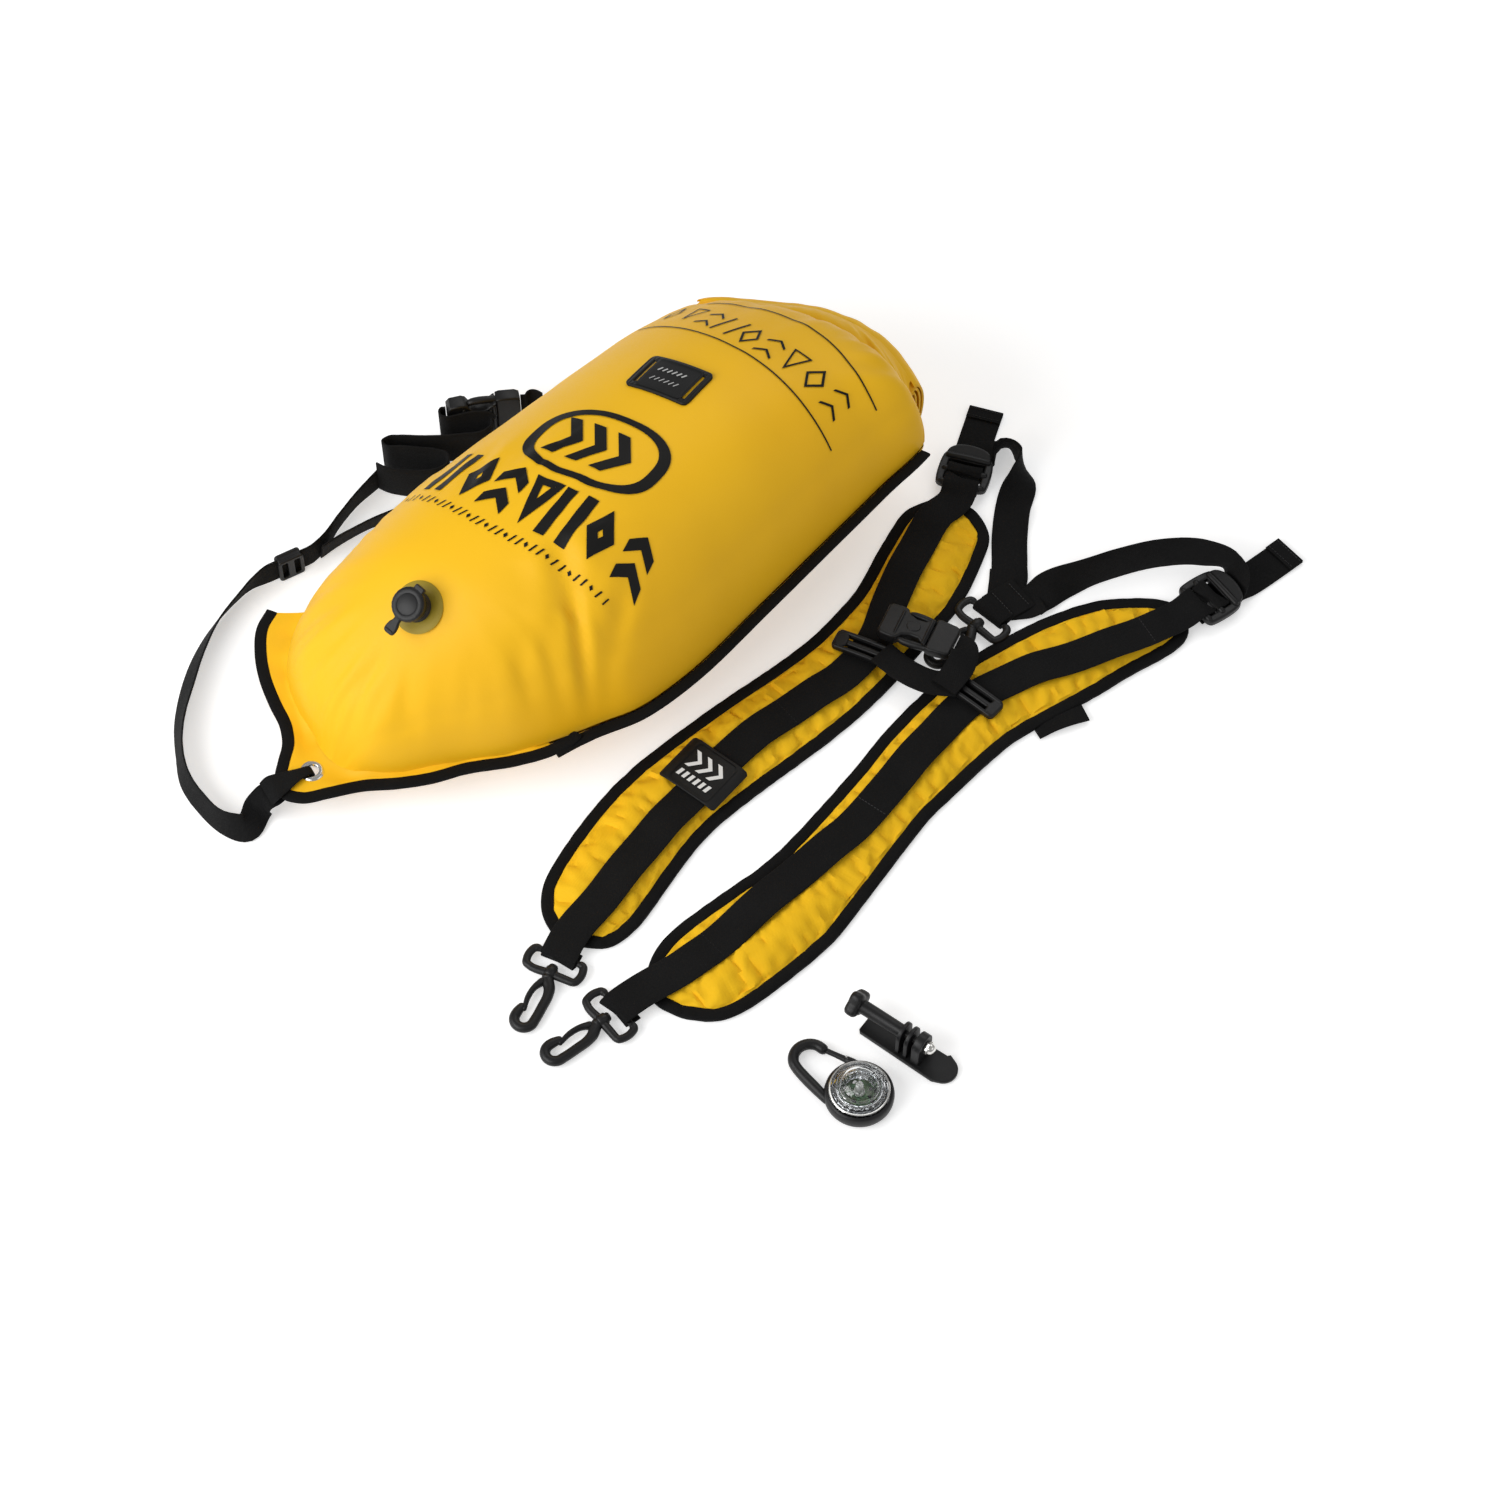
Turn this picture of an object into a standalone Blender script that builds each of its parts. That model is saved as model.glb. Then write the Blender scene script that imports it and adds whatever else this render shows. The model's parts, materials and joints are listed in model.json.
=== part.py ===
"""Open water swim buoy with its leash and waist belt, shoulder harness, safety light and camera mount.

Everything lies on a floor at z = 0, as it is laid out to be packed. The inflated bag lies along Y with
its nose towards -Y and its rolled mouth towards +Y, and the origin is on the floor under its middle.
"""

import math

import bmesh
import bpy
import numpy as np
from mathutils import Vector
from mathutils.bvhtree import BVHTree

# Fits between pieces
CLEARANCE = 0.0003
DRAPE = 0.0008
OVERRUN = 0.002

# The bag: lengths along it, its height and its welded shell
BAG_LENGTH = 0.500
BAG_HEIGHT = 0.165
SHELL = 0.0012
SEAM_HALF = 0.0012
NOSE_SEAM = 0.023
SHOULDER_SEAM = 0.033
FAR_SEAM = 0.052
MOUTH_SEAM = 0.052
TAB_THICKNESS = 0.0016
BINDING_WIDTH_SHARE = 0.017
BINDING_WIDTH = BINDING_WIDTH_SHARE * BAG_LENGTH
BINDING_THICKNESS = 0.0030

# The rolled mouth
ROLL_DEPTH_SHARE = 0.058
ROLL_DEPTH = ROLL_DEPTH_SHARE * BAG_LENGTH
ROLL_HEIGHT = 0.066
ROLL_PITCH = 0.0042
ROLL_WALL = 0.0022

# The lash patch on the bag
PATCH_LENGTH = 0.052
PATCH_WIDTH = 0.034
PATCH_THICKNESS = 0.0022
PATCH_CORNER = 0.006
PATCH_SLOT_LENGTH = 0.025
PATCH_SLOT_WIDTH = 0.0032

# The valve
FLANGE_RADIUS = 0.0165
FLANGE_THICKNESS = 0.0010
VALVE_RADIUS = 0.0098
VALVE_HEIGHT = 0.0125
VALVE_BORE = 0.0058
VALVE_STEM_RADIUS = 0.0076
VALVE_STEM_DEPTH = 0.0080
FLAP_THICKNESS = 0.0010
CAP_RADIUS = 0.0112
CAP_THICKNESS = 0.0034
PLUG_DEPTH = 0.0024
CAP_TAB_WIDTH = 0.0080
CAP_TAB_LENGTH = 0.0095
HINGE_RADIUS = 0.0014

# The eyelet
EYELET_BORE_SHARE = 0.0092
EYELET_BORE = EYELET_BORE_SHARE * BAG_LENGTH
EYELET_WALL = 0.0006
EYELET_FLANGE_SHARE = 0.016
EYELET_FLANGE = EYELET_FLANGE_SHARE * BAG_LENGTH
EYELET_RIM = 0.0009

# The leash and the waist belt
LEASH_WIDTH = 0.020
LEASH_IN_EYELET_SHARE = 0.0136
LEASH_IN_EYELET = LEASH_IN_EYELET_SHARE * BAG_LENGTH
LEASH_THICKNESS = 0.0013
BELT_WIDTH = 0.030
BELT_THICKNESS = 0.0015
BELT_BUCKLE_WIDTH = 0.038
SLIDER_LENGTH = 0.018
SLIDER_WALL = 0.0020
SLIDER_ROOM = 0.0008

# Side release buckles
BUCKLE_THICKNESS = 0.0110
STERNUM_BUCKLE_THICKNESS = 0.0090
BUCKLE_WALL = 0.0022
BUCKLE_BODY = 0.0345
BUCKLE_TAIL = 0.0175
BUCKLE_POCKET = 0.0230
BUCKLE_ARM = 0.0034
BUCKLE_BAR = 0.0045
BUCKLE_SLOT = 0.0042
BUCKLE_CORNER = 0.0030

# The harness
HARNESS_LENGTH = 0.500
WEBBING_WIDTH_SHARE = 0.05
WEBBING_WIDTH = WEBBING_WIDTH_SHARE * HARNESS_LENGTH
WEBBING_THICKNESS = 0.0015
STERNUM_WEBBING_SHARE = 0.04
STERNUM_WEBBING = STERNUM_WEBBING_SHARE * HARNESS_LENGTH
STERNUM_BUCKLE_WIDTH_SHARE = 0.054
STERNUM_BUCKLE_WIDTH = STERNUM_BUCKLE_WIDTH_SHARE * HARNESS_LENGTH
PAD_WIDTH_SHARE = 0.144
PAD_WIDTH = PAD_WIDTH_SHARE * HARNESS_LENGTH
PAD_EDGE = 0.0032
PAD_CROWN = 0.0090
PAD_BINDING_WIDTH_SHARE = 0.016
PAD_BINDING_WIDTH = PAD_BINDING_WIDTH_SHARE * HARNESS_LENGTH
PAD_BINDING_HEIGHT = 0.0040
LABEL_LENGTH_SHARE = 0.094
LABEL_LENGTH = LABEL_LENGTH_SHARE * HARNESS_LENGTH
LABEL_WIDTH_SHARE = 0.076
LABEL_WIDTH = LABEL_WIDTH_SHARE * HARNESS_LENGTH
LABEL_THICKNESS = 0.0016
LABEL_CORNER = 0.003
LOCK_WIDTH_SHARE = 0.064
LOCK_WIDTH = LOCK_WIDTH_SHARE * HARNESS_LENGTH
LOCK_LENGTH_SHARE = 0.056
LOCK_LENGTH = LOCK_LENGTH_SHARE * HARNESS_LENGTH
LOCK_THICKNESS = 0.0046
LOCK_BAR = 0.0040
LOCK_CORNER = 0.004
CLIP_LENGTH_SHARE = 0.08
CLIP_LENGTH = CLIP_LENGTH_SHARE * HARNESS_LENGTH
CLIP_WIDTH_SHARE = 0.03
CLIP_WIDTH = CLIP_WIDTH_SHARE * HARNESS_LENGTH
CLIP_THICKNESS = 0.0040
CLIP_CORNER = 0.002

# Swivel snap hooks
RING_WIDTH_SHARE = 0.072
RING_WIDTH = RING_WIDTH_SHARE * HARNESS_LENGTH
RING_DEPTH_SHARE = 0.026
RING_DEPTH = RING_DEPTH_SHARE * HARNESS_LENGTH
RING_BAR = 0.0019
RING_CORNER = 0.005
BOSS_RADIUS = 0.0036
BOSS_LENGTH = 0.0060
STEM_RADIUS = 0.0019
STEM_HEAD = 0.0031
STEM_HEAD_LENGTH = 0.0018
HOOK_LENGTH_SHARE = 0.092
HOOK_LENGTH = HOOK_LENGTH_SHARE * HARNESS_LENGTH
HOOK_WIDTH_SHARE = 0.034
HOOK_WIDTH = HOOK_WIDTH_SHARE * HARNESS_LENGTH
HOOK_BAR_SHARE = 0.005
HOOK_BAR = HOOK_BAR_SHARE * HARNESS_LENGTH
GATE_BAR_SHARE = 0.0026
GATE_BAR = GATE_BAR_SHARE * HARNESS_LENGTH

# The safety light
LIGHT_RADIUS = 0.0215
LIGHT_HEIGHT = 0.0100
LIGHT_WALL = 0.0016
LIGHT_LEDGE = 0.0060
LIGHT_SEAT = 0.0076
LOOP_REACH = 0.0400
LOOP_RADIUS = 0.0105
LOOP_BAR = 0.0033
LIGHT_GATE_BAR = 0.0019
LIGHT_PIN_RADIUS = 0.0008
DOME_SKIRT_RADIUS = 0.0195
DOME_STEP_RADIUS = 0.0165
DOME_RADIUS = 0.0135
DOME_TOP = 0.0250
DOME_WALL = 0.0012
DOME_TRAVEL = 0.0006
BOARD_RADIUS = 0.0150
BOARD_THICKNESS = 0.0012
LED_RADIUS = 0.0026
LED_HEIGHT = 0.0080
CELL_RADIUS = 0.0100
CELL_THICKNESS = 0.0032
COVER_RADIUS = 0.0120
COVER_THICKNESS = 0.0014
COIN_SLOT_WIDTH = 0.0016
COIN_SLOT_DEPTH = 0.0007

# The camera mount
PLATE_LENGTH = 0.069
PLATE_WIDTH = 0.019
PLATE_THICKNESS = 0.0028
PLATE_CORNER = 0.002
EAR_RADIUS = 0.0075
EAR_HEIGHT = 0.0175
PRONG_THICKNESS = 0.0028
PRONG_GAP = 0.0032
LUG_THICKNESS = 0.0060
SCREW_RADIUS = 0.0024
SLEEVE_RADIUS = 0.0046
SLEEVE_LENGTH = 0.0300
KNOB_RADIUS = 0.0098
KNOB_THICKNESS = 0.0095
NUT_RADIUS = 0.0042
NUT_LENGTH = 0.0056

# Levels that follow from the sizes above
PAD_TOP = PAD_CROWN + CLEARANCE + WEBBING_THICKNESS / 2
PAD_OVER_END = PAD_EDGE + 0.75 * (PAD_CROWN - PAD_EDGE) + WEBBING_THICKNESS / 2
RING_LEVEL = WEBBING_THICKNESS + 2.6 * CLEARANCE + RING_BAR
WRAP = RING_BAR + 1.6 * CLEARANCE + WEBBING_THICKNESS / 2
FLOOR_WEB = WEBBING_THICKNESS / 2 + CLEARANCE
CLIP_LEVEL = PAD_TOP + WEBBING_THICKNESS / 2 + CLEARANCE
STERNUM_LEVEL = CLIP_LEVEL + CLIP_THICKNESS + CLEARANCE + WEBBING_THICKNESS / 2
BUCKLE_LEVEL = STERNUM_LEVEL + WEBBING_THICKNESS / 2 + CLEARANCE
LOCK_LEVEL = 2 * WEBBING_THICKNESS + 6 * CLEARANCE

# The bag's rows from the front to the mouth, as shares of BAG_LENGTH for places and of BAG_HEIGHT
# for heights: left x, left y, right x, right y, bow at the middle, top and underside at the middle
BAG_ROW_SHARES = [
    (-0.068, -0.410, 0.012, -0.410, -0.012, 0.170, 0.110),
    (-0.124, -0.394, 0.052, -0.374, -0.008, 0.400, 0.080),
    (-0.174, -0.364, 0.100, -0.310, 0.000, 0.585, 0.040),
    (-0.206, -0.308, 0.148, -0.250, 0.000, 0.735, 0.000),
    (-0.218, -0.250, 0.178, -0.200, 0.000, 0.840, -0.060),
    (-0.228, -0.180, 0.206, -0.142, 0.000, 0.910, -0.120),
    (-0.234, -0.098, 0.230, -0.092, 0.000, 0.955, -0.180),
    (-0.232, -0.010, 0.2435, -0.016, 0.000, 0.985, -0.200),
    (-0.228, 0.120, 0.2455, 0.120, 0.000, 0.990, -0.200),
    (-0.228, 0.240, 0.2455, 0.240, 0.000, 0.970, -0.200),
    (-0.226, 0.340, 0.2455, 0.350, 0.004, 0.900, -0.150),
    (-0.222, 0.392, 0.2445, 0.440, 0.016, 0.790, 0.050),
    (-0.210, 0.402, 0.228, 0.452, 0.030, 0.700, 0.120),
    (-0.196, 0.407, 0.204, 0.457, 0.036, 0.620, 0.200),
]
CROWN_POWER_SHARE = 2.25
CROWN_ROUND_SHARE = 0.56
CREST_SHARE = 0.08

# Middle of the nose binding, as shares of BAG_LENGTH
NOSE_BINDING_SHARES = [
    (-0.262, -0.312), (-0.251, -0.339), (-0.223, -0.368), (-0.189, -0.391), (-0.148, -0.410),
    (-0.109, -0.425), (-0.086, -0.442), (-0.070, -0.464), (-0.054, -0.484), (-0.032, -0.496),
    (-0.012, -0.486), (0.008, -0.456), (0.032, -0.418), (0.064, -0.384), (0.094, -0.346),
    (0.114, -0.312), (0.160, -0.254), (0.184, -0.214), (0.190, -0.198),
]
# Where the tab and the side bindings begin and end along the bag
LEFT_TAB_END_SHARE = -0.268
RIGHT_TAB_END_SHARE = -0.208
RIGHT_BINDING_START_SHARE = -0.192
LEFT_BINDING_END_SHARE = 0.386
RIGHT_BINDING_END_SHARE = 0.436
# The seam's middle level is named above; this is how far it leans up to the right at the same places
SEAM_PLACE_SHARES = [-0.42, -0.14, 0.444, 0.481]
LEAN_SHARES = [0.0, 0.070, 0.300, 0.300]

# Places on the bag, as shares of BAG_LENGTH
EYELET_SHARE = (-0.032, -0.448)
VALVE_SHARE = (-0.006, -0.258)
PATCH_SHARE = (0.002, 0.196)
PATCH_TURN = 9.0
# Middle line of the roll: x, y and z
ROLL_SHARES = [
    (-0.184, 0.4348, 0.068), (-0.092, 0.4788, 0.092), (0.000, 0.5018, 0.130),
    (0.090, 0.5088, 0.143), (0.176, 0.4928, 0.136),
]

# The leash on the floor: x and y as shares of BAG_LENGTH, and its roll in degrees
LEASH_SHARES = [
    (-0.046, -0.556, 45), (-0.066, -0.572, 66), (-0.118, -0.574, 72), (-0.162, -0.563, 70),
    (-0.198, -0.540, 72), (-0.236, -0.506, 62), (-0.266, -0.468, 54), (-0.298, -0.418, 56),
    (-0.320, -0.366, 64), (-0.330, -0.322, 68), (-0.3335, -0.288, 76), (-0.3295, -0.262, 90),
    (-0.3250, -0.2465, 90), (-0.3160, -0.2155, 90), (-0.3115, -0.200, 90), (-0.3130, -0.176, 88),
    (-0.326, -0.134, 82), (-0.336, -0.092, 82), (-0.341, -0.0455, 90),
]
SLIDER_FROM_SHARE = (-0.3250, -0.2465)
SLIDER_TO_SHARE = (-0.3160, -0.2155)
SLIDER_PLACE_SHARE = 0.5
RETURN_SHARES = [
    (-0.304, -0.186, 76), (-0.302, -0.160, 74), (-0.297, -0.130, 72), (-0.291, -0.104, 72),
    (-0.282, -0.082, 76), (-0.272, -0.062, 84),
]
WAIST_BUCKLE_SHARE = (-0.306, 0.128)
WAIST_BUCKLE_TURN = 55.5
BELT_SHARES = [
    (-0.286, 0.121), (-0.273, 0.113), (-0.273, 0.096), (-0.290, 0.072), (-0.310, 0.048),
    (-0.332, 0.026), (-0.350, 0.010), (-0.361, -0.003), (-0.362, -0.014), (-0.352, -0.016),
    (-0.338, -0.004), (-0.318, 0.012), (-0.296, 0.028), (-0.280, 0.034), (-0.269, 0.024),
    (-0.272, 0.004), (-0.288, -0.016), (-0.308, -0.033), (-0.326, -0.043), (-0.3390, -0.0465),
]
# Folds of the belt at its buckle's two ends, along and beside the buckle, as shares of BELT_WIDTH
BELT_FOLD_SHARES = [(-1.00, 0.0), (-1.05, 0.09), (-1.02, 0.21), (-0.92, 0.275), (-0.60, 0.27), (-0.20, 0.27)]
BELT_END_SHARES = [(1.02, 0.0), (1.06, -0.06), (1.17, -0.11), (1.28, -0.07), (1.40, 0.04)]

# Middle lines of the pads and of the webbing on them, as shares of HARNESS_LENGTH
LEFT_PAD_SHARES = [
    (0.389, -0.357, 0.58), (0.380, -0.344, 0.78), (0.366, -0.322, 0.96), (0.352, -0.292, 1.03),
    (0.334, -0.220, 1.04), (0.322, -0.132, 1.01), (0.326, -0.044, 1.00), (0.334, 0.040, 1.00),
    (0.341, 0.108, 0.97), (0.342, 0.208, 0.92), (0.332, 0.286, 0.90), (0.314, 0.364, 0.99),
    (0.292, 0.426, 0.95), (0.278, 0.460, 0.76), (0.269, 0.480, 0.54),
]
RIGHT_PAD_SHARES = [
    (0.538, -0.348, 0.48), (0.535, -0.328, 0.80), (0.538, -0.300, 1.00), (0.542, -0.262, 1.08),
    (0.549, -0.190, 1.07), (0.550, -0.096, 0.96), (0.538, -0.004, 0.90), (0.526, 0.080, 0.87),
    (0.519, 0.164, 0.95), (0.516, 0.238, 0.97), (0.526, 0.312, 1.00), (0.545, 0.388, 1.01),
    (0.564, 0.454, 0.93), (0.593, 0.512, 0.76), (0.609, 0.540, 0.60), (0.618, 0.553, 0.46),
]
LEFT_WEB_SHARES = [
    (0.370, -0.312), (0.354, -0.222), (0.342, -0.116), (0.336, -0.024), (0.346, 0.090),
    (0.356, 0.168), (0.347, 0.238), (0.318, 0.300), (0.288, 0.378), (0.266, 0.450),
]
RIGHT_WEB_SHARES = [
    (0.518, -0.312), (0.524, -0.270), (0.526, -0.194), (0.528, -0.092), (0.531, -0.006),
    (0.522, 0.080), (0.511, 0.172), (0.507, 0.254), (0.526, 0.324), (0.556, 0.392),
    (0.586, 0.458), (0.609, 0.524),
]
# Hook rings and ladder locks: place as shares of HARNESS_LENGTH, and heading in degrees
LEFT_RING_SHARE = (0.388, -0.404)
LEFT_RING_HEADING = -71.0
RIGHT_RING_SHARE = (0.498, -0.406)
RIGHT_RING_HEADING = -98.0
BACK_RING_SHARE = (0.426, 0.384)
BACK_RING_HEADING = -92.0
LEFT_LOCK_SHARE = (0.240, 0.538)
LEFT_LOCK_HEADING = 118.0
RIGHT_LOCK_SHARE = (0.628, 0.612)
RIGHT_LOCK_HEADING = 79.0
LEFT_TAIL_SHARES = [(0.216, 0.583), (0.198, 0.618), (0.183, 0.648)]
RIGHT_TAIL_SHARES = [(0.640, 0.670), (0.647, 0.715), (0.652, 0.758)]
LEFT_STRAP_SHARES = [
    (0.240, 0.592, 5), (0.258, 0.608, 70), (0.284, 0.606, 86), (0.304, 0.588, 50),
    (0.320, 0.554, 0), (0.356, 0.504, 0), (0.388, 0.468, 0), (0.406, 0.446, 0), (0.408, 0.4366, 0),
]
RIGHT_STRAP_SHARES = [
    (0.632, 0.660, 40), (0.612, 0.672, 84), (0.574, 0.656, 80), (0.534, 0.616, 76),
    (0.502, 0.562, 74), (0.478, 0.508, 66), (0.460, 0.470, 34), (0.453, 0.447, 0), (0.452, 0.4366, 0),
]
YOKE_SHARES = [(0.398, 0.4335), (0.482, 0.4335), (0.464, 0.396), (0.402, 0.392)]
LABEL_SHARE = (0.331, -0.080)
LABEL_TURN = 5.0
LEFT_CLIP_SHARE = (0.348, 0.212)
LEFT_CLIP_TURN = 19.0
RIGHT_CLIP_SHARE = (0.508, 0.260)
RIGHT_CLIP_TURN = 3.0
STERNUM_BUCKLE_SHARE = (0.392, 0.276)
STERNUM_BUCKLE_TURN = 20.6
STERNUM_STRAP_SHARES = [(0.372, 0.222), (0.412, 0.222), (0.452, 0.232), (0.482, 0.254)]
STERNUM_LOOP_SHARES = [(0.456, 0.296), (0.468, 0.280), (0.472, 0.256), (0.474, 0.236)]
STERNUM_TAIL_SHARES = [(0.609, 0.286), (0.6142, 0.322), (0.628, 0.362)]

# The light and the camera mount: place as shares of HARNESS_LENGTH, and turn in degrees
LIGHT_SHARE = (0.804, -0.282)
LIGHT_TURN = 4.0
MOUNT_SHARE = (0.736, -0.196)
MOUNT_TURN = 8.0

# Steepest bend between two faces that are still shaded as one, in degrees
CREASE = 40.0

YELLOW = (0.93, 0.55, 0.03)
PAD_YELLOW = (0.83, 0.56, 0.03)
BLACK_CLOTH = (0.012, 0.012, 0.013)
BLACK_PLASTIC = (0.018, 0.018, 0.020)
RUBBER_BLACK = (0.014, 0.014, 0.014)
OLIVE = (0.42, 0.33, 0.04)
STEEL = (0.72, 0.72, 0.72)
CLEAR = (0.85, 0.87, 0.88)
BOARD_GREEN = (0.05, 0.20, 0.07)
LED_WHITE = (0.90, 0.90, 0.86)


def clear_scene():
    for obj in list(bpy.data.objects):
        bpy.data.objects.remove(obj)


def look(name, colour, roughness, metallic=0.0):
    made = bpy.data.materials.get(name)
    if made is None:
        made = bpy.data.materials.new(name)
        made.use_nodes = True
        shader = made.node_tree.nodes["Principled BSDF"]
        shader.inputs["Base Color"].default_value = (*colour, 1.0)
        shader.inputs["Roughness"].default_value = roughness
        shader.inputs["Metallic"].default_value = metallic
    return made


def cloth():
    return look("black_webbing", BLACK_CLOTH, 0.9)


def plastic():
    return look("black_plastic", BLACK_PLASTIC, 0.45)


def coated_yellow():
    return look("yellow_coated_fabric", YELLOW, 0.5)


def frame_at(name, place, heading, level=0.0, parent=None, roll=0.0):
    """An empty that carries the pieces of one assembly; it rolls about X and then heads about Z."""
    empty = bpy.data.objects.new(name, None)
    bpy.context.collection.objects.link(empty)
    empty.parent = parent
    empty.location = (place[0], place[1], level)
    empty.rotation_euler = (math.radians(roll), 0.0, math.radians(heading))
    return empty


def add(name, data, material, parent=None, at=(0.0, 0.0, 0.0), turn=(0.0, 0.0, 0.0)):
    obj = bpy.data.objects.new(name, data)
    bpy.context.collection.objects.link(obj)
    obj.parent = parent
    obj.location = at
    obj.rotation_euler = turn
    obj.data.materials.append(material)
    return obj


def solid(name, shape, material, parent=None, at=(0.0, 0.0, 0.0), turn=(0.0, 0.0, 0.0)):
    mesh = bpy.data.meshes.new(name)
    shape.to_mesh(mesh)
    shape.free()
    mesh.shade_smooth()
    mesh.set_sharp_from_angle(angle=math.radians(CREASE))
    return add(name, mesh, material, parent, at, turn)


def boolean(target, other, operation):
    other.hide_render = True
    other.display_type = "WIRE"
    step = target.modifiers.new(operation.lower(), "BOOLEAN")
    step.operation = operation
    step.solver = "EXACT"
    step.object = other


def scaled(places, size):
    return [(x * size, y * size) for x, y in places]


def spot(share, size):
    return (share[0] * size, share[1] * size)


def turned_by(heading):
    return Vector((math.cos(math.radians(heading)), math.sin(math.radians(heading))))


def smoothed(rows, parts):
    """Rows of numbers smoothed by a spline through them, with equally many parts between each two."""
    rows = np.array(rows, float)
    steps = np.linalg.norm(np.diff(rows[:, :3], axis=0), axis=1)
    slopes = np.diff(rows, axis=0) / steps[:, None]
    ways = np.vstack([slopes[:1], slopes[-1:]])
    before, after = steps[:-1, None], steps[1:, None]
    inner = (slopes[:-1] * after + slopes[1:] * before) / (before + after)
    ways = np.vstack([ways[:1], inner, ways[1:]])
    fine = []
    for i, step in enumerate(steps):
        for t in np.linspace(0, 1, parts, endpoint=False):
            fine.append(
                rows[i] * (2 * t**3 - 3 * t**2 + 1) + ways[i] * step * (t**3 - 2 * t**2 + t)
                + rows[i + 1] * (3 * t**2 - 2 * t**3) + ways[i + 1] * step * (t**3 - t**2)
            )
    fine.append(rows[-1])
    return np.array(fine)


def sampled(rows, count, flat=3):
    """Rows smoothed by a spline and evenly spaced by their first columns."""
    return spread_evenly(smoothed(rows, 12), count, flat)


def spread_evenly(rows, count, flat=3):
    rows = np.array(rows, float)
    steps = np.linalg.norm(np.diff(rows[:, :flat], axis=0), axis=1)
    along = np.concatenate([[0.0], np.cumsum(steps)])
    at = np.linspace(0.0, along[-1], count)
    return np.stack([np.interp(at, along, rows[:, k]) for k in range(rows.shape[1])], axis=1)


def side_steps(line, distance, closed=False):
    """A plan line moved to its left by a distance."""
    line = np.array(line, float)[:, :2]
    if closed:
        heading = np.roll(line, -1, axis=0) - np.roll(line, 1, axis=0)
    else:
        heading = np.gradient(line, axis=0)
    heading /= np.linalg.norm(heading, axis=1)[:, None]
    return line + distance * np.stack([-heading[:, 1], heading[:, 0]], axis=1)


def loft(sections, closed=False):
    """A closed body through sections of equally many points, with end faces unless it closes on itself."""
    shape = bmesh.new()
    rings = [[shape.verts.new(point) for point in section] for section in sections]
    count = len(rings[0])
    for i in range(len(rings) if closed else len(rings) - 1):
        near, far = rings[i], rings[(i + 1) % len(rings)]
        for j in range(count):
            k = (j + 1) % count
            shape.faces.new((near[j], near[k], far[k], far[j]))
    if not closed:
        shape.faces.new(rings[0][::-1])
        shape.faces.new(rings[-1])
    bmesh.ops.recalc_face_normals(shape, faces=shape.faces)
    return shape


def ring_points(radius, level, sides):
    return [
        (radius * math.cos(2 * math.pi * i / sides), radius * math.sin(2 * math.pi * i / sides), level)
        for i in range(sides)
    ]


def turned_solid(profile, sides=24):
    """A solid of revolution about Z through (radius, level) pairs."""
    return loft([ring_points(radius, level, sides) for radius, level in profile])


def turned_ring(profile, sides=24):
    """A ring of revolution about Z whose closed profile stays off the axis."""
    sections = []
    for i in range(sides):
        angle = 2 * math.pi * i / sides
        sections.append([(r * math.cos(angle), r * math.sin(angle), z) for r, z in profile])
    return loft(sections, closed=True)


def tube(path, radii, sides=8, closed=False):
    """A bar along a path; radii is one radius or one for each point."""
    path = [Vector(p) for p in path]
    radii = [radii] * len(path) if isinstance(radii, float) else radii
    sections = []
    side = None
    for i, point in enumerate(path):
        before = path[i - 1] if closed or i else path[0]
        after = path[(i + 1) % len(path)] if closed or i < len(path) - 1 else path[-1]
        heading = (after - before).normalized()
        if side is None:
            side = heading.orthogonal().normalized()
        side = (side - heading * side.dot(heading)).normalized()
        other = heading.cross(side)
        sections.append([
            point + radii[i] * (math.cos(2 * math.pi * k / sides) * side
                                + math.sin(2 * math.pi * k / sides) * other)
            for k in range(sides)
        ])
    return loft(sections, closed)


def box(name, low, high, parent, at=(0.0, 0.0, 0.0), turn=(0.0, 0.0, 0.0)):
    shape = bmesh.new()
    bmesh.ops.create_cube(shape, size=1.0)
    low, high = Vector(low), Vector(high)
    size = high - low
    bmesh.ops.scale(shape, vec=size, verts=shape.verts)
    bmesh.ops.translate(shape, vec=(low + high) / 2, verts=shape.verts)
    return solid(name, shape, plastic(), parent, at, turn)


def rounded_outline(length, width, corner, steps=3):
    """A rectangle centred on the origin with round corners."""
    points = []
    for quarter, (sx, sy) in enumerate(((1, 1), (-1, 1), (-1, -1), (1, -1))):
        cx, cy = sx * (length / 2 - corner), sy * (width / 2 - corner)
        for step in range(steps + 1):
            angle = math.pi / 2 * (quarter + step / steps)
            points.append((cx + corner * math.cos(angle), cy + corner * math.sin(angle)))
    return points


def moved(outline, dx, dy=0.0):
    return [(x + dx, y + dy) for x, y in outline]


def plate(name, outlines, low, high, material, parent=None, at=(0.0, 0.0, 0.0)):
    """A flat plate from low to high; the first outline is its edge and the others are holes."""
    shape = bmesh.new()
    edges = []
    for outline in outlines:
        verts = [shape.verts.new((x, y, low)) for x, y in outline]
        edges += [shape.edges.new((verts[i - 1], verts[i])) for i in range(len(verts))]
    bmesh.ops.triangle_fill(shape, use_beauty=True, edges=edges)
    raised = bmesh.ops.extrude_face_region(shape, geom=shape.faces[:])
    verts = [item for item in raised["geom"] if isinstance(item, bmesh.types.BMVert)]
    bmesh.ops.translate(shape, vec=(0.0, 0.0, high - low), verts=verts)
    bmesh.ops.recalc_face_normals(shape, faces=shape.faces)
    return solid(name, shape, material, parent, at)


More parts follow.
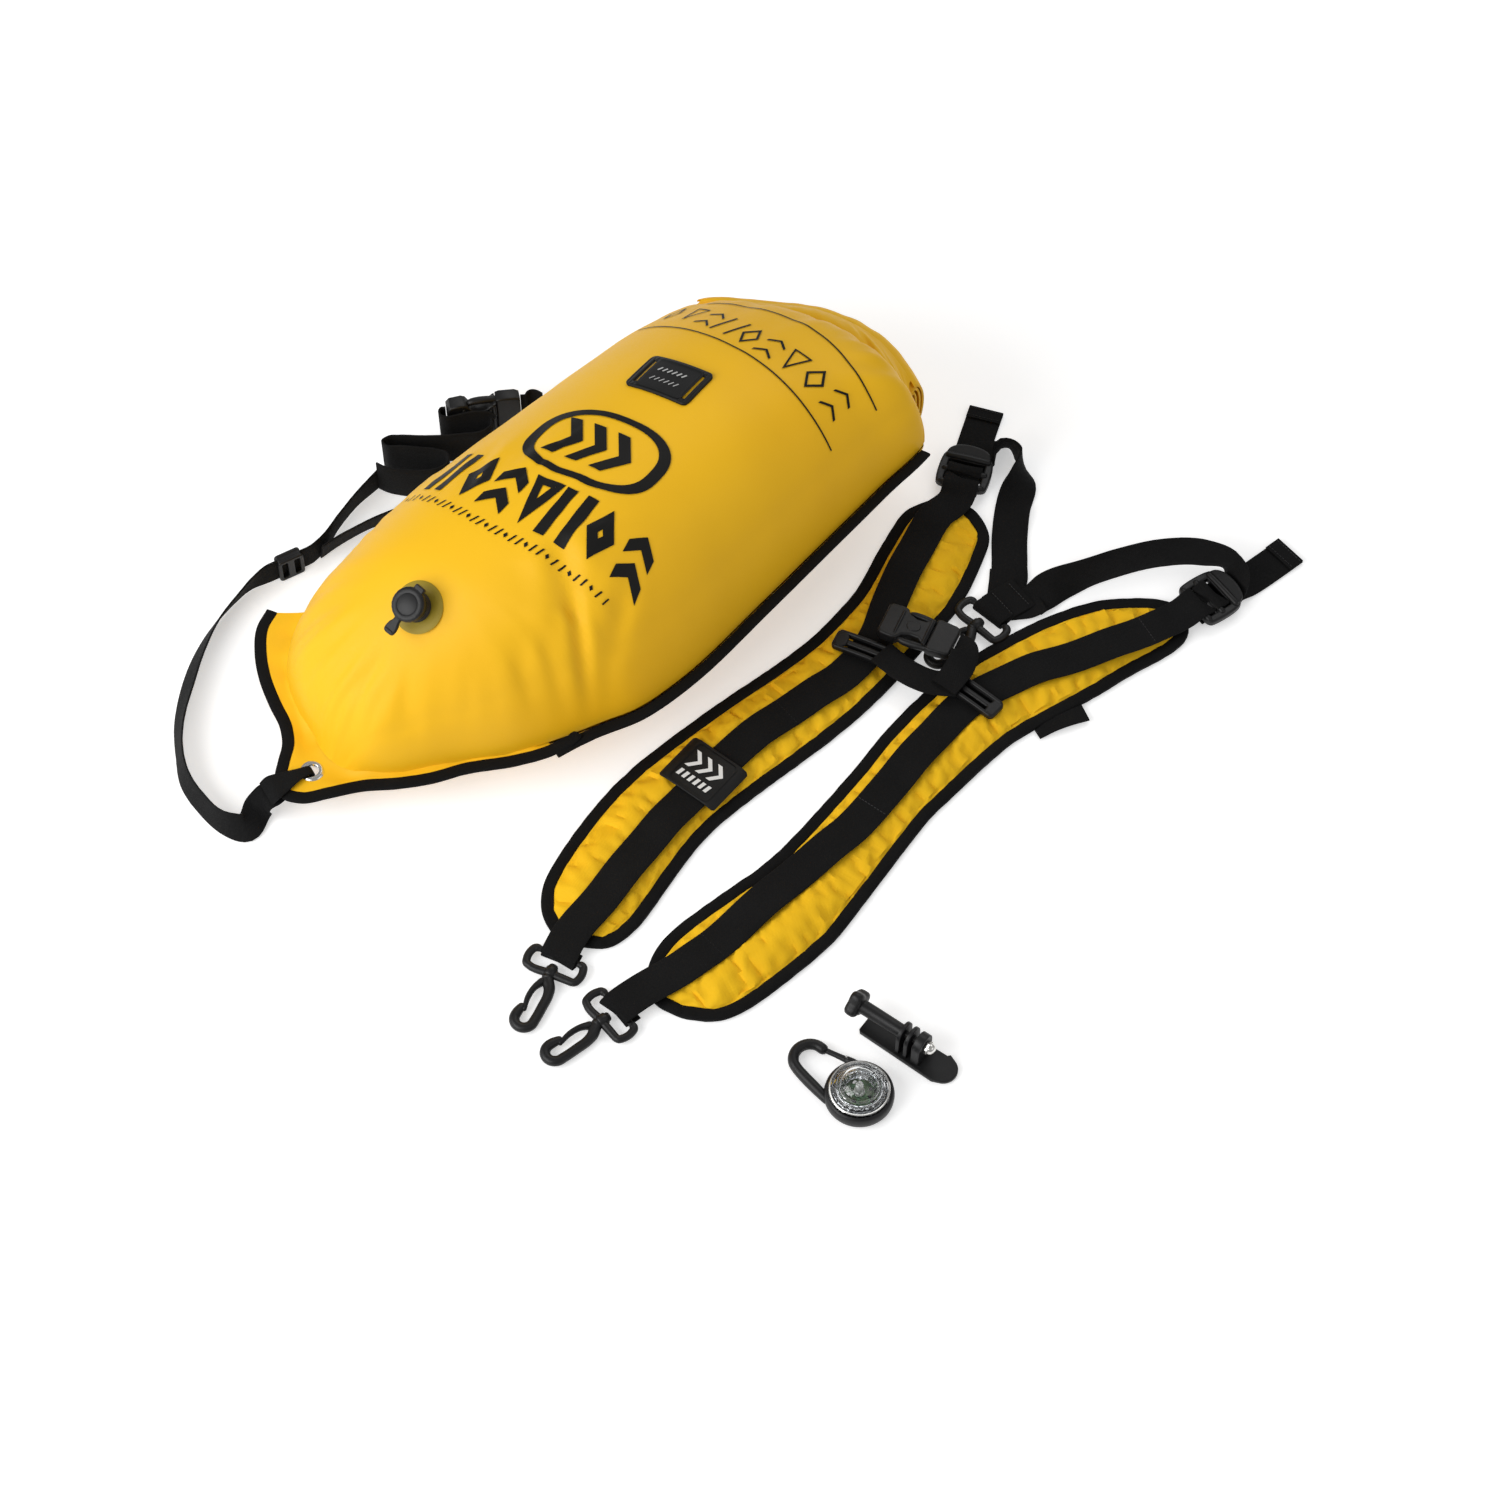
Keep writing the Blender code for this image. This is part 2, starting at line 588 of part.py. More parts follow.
def strap(name, rows, width, thickness, parts=2, parent=None, material=None):
    """Flat webbing above the floor; rows hold x, y, z of its middle, its roll in degrees and its width."""
    line = smoothed([(*row[:4], row[4] if len(row) > 4 else width) for row in rows], parts)
    sections = []
    across = None
    for i, (x, y, z, roll, wide) in enumerate(line):
        heading = Vector(line[min(i + 1, len(line) - 1), :3] - line[max(i - 1, 0), :3]).normalized()
        flat = Vector((heading.y, -heading.x, 0.0))
        if flat.length > 0.15 or across is None:
            flat.normalize()
            if across is not None and flat.dot(across) < 0:
                flat = -flat
            across = flat
        lift = across.cross(heading).normalized()
        angle = math.radians(roll)
        wide_way = across * math.cos(angle) + lift * math.sin(angle)
        thin_way = lift * math.cos(angle) - across * math.sin(angle)
        a, b = wide_way * wide / 2, thin_way * thickness / 2
        middle = Vector((x, y, max(z, abs(a.z) + abs(b.z) + CLEARANCE / 2)))
        sections.append([middle - a - b, middle + a - b, middle + a + b, middle - a + b])
    return solid(name, loft(sections), material or cloth(), parent)


def round_bar(half, high, reach):
    """Offsets, out and up, of a half turn round a bar of a half width and a half height."""
    slant = reach * math.sqrt(0.5)
    if not half:
        angles = [math.radians(degrees) for degrees in range(90, -91, -30)]
        return [(reach * math.cos(angle), reach * math.sin(angle)) for angle in angles]
    return [(half, high + reach), (half + slant, high + slant), (half + reach, high),
            (half + reach, -high), (half + slant, -high - slant), (half, -high - reach)]


def resting(share, size, width, thickness):
    """A row of webbing that rests on the floor, from its place and roll."""
    x, y, roll = share
    angle = math.radians(roll)
    level = width / 2 * abs(math.sin(angle)) + thickness / 2 * abs(math.cos(angle))
    return (x * size, y * size, level + CLEARANCE, roll)


def wrapped_end(place, heading, level, reach, tail):
    """Rows of webbing that comes back under a round bar, turns round it and leaves over it."""
    way = turned_by(heading)
    rows = [(place[0] - tail * way.x, place[1] - tail * way.y, level - reach, 0.0)]
    for out, up in round_bar(0.0, 0.0, reach)[::-1]:
        rows.append((place[0] + out * way.x, place[1] + out * way.y, level + up, 0.0))
    return rows


def seam_level(x, y):
    places = [share * BAG_LENGTH for share in SEAM_PLACE_SHARES]
    middle = np.interp(y, places, [NOSE_SEAM, SHOULDER_SEAM, FAR_SEAM, MOUTH_SEAM])
    return float(middle + x * np.interp(y, places, LEAN_SHARES))


def bag_rows(count=23):
    rows = np.array(BAG_ROW_SHARES) * ([BAG_LENGTH] * 5 + [BAG_HEIGHT] * 2)
    return sampled(rows, count, flat=4)


def bag_sheet(rows, upper, columns=13):
    """One welded panel as a sheet of points, row by row from the front."""
    sheet = []
    for left_x, left_y, right_x, right_y, bow, top, under in rows:
        middle = seam_level(0.0, (left_y + right_y) / 2)
        line = []
        for k in range(columns):
            share = math.sin(math.pi / 2 * (2 * k / (columns - 1) - 1))
            along = (share + 1) / 2
            x = left_x + (right_x - left_x) * along
            y = left_y + (right_y - left_y) * along + bow * (1 - share**2)
            crest = (share - CREST_SHARE) / (1 - CREST_SHARE * share)
            round_share = (1 - abs(crest) ** CROWN_POWER_SHARE) ** CROWN_ROUND_SHARE
            if upper:
                z = seam_level(x, y) + SEAM_HALF + (top - middle - SEAM_HALF) * round_share
            else:
                z = max(0.0, seam_level(x, y) - SEAM_HALF - (middle - SEAM_HALF - under) * round_share)
            line.append((x, y, z))
        sheet.append(line)
    return sheet


def sheet_mesh(sheet, upper):
    shape = bmesh.new()
    verts = [[shape.verts.new(point) for point in line] for line in sheet]
    for i in range(len(sheet) - 1):
        for j in range(len(sheet[0]) - 1):
            corners = (verts[i][j], verts[i][j + 1], verts[i + 1][j + 1], verts[i + 1][j])
            shape.faces.new(corners if upper else corners[::-1])
    return shape


def surface_tree(sheet):
    points = [point for line in sheet for point in line]
    wide = len(sheet[0])
    faces = []
    for i in range(len(sheet) - 1):
        for j in range(wide - 1):
            a = i * wide + j
            faces.append((a, a + 1, a + wide + 1))
            faces.append((a, a + wide + 1, a + wide))
    return BVHTree.FromPolygons(points, faces)


def surface_at(tree, x, y):
    above = Vector((x, y, 2 * BAG_HEIGHT))
    place, normal, _, _ = tree.ray_cast(above, Vector((0.0, 0.0, -1.0)))
    return place, normal if normal.z > 0 else -normal


def build_panels(rows):
    top = bag_sheet(rows, upper=True)
    bottom = bag_sheet(rows, upper=False)
    made = []
    for name, sheet, upper in (("top_panel", top, True), ("bottom_panel", bottom, False)):
        obj = solid(name, sheet_mesh(sheet, upper), coated_yellow())
        wall = obj.modifiers.new("wall", "SOLIDIFY")
        wall.thickness = SHELL
        wall.offset = -1.0
        made.append(obj)
    return made[0], made[1], surface_tree(top)


def band(name, line, low_side, high_side, thickness, material, closed=False):
    """A flat band between two plan lines at the seam's level."""
    sections = []
    for (ax, ay), (bx, by) in zip(low_side, high_side, strict=True):
        a, b = seam_level(ax, ay), seam_level(bx, by)
        half = thickness / 2
        sections.append([(ax, ay, a - half), (bx, by, b - half), (bx, by, b + half), (ax, ay, a + half)])
    return solid(name, loft(sections, closed), material)


def rim(rows, side, start, end):
    """The welded rim on one side between two places along the bag, as shares of its length."""
    column = 0 if side < 0 else 2
    line = spread_evenly([row[column : column + 2] for row in rows], 100, flat=2)
    return [tuple(p) for p in line if start * BAG_LENGTH <= p[1] <= end * BAG_LENGTH]


def nose_line():
    return sampled(scaled(NOSE_BINDING_SHARES, BAG_LENGTH), 30, flat=2)


def build_bindings(rows):
    start = LEFT_TAB_END_SHARE + BINDING_WIDTH / BAG_LENGTH
    left = spread_evenly(rim(rows, -1, start, LEFT_BINDING_END_SHARE), 14, flat=2)
    right = spread_evenly(rim(rows, 1, RIGHT_BINDING_START_SHARE, RIGHT_BINDING_END_SHARE), 14, flat=2)
    half = BINDING_WIDTH / 2
    outward = half + 3 * CLEARANCE
    for name, line in (
        ("nose_binding", nose_line()),
        ("left_binding", side_steps(left, outward)),
        ("right_binding", side_steps(right, -outward)),
    ):
        band(name, line, side_steps(line, -half), side_steps(line, half), BINDING_THICKNESS, cloth())


def build_nose_tab(rows):
    """The flat welded tab between the inflated part and the nose binding, with its eyelet hole."""
    left = rim(rows, -1, -1.0, LEFT_TAB_END_SHARE)
    right = rim(rows, 1, -1.0, RIGHT_TAB_END_SHARE)
    front = [point[:2] for point in bag_sheet(rows[:1], upper=True)[0][1:-1]]
    edge = side_steps(nose_line(), BINDING_WIDTH / 2 + CLEARANCE)
    inner = side_steps(spread_evenly(left[::-1] + front + right, 60, flat=2), -3 * CLEARANCE)
    reach = np.linalg.norm(edge - inner[-1], axis=1)
    outer = edge[: int(reach.argmin()) + 1]
    inner = spread_evenly(inner, len(outer), flat=2)
    tab = band("nose_tab", outer, outer, inner, TAB_THICKNESS, coated_yellow())
    x, y = spot(EYELET_SHARE, BAG_LENGTH)
    level = seam_level(x, y)
    barrel = EYELET_BORE + EYELET_WALL + CLEARANCE
    cutter = solid("eyelet_hole", turned_solid([(barrel, -OVERRUN), (barrel, OVERRUN)]), plastic(),
                   at=(x, y, level))
    boolean(tab, cutter, "DIFFERENCE")
    return x, y, level


def build_eyelet(x, y, level):
    half = TAB_THICKNESS / 2
    outer = EYELET_BORE + EYELET_WALL
    foot = -half - CLEARANCE - EYELET_RIM
    top = half + CLEARANCE
    profile = [
        (EYELET_BORE, foot), (outer, foot), (outer, top),
        (EYELET_FLANGE, top), (EYELET_FLANGE - EYELET_RIM, top + EYELET_RIM),
        (EYELET_BORE, top + EYELET_RIM),
    ]
    steel = look("eyelet_metal", STEEL, 0.3, 1.0)
    solid("eyelet_top", turned_ring(profile), steel, at=(x, y, level))
    inner = outer + CLEARANCE
    seat = -half - CLEARANCE
    washer = [(inner, foot), (EYELET_FLANGE, foot), (EYELET_FLANGE, seat), (inner, seat)]
    solid("eyelet_washer", turned_ring(washer), steel, at=(x, y, level))


def build_roll():
    """The mouth, rolled up flat, with its ends open."""
    line = sampled([(x * BAG_LENGTH, y * BAG_LENGTH, z * BAG_LENGTH) for x, y, z in ROLL_SHARES], 7)
    turns, steps = 2.5, 26
    outside, inside = [], []
    for i in range(steps + 1):
        turn = turns * i / steps
        angle = 2 * math.pi * turn + math.pi / 2
        for side, wall in ((outside, 0.0), (inside, ROLL_WALL)):
            deep = ROLL_DEPTH / 2 - ROLL_PITCH * turn - wall
            high = ROLL_HEIGHT / 2 - ROLL_PITCH * turn - wall
            side.append((-deep * math.cos(angle), high * math.sin(angle)))
    outline = outside + inside[::-1]
    sections = []
    for x, y, z in line:
        sections.append([(x, y + a, z + b) for a, b in outline])
    solid("roll_top", loft(sections), coated_yellow())


def build_patch(tree):
    """The slotted lash patch, which follows the bag's crown."""
    cx, cy = spot(PATCH_SHARE, BAG_LENGTH)
    way = turned_by(PATCH_TURN)
    half, rows, columns = PATCH_LENGTH / 2, 7, 6
    sections = []
    for i in range(rows):
        across = math.sin(math.pi / 2 * (2 * i / (rows - 1) - 1)) * half
        inset = max(0.0, abs(across) - (half - PATCH_CORNER))
        lost = PATCH_CORNER - math.sqrt(max(0.0, PATCH_CORNER**2 - inset**2))
        deep = PATCH_WIDTH / 2 - lost
        under, over = [], []
        for j in range(columns):
            along = deep * (2 * j / (columns - 1) - 1)
            x = cx + way.x * across - way.y * along
            y = cy + way.y * across + way.x * along
            place, _ = surface_at(tree, x, y)
            under.append((x, y, place.z + DRAPE))
            over.append((x, y, place.z + DRAPE + PATCH_THICKNESS))
        sections.append(under + over[::-1])
    patch = solid("lash_patch", loft(sections), look("patch_rubber", RUBBER_BLACK, 0.6))
    middle = surface_at(tree, cx, cy)[0].z
    frame = frame_at("patch_frame", (cx, cy), PATCH_TURN, middle)
    reach = BAG_HEIGHT / 8
    for side in (-1, 1):
        x = side * PATCH_LENGTH * 0.39
        low = (x - PATCH_SLOT_WIDTH / 2, -PATCH_SLOT_LENGTH / 2, -reach)
        high = (x + PATCH_SLOT_WIDTH / 2, PATCH_SLOT_LENGTH / 2, reach)
        boolean(patch, box("patch_slot", low, high, frame), "DIFFERENCE")


def build_valve(tree, top_panel):
    """Flange, body with its bore, the flap inside and the hinged cap, all on the surface's own axis."""
    x, y = spot(VALVE_SHARE, BAG_LENGTH)
    place, normal = surface_at(tree, x, y)
    empty = frame_at("valve_frame", (x, y), 0.0, place.z)
    empty.rotation_mode = "QUATERNION"
    empty.rotation_quaternion = Vector((0.0, 0.0, 1.0)).rotation_difference(normal)
    back = empty.rotation_quaternion.to_matrix()
    grid = []
    for ring in range(3):
        radius = VALVE_STEM_RADIUS + CLEARANCE + (FLANGE_RADIUS - VALVE_STEM_RADIUS) * ring / 2
        line = []
        for a in range(24):
            angle = 2 * math.pi * a / 24
            out = place + back @ Vector((radius * math.cos(angle), radius * math.sin(angle), 0.0))
            hit = tree.ray_cast(out + normal * FLANGE_RADIUS, -normal)[0]
            line.append((radius, angle, normal.dot(hit - place)))
        grid.append(line)
    sections = []
    for a in range(24):
        under = [(r * math.cos(t), r * math.sin(t), h + DRAPE) for r, t, h in (ring[a] for ring in grid)]
        over = [(px, py, pz + FLANGE_THICKNESS) for px, py, pz in under]
        sections.append(under + over[::-1])
    solid("valve_flange", loft(sections, closed=True), look("valve_flange_film", OLIVE, 0.35), empty)
    foot = DRAPE + FLANGE_THICKNESS + CLEARANCE
    depth = -SHELL - VALVE_STEM_DEPTH / 2
    profile = [
        (VALVE_BORE, depth), (VALVE_STEM_RADIUS, depth), (VALVE_STEM_RADIUS, foot),
        (VALVE_RADIUS, foot), (VALVE_RADIUS, foot + VALVE_HEIGHT), (VALVE_BORE, foot + VALVE_HEIGHT),
    ]
    solid("valve_body", turned_ring(profile), plastic(), empty)
    flap_top = depth - CLEARANCE
    flap = turned_solid([(VALVE_STEM_RADIUS, flap_top - FLAP_THICKNESS), (VALVE_STEM_RADIUS, flap_top)])
    solid("valve_flap", flap, look("silicone", LED_WHITE, 0.5), empty)
    hole = VALVE_STEM_RADIUS + CLEARANCE
    cutter = solid("valve_hole", turned_solid([(hole, -FLANGE_RADIUS / 2), (hole, FLANGE_RADIUS / 2)]),
                   plastic(), empty)
    boolean(top_panel, cutter, "DIFFERENCE")
    build_valve_cap(empty, foot + VALVE_HEIGHT + CLEARANCE)


def build_valve_cap(empty, rim):
    """The cap turns on a pin beside the valve's far edge, and is pulled up by its near tongue."""
    reach = VALVE_RADIUS + HINGE_RADIUS + CLEARANCE
    hinge = frame_at("valve_cap_axis", (0.0, reach), 0.0, rim, empty)
    edge = CAP_RADIUS - PLUG_DEPTH / 4
    plug = VALVE_BORE - CLEARANCE - DRAPE
    profile = [(plug, -PLUG_DEPTH), (plug, 0.0), (edge, 0.0), (CAP_RADIUS, CAP_THICKNESS / 3),
               (CAP_RADIUS, CAP_THICKNESS * 0.7), (edge, CAP_THICKNESS)]
    cap = solid("valve_cap", turned_solid(profile), plastic(), hinge, at=(0.0, -reach, 0.0))
    half = CAP_TAB_WIDTH / 2
    low = CAP_THICKNESS * 0.2
    tongue = box("valve_tongue", (-half, -CAP_RADIUS - CAP_TAB_LENGTH, low),
                 (half, 0.0, CAP_THICKNESS * 0.8), hinge, at=(0.0, -reach, 0.0))
    knuckle = box("valve_knuckle", (-half, 0.0, low), (half, reach + HINGE_RADIUS, CAP_THICKNESS * 0.8),
                  hinge, at=(0.0, -reach, 0.0))
    boolean(cap, tongue, "UNION")
    boolean(cap, knuckle, "UNION")


def build_leash(x, y, level):
    """From its sewn end over the nose, down the eyelet and back under, then along the floor to the belt."""
    over = level + BINDING_THICKNESS / 2 + LEASH_THICKNESS
    under = level - BINDING_THICKNESS / 2 - LEASH_THICKNESS
    rim = EYELET_RIM + CLEARANCE
    step = EYELET_BORE
    thin = LEASH_IN_EYELET
    way = Vector((-0.28, -0.96)).normalized()

    def at(steps, height, roll=0.0, width=LEASH_WIDTH):
        return (x + way.x * steps * step, y + way.y * steps * step, height, roll, width)

    rows = [
        at(7.4, level - LEASH_THICKNESS),
        at(6.4, over - rim / 2),
        at(4.6, over + rim / 2, width=0.8 * LEASH_WIDTH),
        at(1.6, over + rim, width=1.2 * thin),
        at(0.30, over, width=thin),
        at(0.0, level, width=thin),
        at(0.30, under, width=thin),
        at(1.6, under - rim, width=1.2 * thin),
        at(4.6, under - rim / 2, width=0.8 * LEASH_WIDTH),
        at(6.4, under - rim),
        at(7.6, level - 3.2 * LEASH_THICKNESS, 5.0),
        at(9.0, LEASH_WIDTH / 2, 30.0),
    ]
    for share in LEASH_SHARES:
        rows.append((*resting(share, BAG_LENGTH, LEASH_WIDTH, LEASH_THICKNESS), LEASH_WIDTH))
    strap("leash_webbing", rows, LEASH_WIDTH, LEASH_THICKNESS)
    back = [resting(share, BAG_LENGTH, LEASH_WIDTH, LEASH_THICKNESS) for share in RETURN_SHARES]
    strap("leash_return", back, LEASH_WIDTH, LEASH_THICKNESS)


def build_slider():
    """A flat frame round the leash, with two windows that leave a middle bar."""
    start, end = spot(SLIDER_FROM_SHARE, BAG_LENGTH), spot(SLIDER_TO_SHARE, BAG_LENGTH)
    share = SLIDER_PLACE_SHARE
    place = [a + (b - a) * share for a, b in zip(start, end, strict=True)]
    heading = math.degrees(math.atan2(end[1] - start[1], end[0] - start[0]))
    level = LEASH_WIDTH / 2 + CLEARANCE
    frame = frame_at("slider_frame", place, heading, level)
    room = LEASH_WIDTH / 2 + 2 * CLEARANCE
    thin = LEASH_THICKNESS / 2 + SLIDER_ROOM
    wall = SLIDER_WALL
    half = SLIDER_LENGTH / 2
    low = (-half, -thin - wall, -level + CLEARANCE / 4)
    body = box("leash_slider", low, (half, thin + wall, room + wall), frame)
    low = (-half - OVERRUN, -thin, -level - OVERRUN)
    passage = box("slider_passage", low, (half + OVERRUN, thin, room), frame)
    boolean(body, passage, "DIFFERENCE")
    for side in (-1, 1):
        ends = sorted((side * half * 0.25, side * half * 0.75))
        low, high = (ends[0], -level, -room * 0.7), (ends[1], level, room * 0.7)
        window = box("slider_window", low, high, frame)
        boolean(body, window, "DIFFERENCE")


def buckle_slot(width):
    return rounded_outline(BUCKLE_SLOT, width - 2 * BUCKLE_WALL, BUCKLE_SLOT / 3, 1)


def build_buckle(name, frame, width, thickness, level):
    """A side release buckle along X: the female body at -X and the male part with its two arms at +X."""
    middle = (BUCKLE_BODY - BUCKLE_TAIL) / 2
    outline = moved(rounded_outline(BUCKLE_BODY, width, BUCKLE_CORNER, 2), middle - BUCKLE_BODY / 2)
    slot = moved(buckle_slot(width), middle - BUCKLE_BODY + BUCKLE_BAR + BUCKLE_SLOT / 2)
    female = plate(name + "_female", [outline, slot], level, level + thickness, plastic(), frame)
    room = thickness - 2 * BUCKLE_WALL
    low = level + BUCKLE_WALL
    inner = width / 2 - BUCKLE_WALL
    pocket = box(name + "_pocket", (middle - BUCKLE_POCKET, -inner, low),
                 (middle + OVERRUN, inner, low + room), frame)
    boolean(female, pocket, "DIFFERENCE")
    window = box(name + "_window", (middle - 0.7 * BUCKLE_POCKET, -width, low),
                 (middle - 0.3 * BUCKLE_POCKET, width, low + room), frame)
    boolean(female, window, "DIFFERENCE")
    start = middle + CLEARANCE
    arm_out = inner - CLEARANCE
    arm_in = arm_out - BUCKLE_ARM
    rib = BUCKLE_ARM / 2
    tip = middle - BUCKLE_POCKET + CLEARANCE
    catch = middle - 0.66 * BUCKLE_POCKET
    male_low, male_high = low + CLEARANCE, low + room - CLEARANCE
    end = start + BUCKLE_TAIL
    wide = width / 2
    outline = [(start, -wide), (end, -wide), (end, wide), (start, wide), (start, arm_out),
               (catch, arm_out), (tip, arm_in + rib), (tip, arm_in), (start, arm_in),
               (start, rib), (tip, rib), (tip, -rib), (start, -rib),
               (start, -arm_in), (tip, -arm_in), (tip, -arm_in - rib), (catch, -arm_out), (start, -arm_out)]
    slot = moved(buckle_slot(width), end - BUCKLE_BAR - BUCKLE_SLOT / 2)
    plate(name + "_male", [outline, slot], male_low, male_high, plastic(), frame)


def build_waist_belt():
    """The belt stands on edge, folded on itself, and so does its buckle."""
    place = spot(WAIST_BUCKLE_SHARE, BAG_LENGTH)
    level = BELT_BUCKLE_WIDTH / 2 + CLEARANCE
    frame = frame_at("waist_buckle_frame", place, WAIST_BUCKLE_TURN, level, roll=90.0)
    build_buckle("waist_buckle", frame, BELT_BUCKLE_WIDTH, BUCKLE_THICKNESS, -BUCKLE_THICKNESS / 2)
    way = turned_by(WAIST_BUCKLE_TURN)
    rest = BELT_WIDTH / 2 + CLEARANCE

    def beside(shares, height):
        rows = []
        for along, side in shares:
            x = place[0] + (along * way.x + side * way.y) * BELT_WIDTH
            y = place[1] + (along * way.y - side * way.x) * BELT_WIDTH
            rows.append((x, y, height, 90.0))
        return rows

    start = (-BUCKLE_BODY - BUCKLE_TAIL) / 2 - 2 * CLEARANCE
    rows = beside([(start / BELT_WIDTH, 0.0), *BELT_FOLD_SHARES], level)
    rows += [(x, y, rest, 90.0) for x, y in scaled(BELT_SHARES, BAG_LENGTH)]
    strap("waist_belt", rows, BELT_WIDTH, BELT_THICKNESS)
    rows = beside([(-start / BELT_WIDTH, 0.0), *BELT_END_SHARES], level)
    strap("belt_end", rows, BELT_WIDTH, BELT_THICKNESS)


def pad_rows(shares, count=26):
    """Middle, sideways direction and half width of a pad, from its lower end to its upper end."""
    line = sampled([(x * HARNESS_LENGTH, y * HARNESS_LENGTH, wide) for x, y, wide in shares], 120, flat=2)
    steps = np.linalg.norm(np.diff(line[:, :2], axis=0), axis=1)
    along = np.concatenate([[0.0], np.cumsum(steps)])
    places = [math.sin(math.pi / 2 * (2 * i / (count - 1) - 1)) / 2 + 0.5 for i in range(count)]
    at = np.array(places) * along[-1]
    middle = np.stack([np.interp(at, along, line[:, k]) for k in range(2)], axis=1)
    edge_way = side_steps(middle, 1.0) - middle
    halves = np.interp(at, along, line[:, 2]) * PAD_WIDTH / 2 - PAD_BINDING_WIDTH - CLEARANCE
    return middle, edge_way, halves


def build_pad(name, shares):
    middle, way, halves = pad_rows(shares)
    full = max(halves)
    sections = []
    for centre, side, half in zip(middle, way, halves, strict=True):
        crown = (PAD_CROWN - PAD_EDGE) * half / full
        section = []
        for share in (-1.0, -0.7, -0.35, 0.0, 0.35, 0.7, 1.0):
            x, y = centre + side * half * share
            section.append((x, y, PAD_EDGE + crown * (1 - abs(share) ** 2.4)))
        for share in (1.0, -1.0):
            x, y = centre + side * half * share
            section.append((x, y, 0.0))
        sections.append(section)
    solid(name, loft(sections), look("pad_fabric", PAD_YELLOW, 0.75))
    reach = way * np.array(halves)[:, None]
    edge = np.vstack([middle - reach, (middle + reach)[::-1]])
    near = side_steps(edge, -CLEARANCE, closed=True)
    far = side_steps(edge, -CLEARANCE - PAD_BINDING_WIDTH, closed=True)
    sections = []
    for (ax, ay), (bx, by) in zip(near, far, strict=True):
        top = PAD_BINDING_HEIGHT
        sections.append([(ax, ay, 0.0), (bx, by, 0.0), (bx, by, 0.7 * top), (ax, ay, top)])
    solid(name + "_binding", loft(sections, closed=True), cloth())


def build_pad_webbing(name, shares, ring, ring_heading, lock, lock_heading):
    """Webbing sewn along a pad: folded round the hook ring below and round the ladder lock's bar above."""
    rows = wrapped_end(ring, ring_heading, RING_LEVEL, WRAP, WEBBING_WIDTH / 3)
    way = turned_by(ring_heading)
    back = WEBBING_WIDTH * 0.60
    rows.append((ring[0] - way.x * back, ring[1] - way.y * back, PAD_OVER_END, 0.0))
    rows += [(x, y, PAD_TOP, 0.0) for x, y in scaled(shares, HARNESS_LENGTH)]
    way = turned_by(lock_heading)
    bar = LOCK_LENGTH / 2 - LOCK_BAR / 2
    place = (lock[0] - way.x * bar, lock[1] - way.y * bar)
    back = WEBBING_WIDTH * 0.5
    rows.append((place[0] - way.x * back, place[1] - way.y * back, PAD_OVER_END, 0.0))
    level = LOCK_LEVEL + LOCK_THICKNESS / 2
    reach = WEBBING_THICKNESS / 2 + 2 * CLEARANCE
    turn = round_bar(LOCK_BAR / 2, LOCK_THICKNESS / 2, reach)
    turn.append((-WEBBING_WIDTH / 6, turn[-1][1]))
    for out, up in turn:
        rows.append((place[0] + out * way.x, place[1] + out * way.y, level + up, 0.0))
    strap(name, rows, WEBBING_WIDTH, WEBBING_THICKNESS)


def build_ladder_lock(name, place, heading):
    frame = frame_at(name + "_frame", place, heading)
    outline = rounded_outline(LOCK_LENGTH, LOCK_WIDTH, LOCK_CORNER)
    room = (LOCK_LENGTH - 3 * LOCK_BAR) / 2
    wide = WEBBING_WIDTH + 2 * CLEARANCE
    slot = rounded_outline(room, wide, LOCK_BAR / 8, 1)
    slots = [moved(slot, side * (room + LOCK_BAR) / 2) for side in (-1, 1)]
    plate(name, [outline, *slots], LOCK_LEVEL, LOCK_LEVEL + LOCK_THICKNESS, plastic(), frame)


def build_adjuster(name, place, heading, tail_shares, strap_shares, end_level):
    """The strap from the yoke: under the lock, up and over its middle bar, and out as the free tail."""
    way = turned_by(heading)
    low = FLOOR_WEB
    tail_low = low + WEBBING_THICKNESS + CLEARANCE
    middle = LOCK_LEVEL + LOCK_THICKNESS / 2
    reach = WEBBING_THICKNESS / 2 + 2 * CLEARANCE
    turn = round_bar(LOCK_BAR / 2, LOCK_THICKNESS / 2, reach)
    side, foot = turn[3]

    def at(distance, level):
        return (place[0] + way.x * distance, place[1] + way.y * distance, level, 0.0)

    rows = [(x, y, FLOOR_WEB, 0.0) for x, y in scaled(tail_shares, HARNESS_LENGTH)][::-1]
    rows += [at(LOCK_LENGTH * share, tail_low) for share in (0.75, 0.40, 0.24)]
    rows.append(at(side + reach / 3, tail_low + reach / 2))
    rows += [at(out, middle + up) for out, up in turn[3::-1]]
    rows += [at(-out, middle + up) for out, up in turn[:4]]
    rows += [at(-side + reach / 8, low + reach), at(-side + reach, low)]
    rows += [at(LOCK_LENGTH * share, low) for share in (0.10, 0.40, 0.60)]
    lifted = [resting(share, HARNESS_LENGTH, WEBBING_WIDTH, WEBBING_THICKNESS) for share in strap_shares]
    lifted[-2] = (*lifted[-2][:2], end_level, 0.0)
    lifted[-1] = (*lifted[-1][:2], end_level, 0.0)
    strap(name, rows + lifted, WEBBING_WIDTH, WEBBING_THICKNESS)


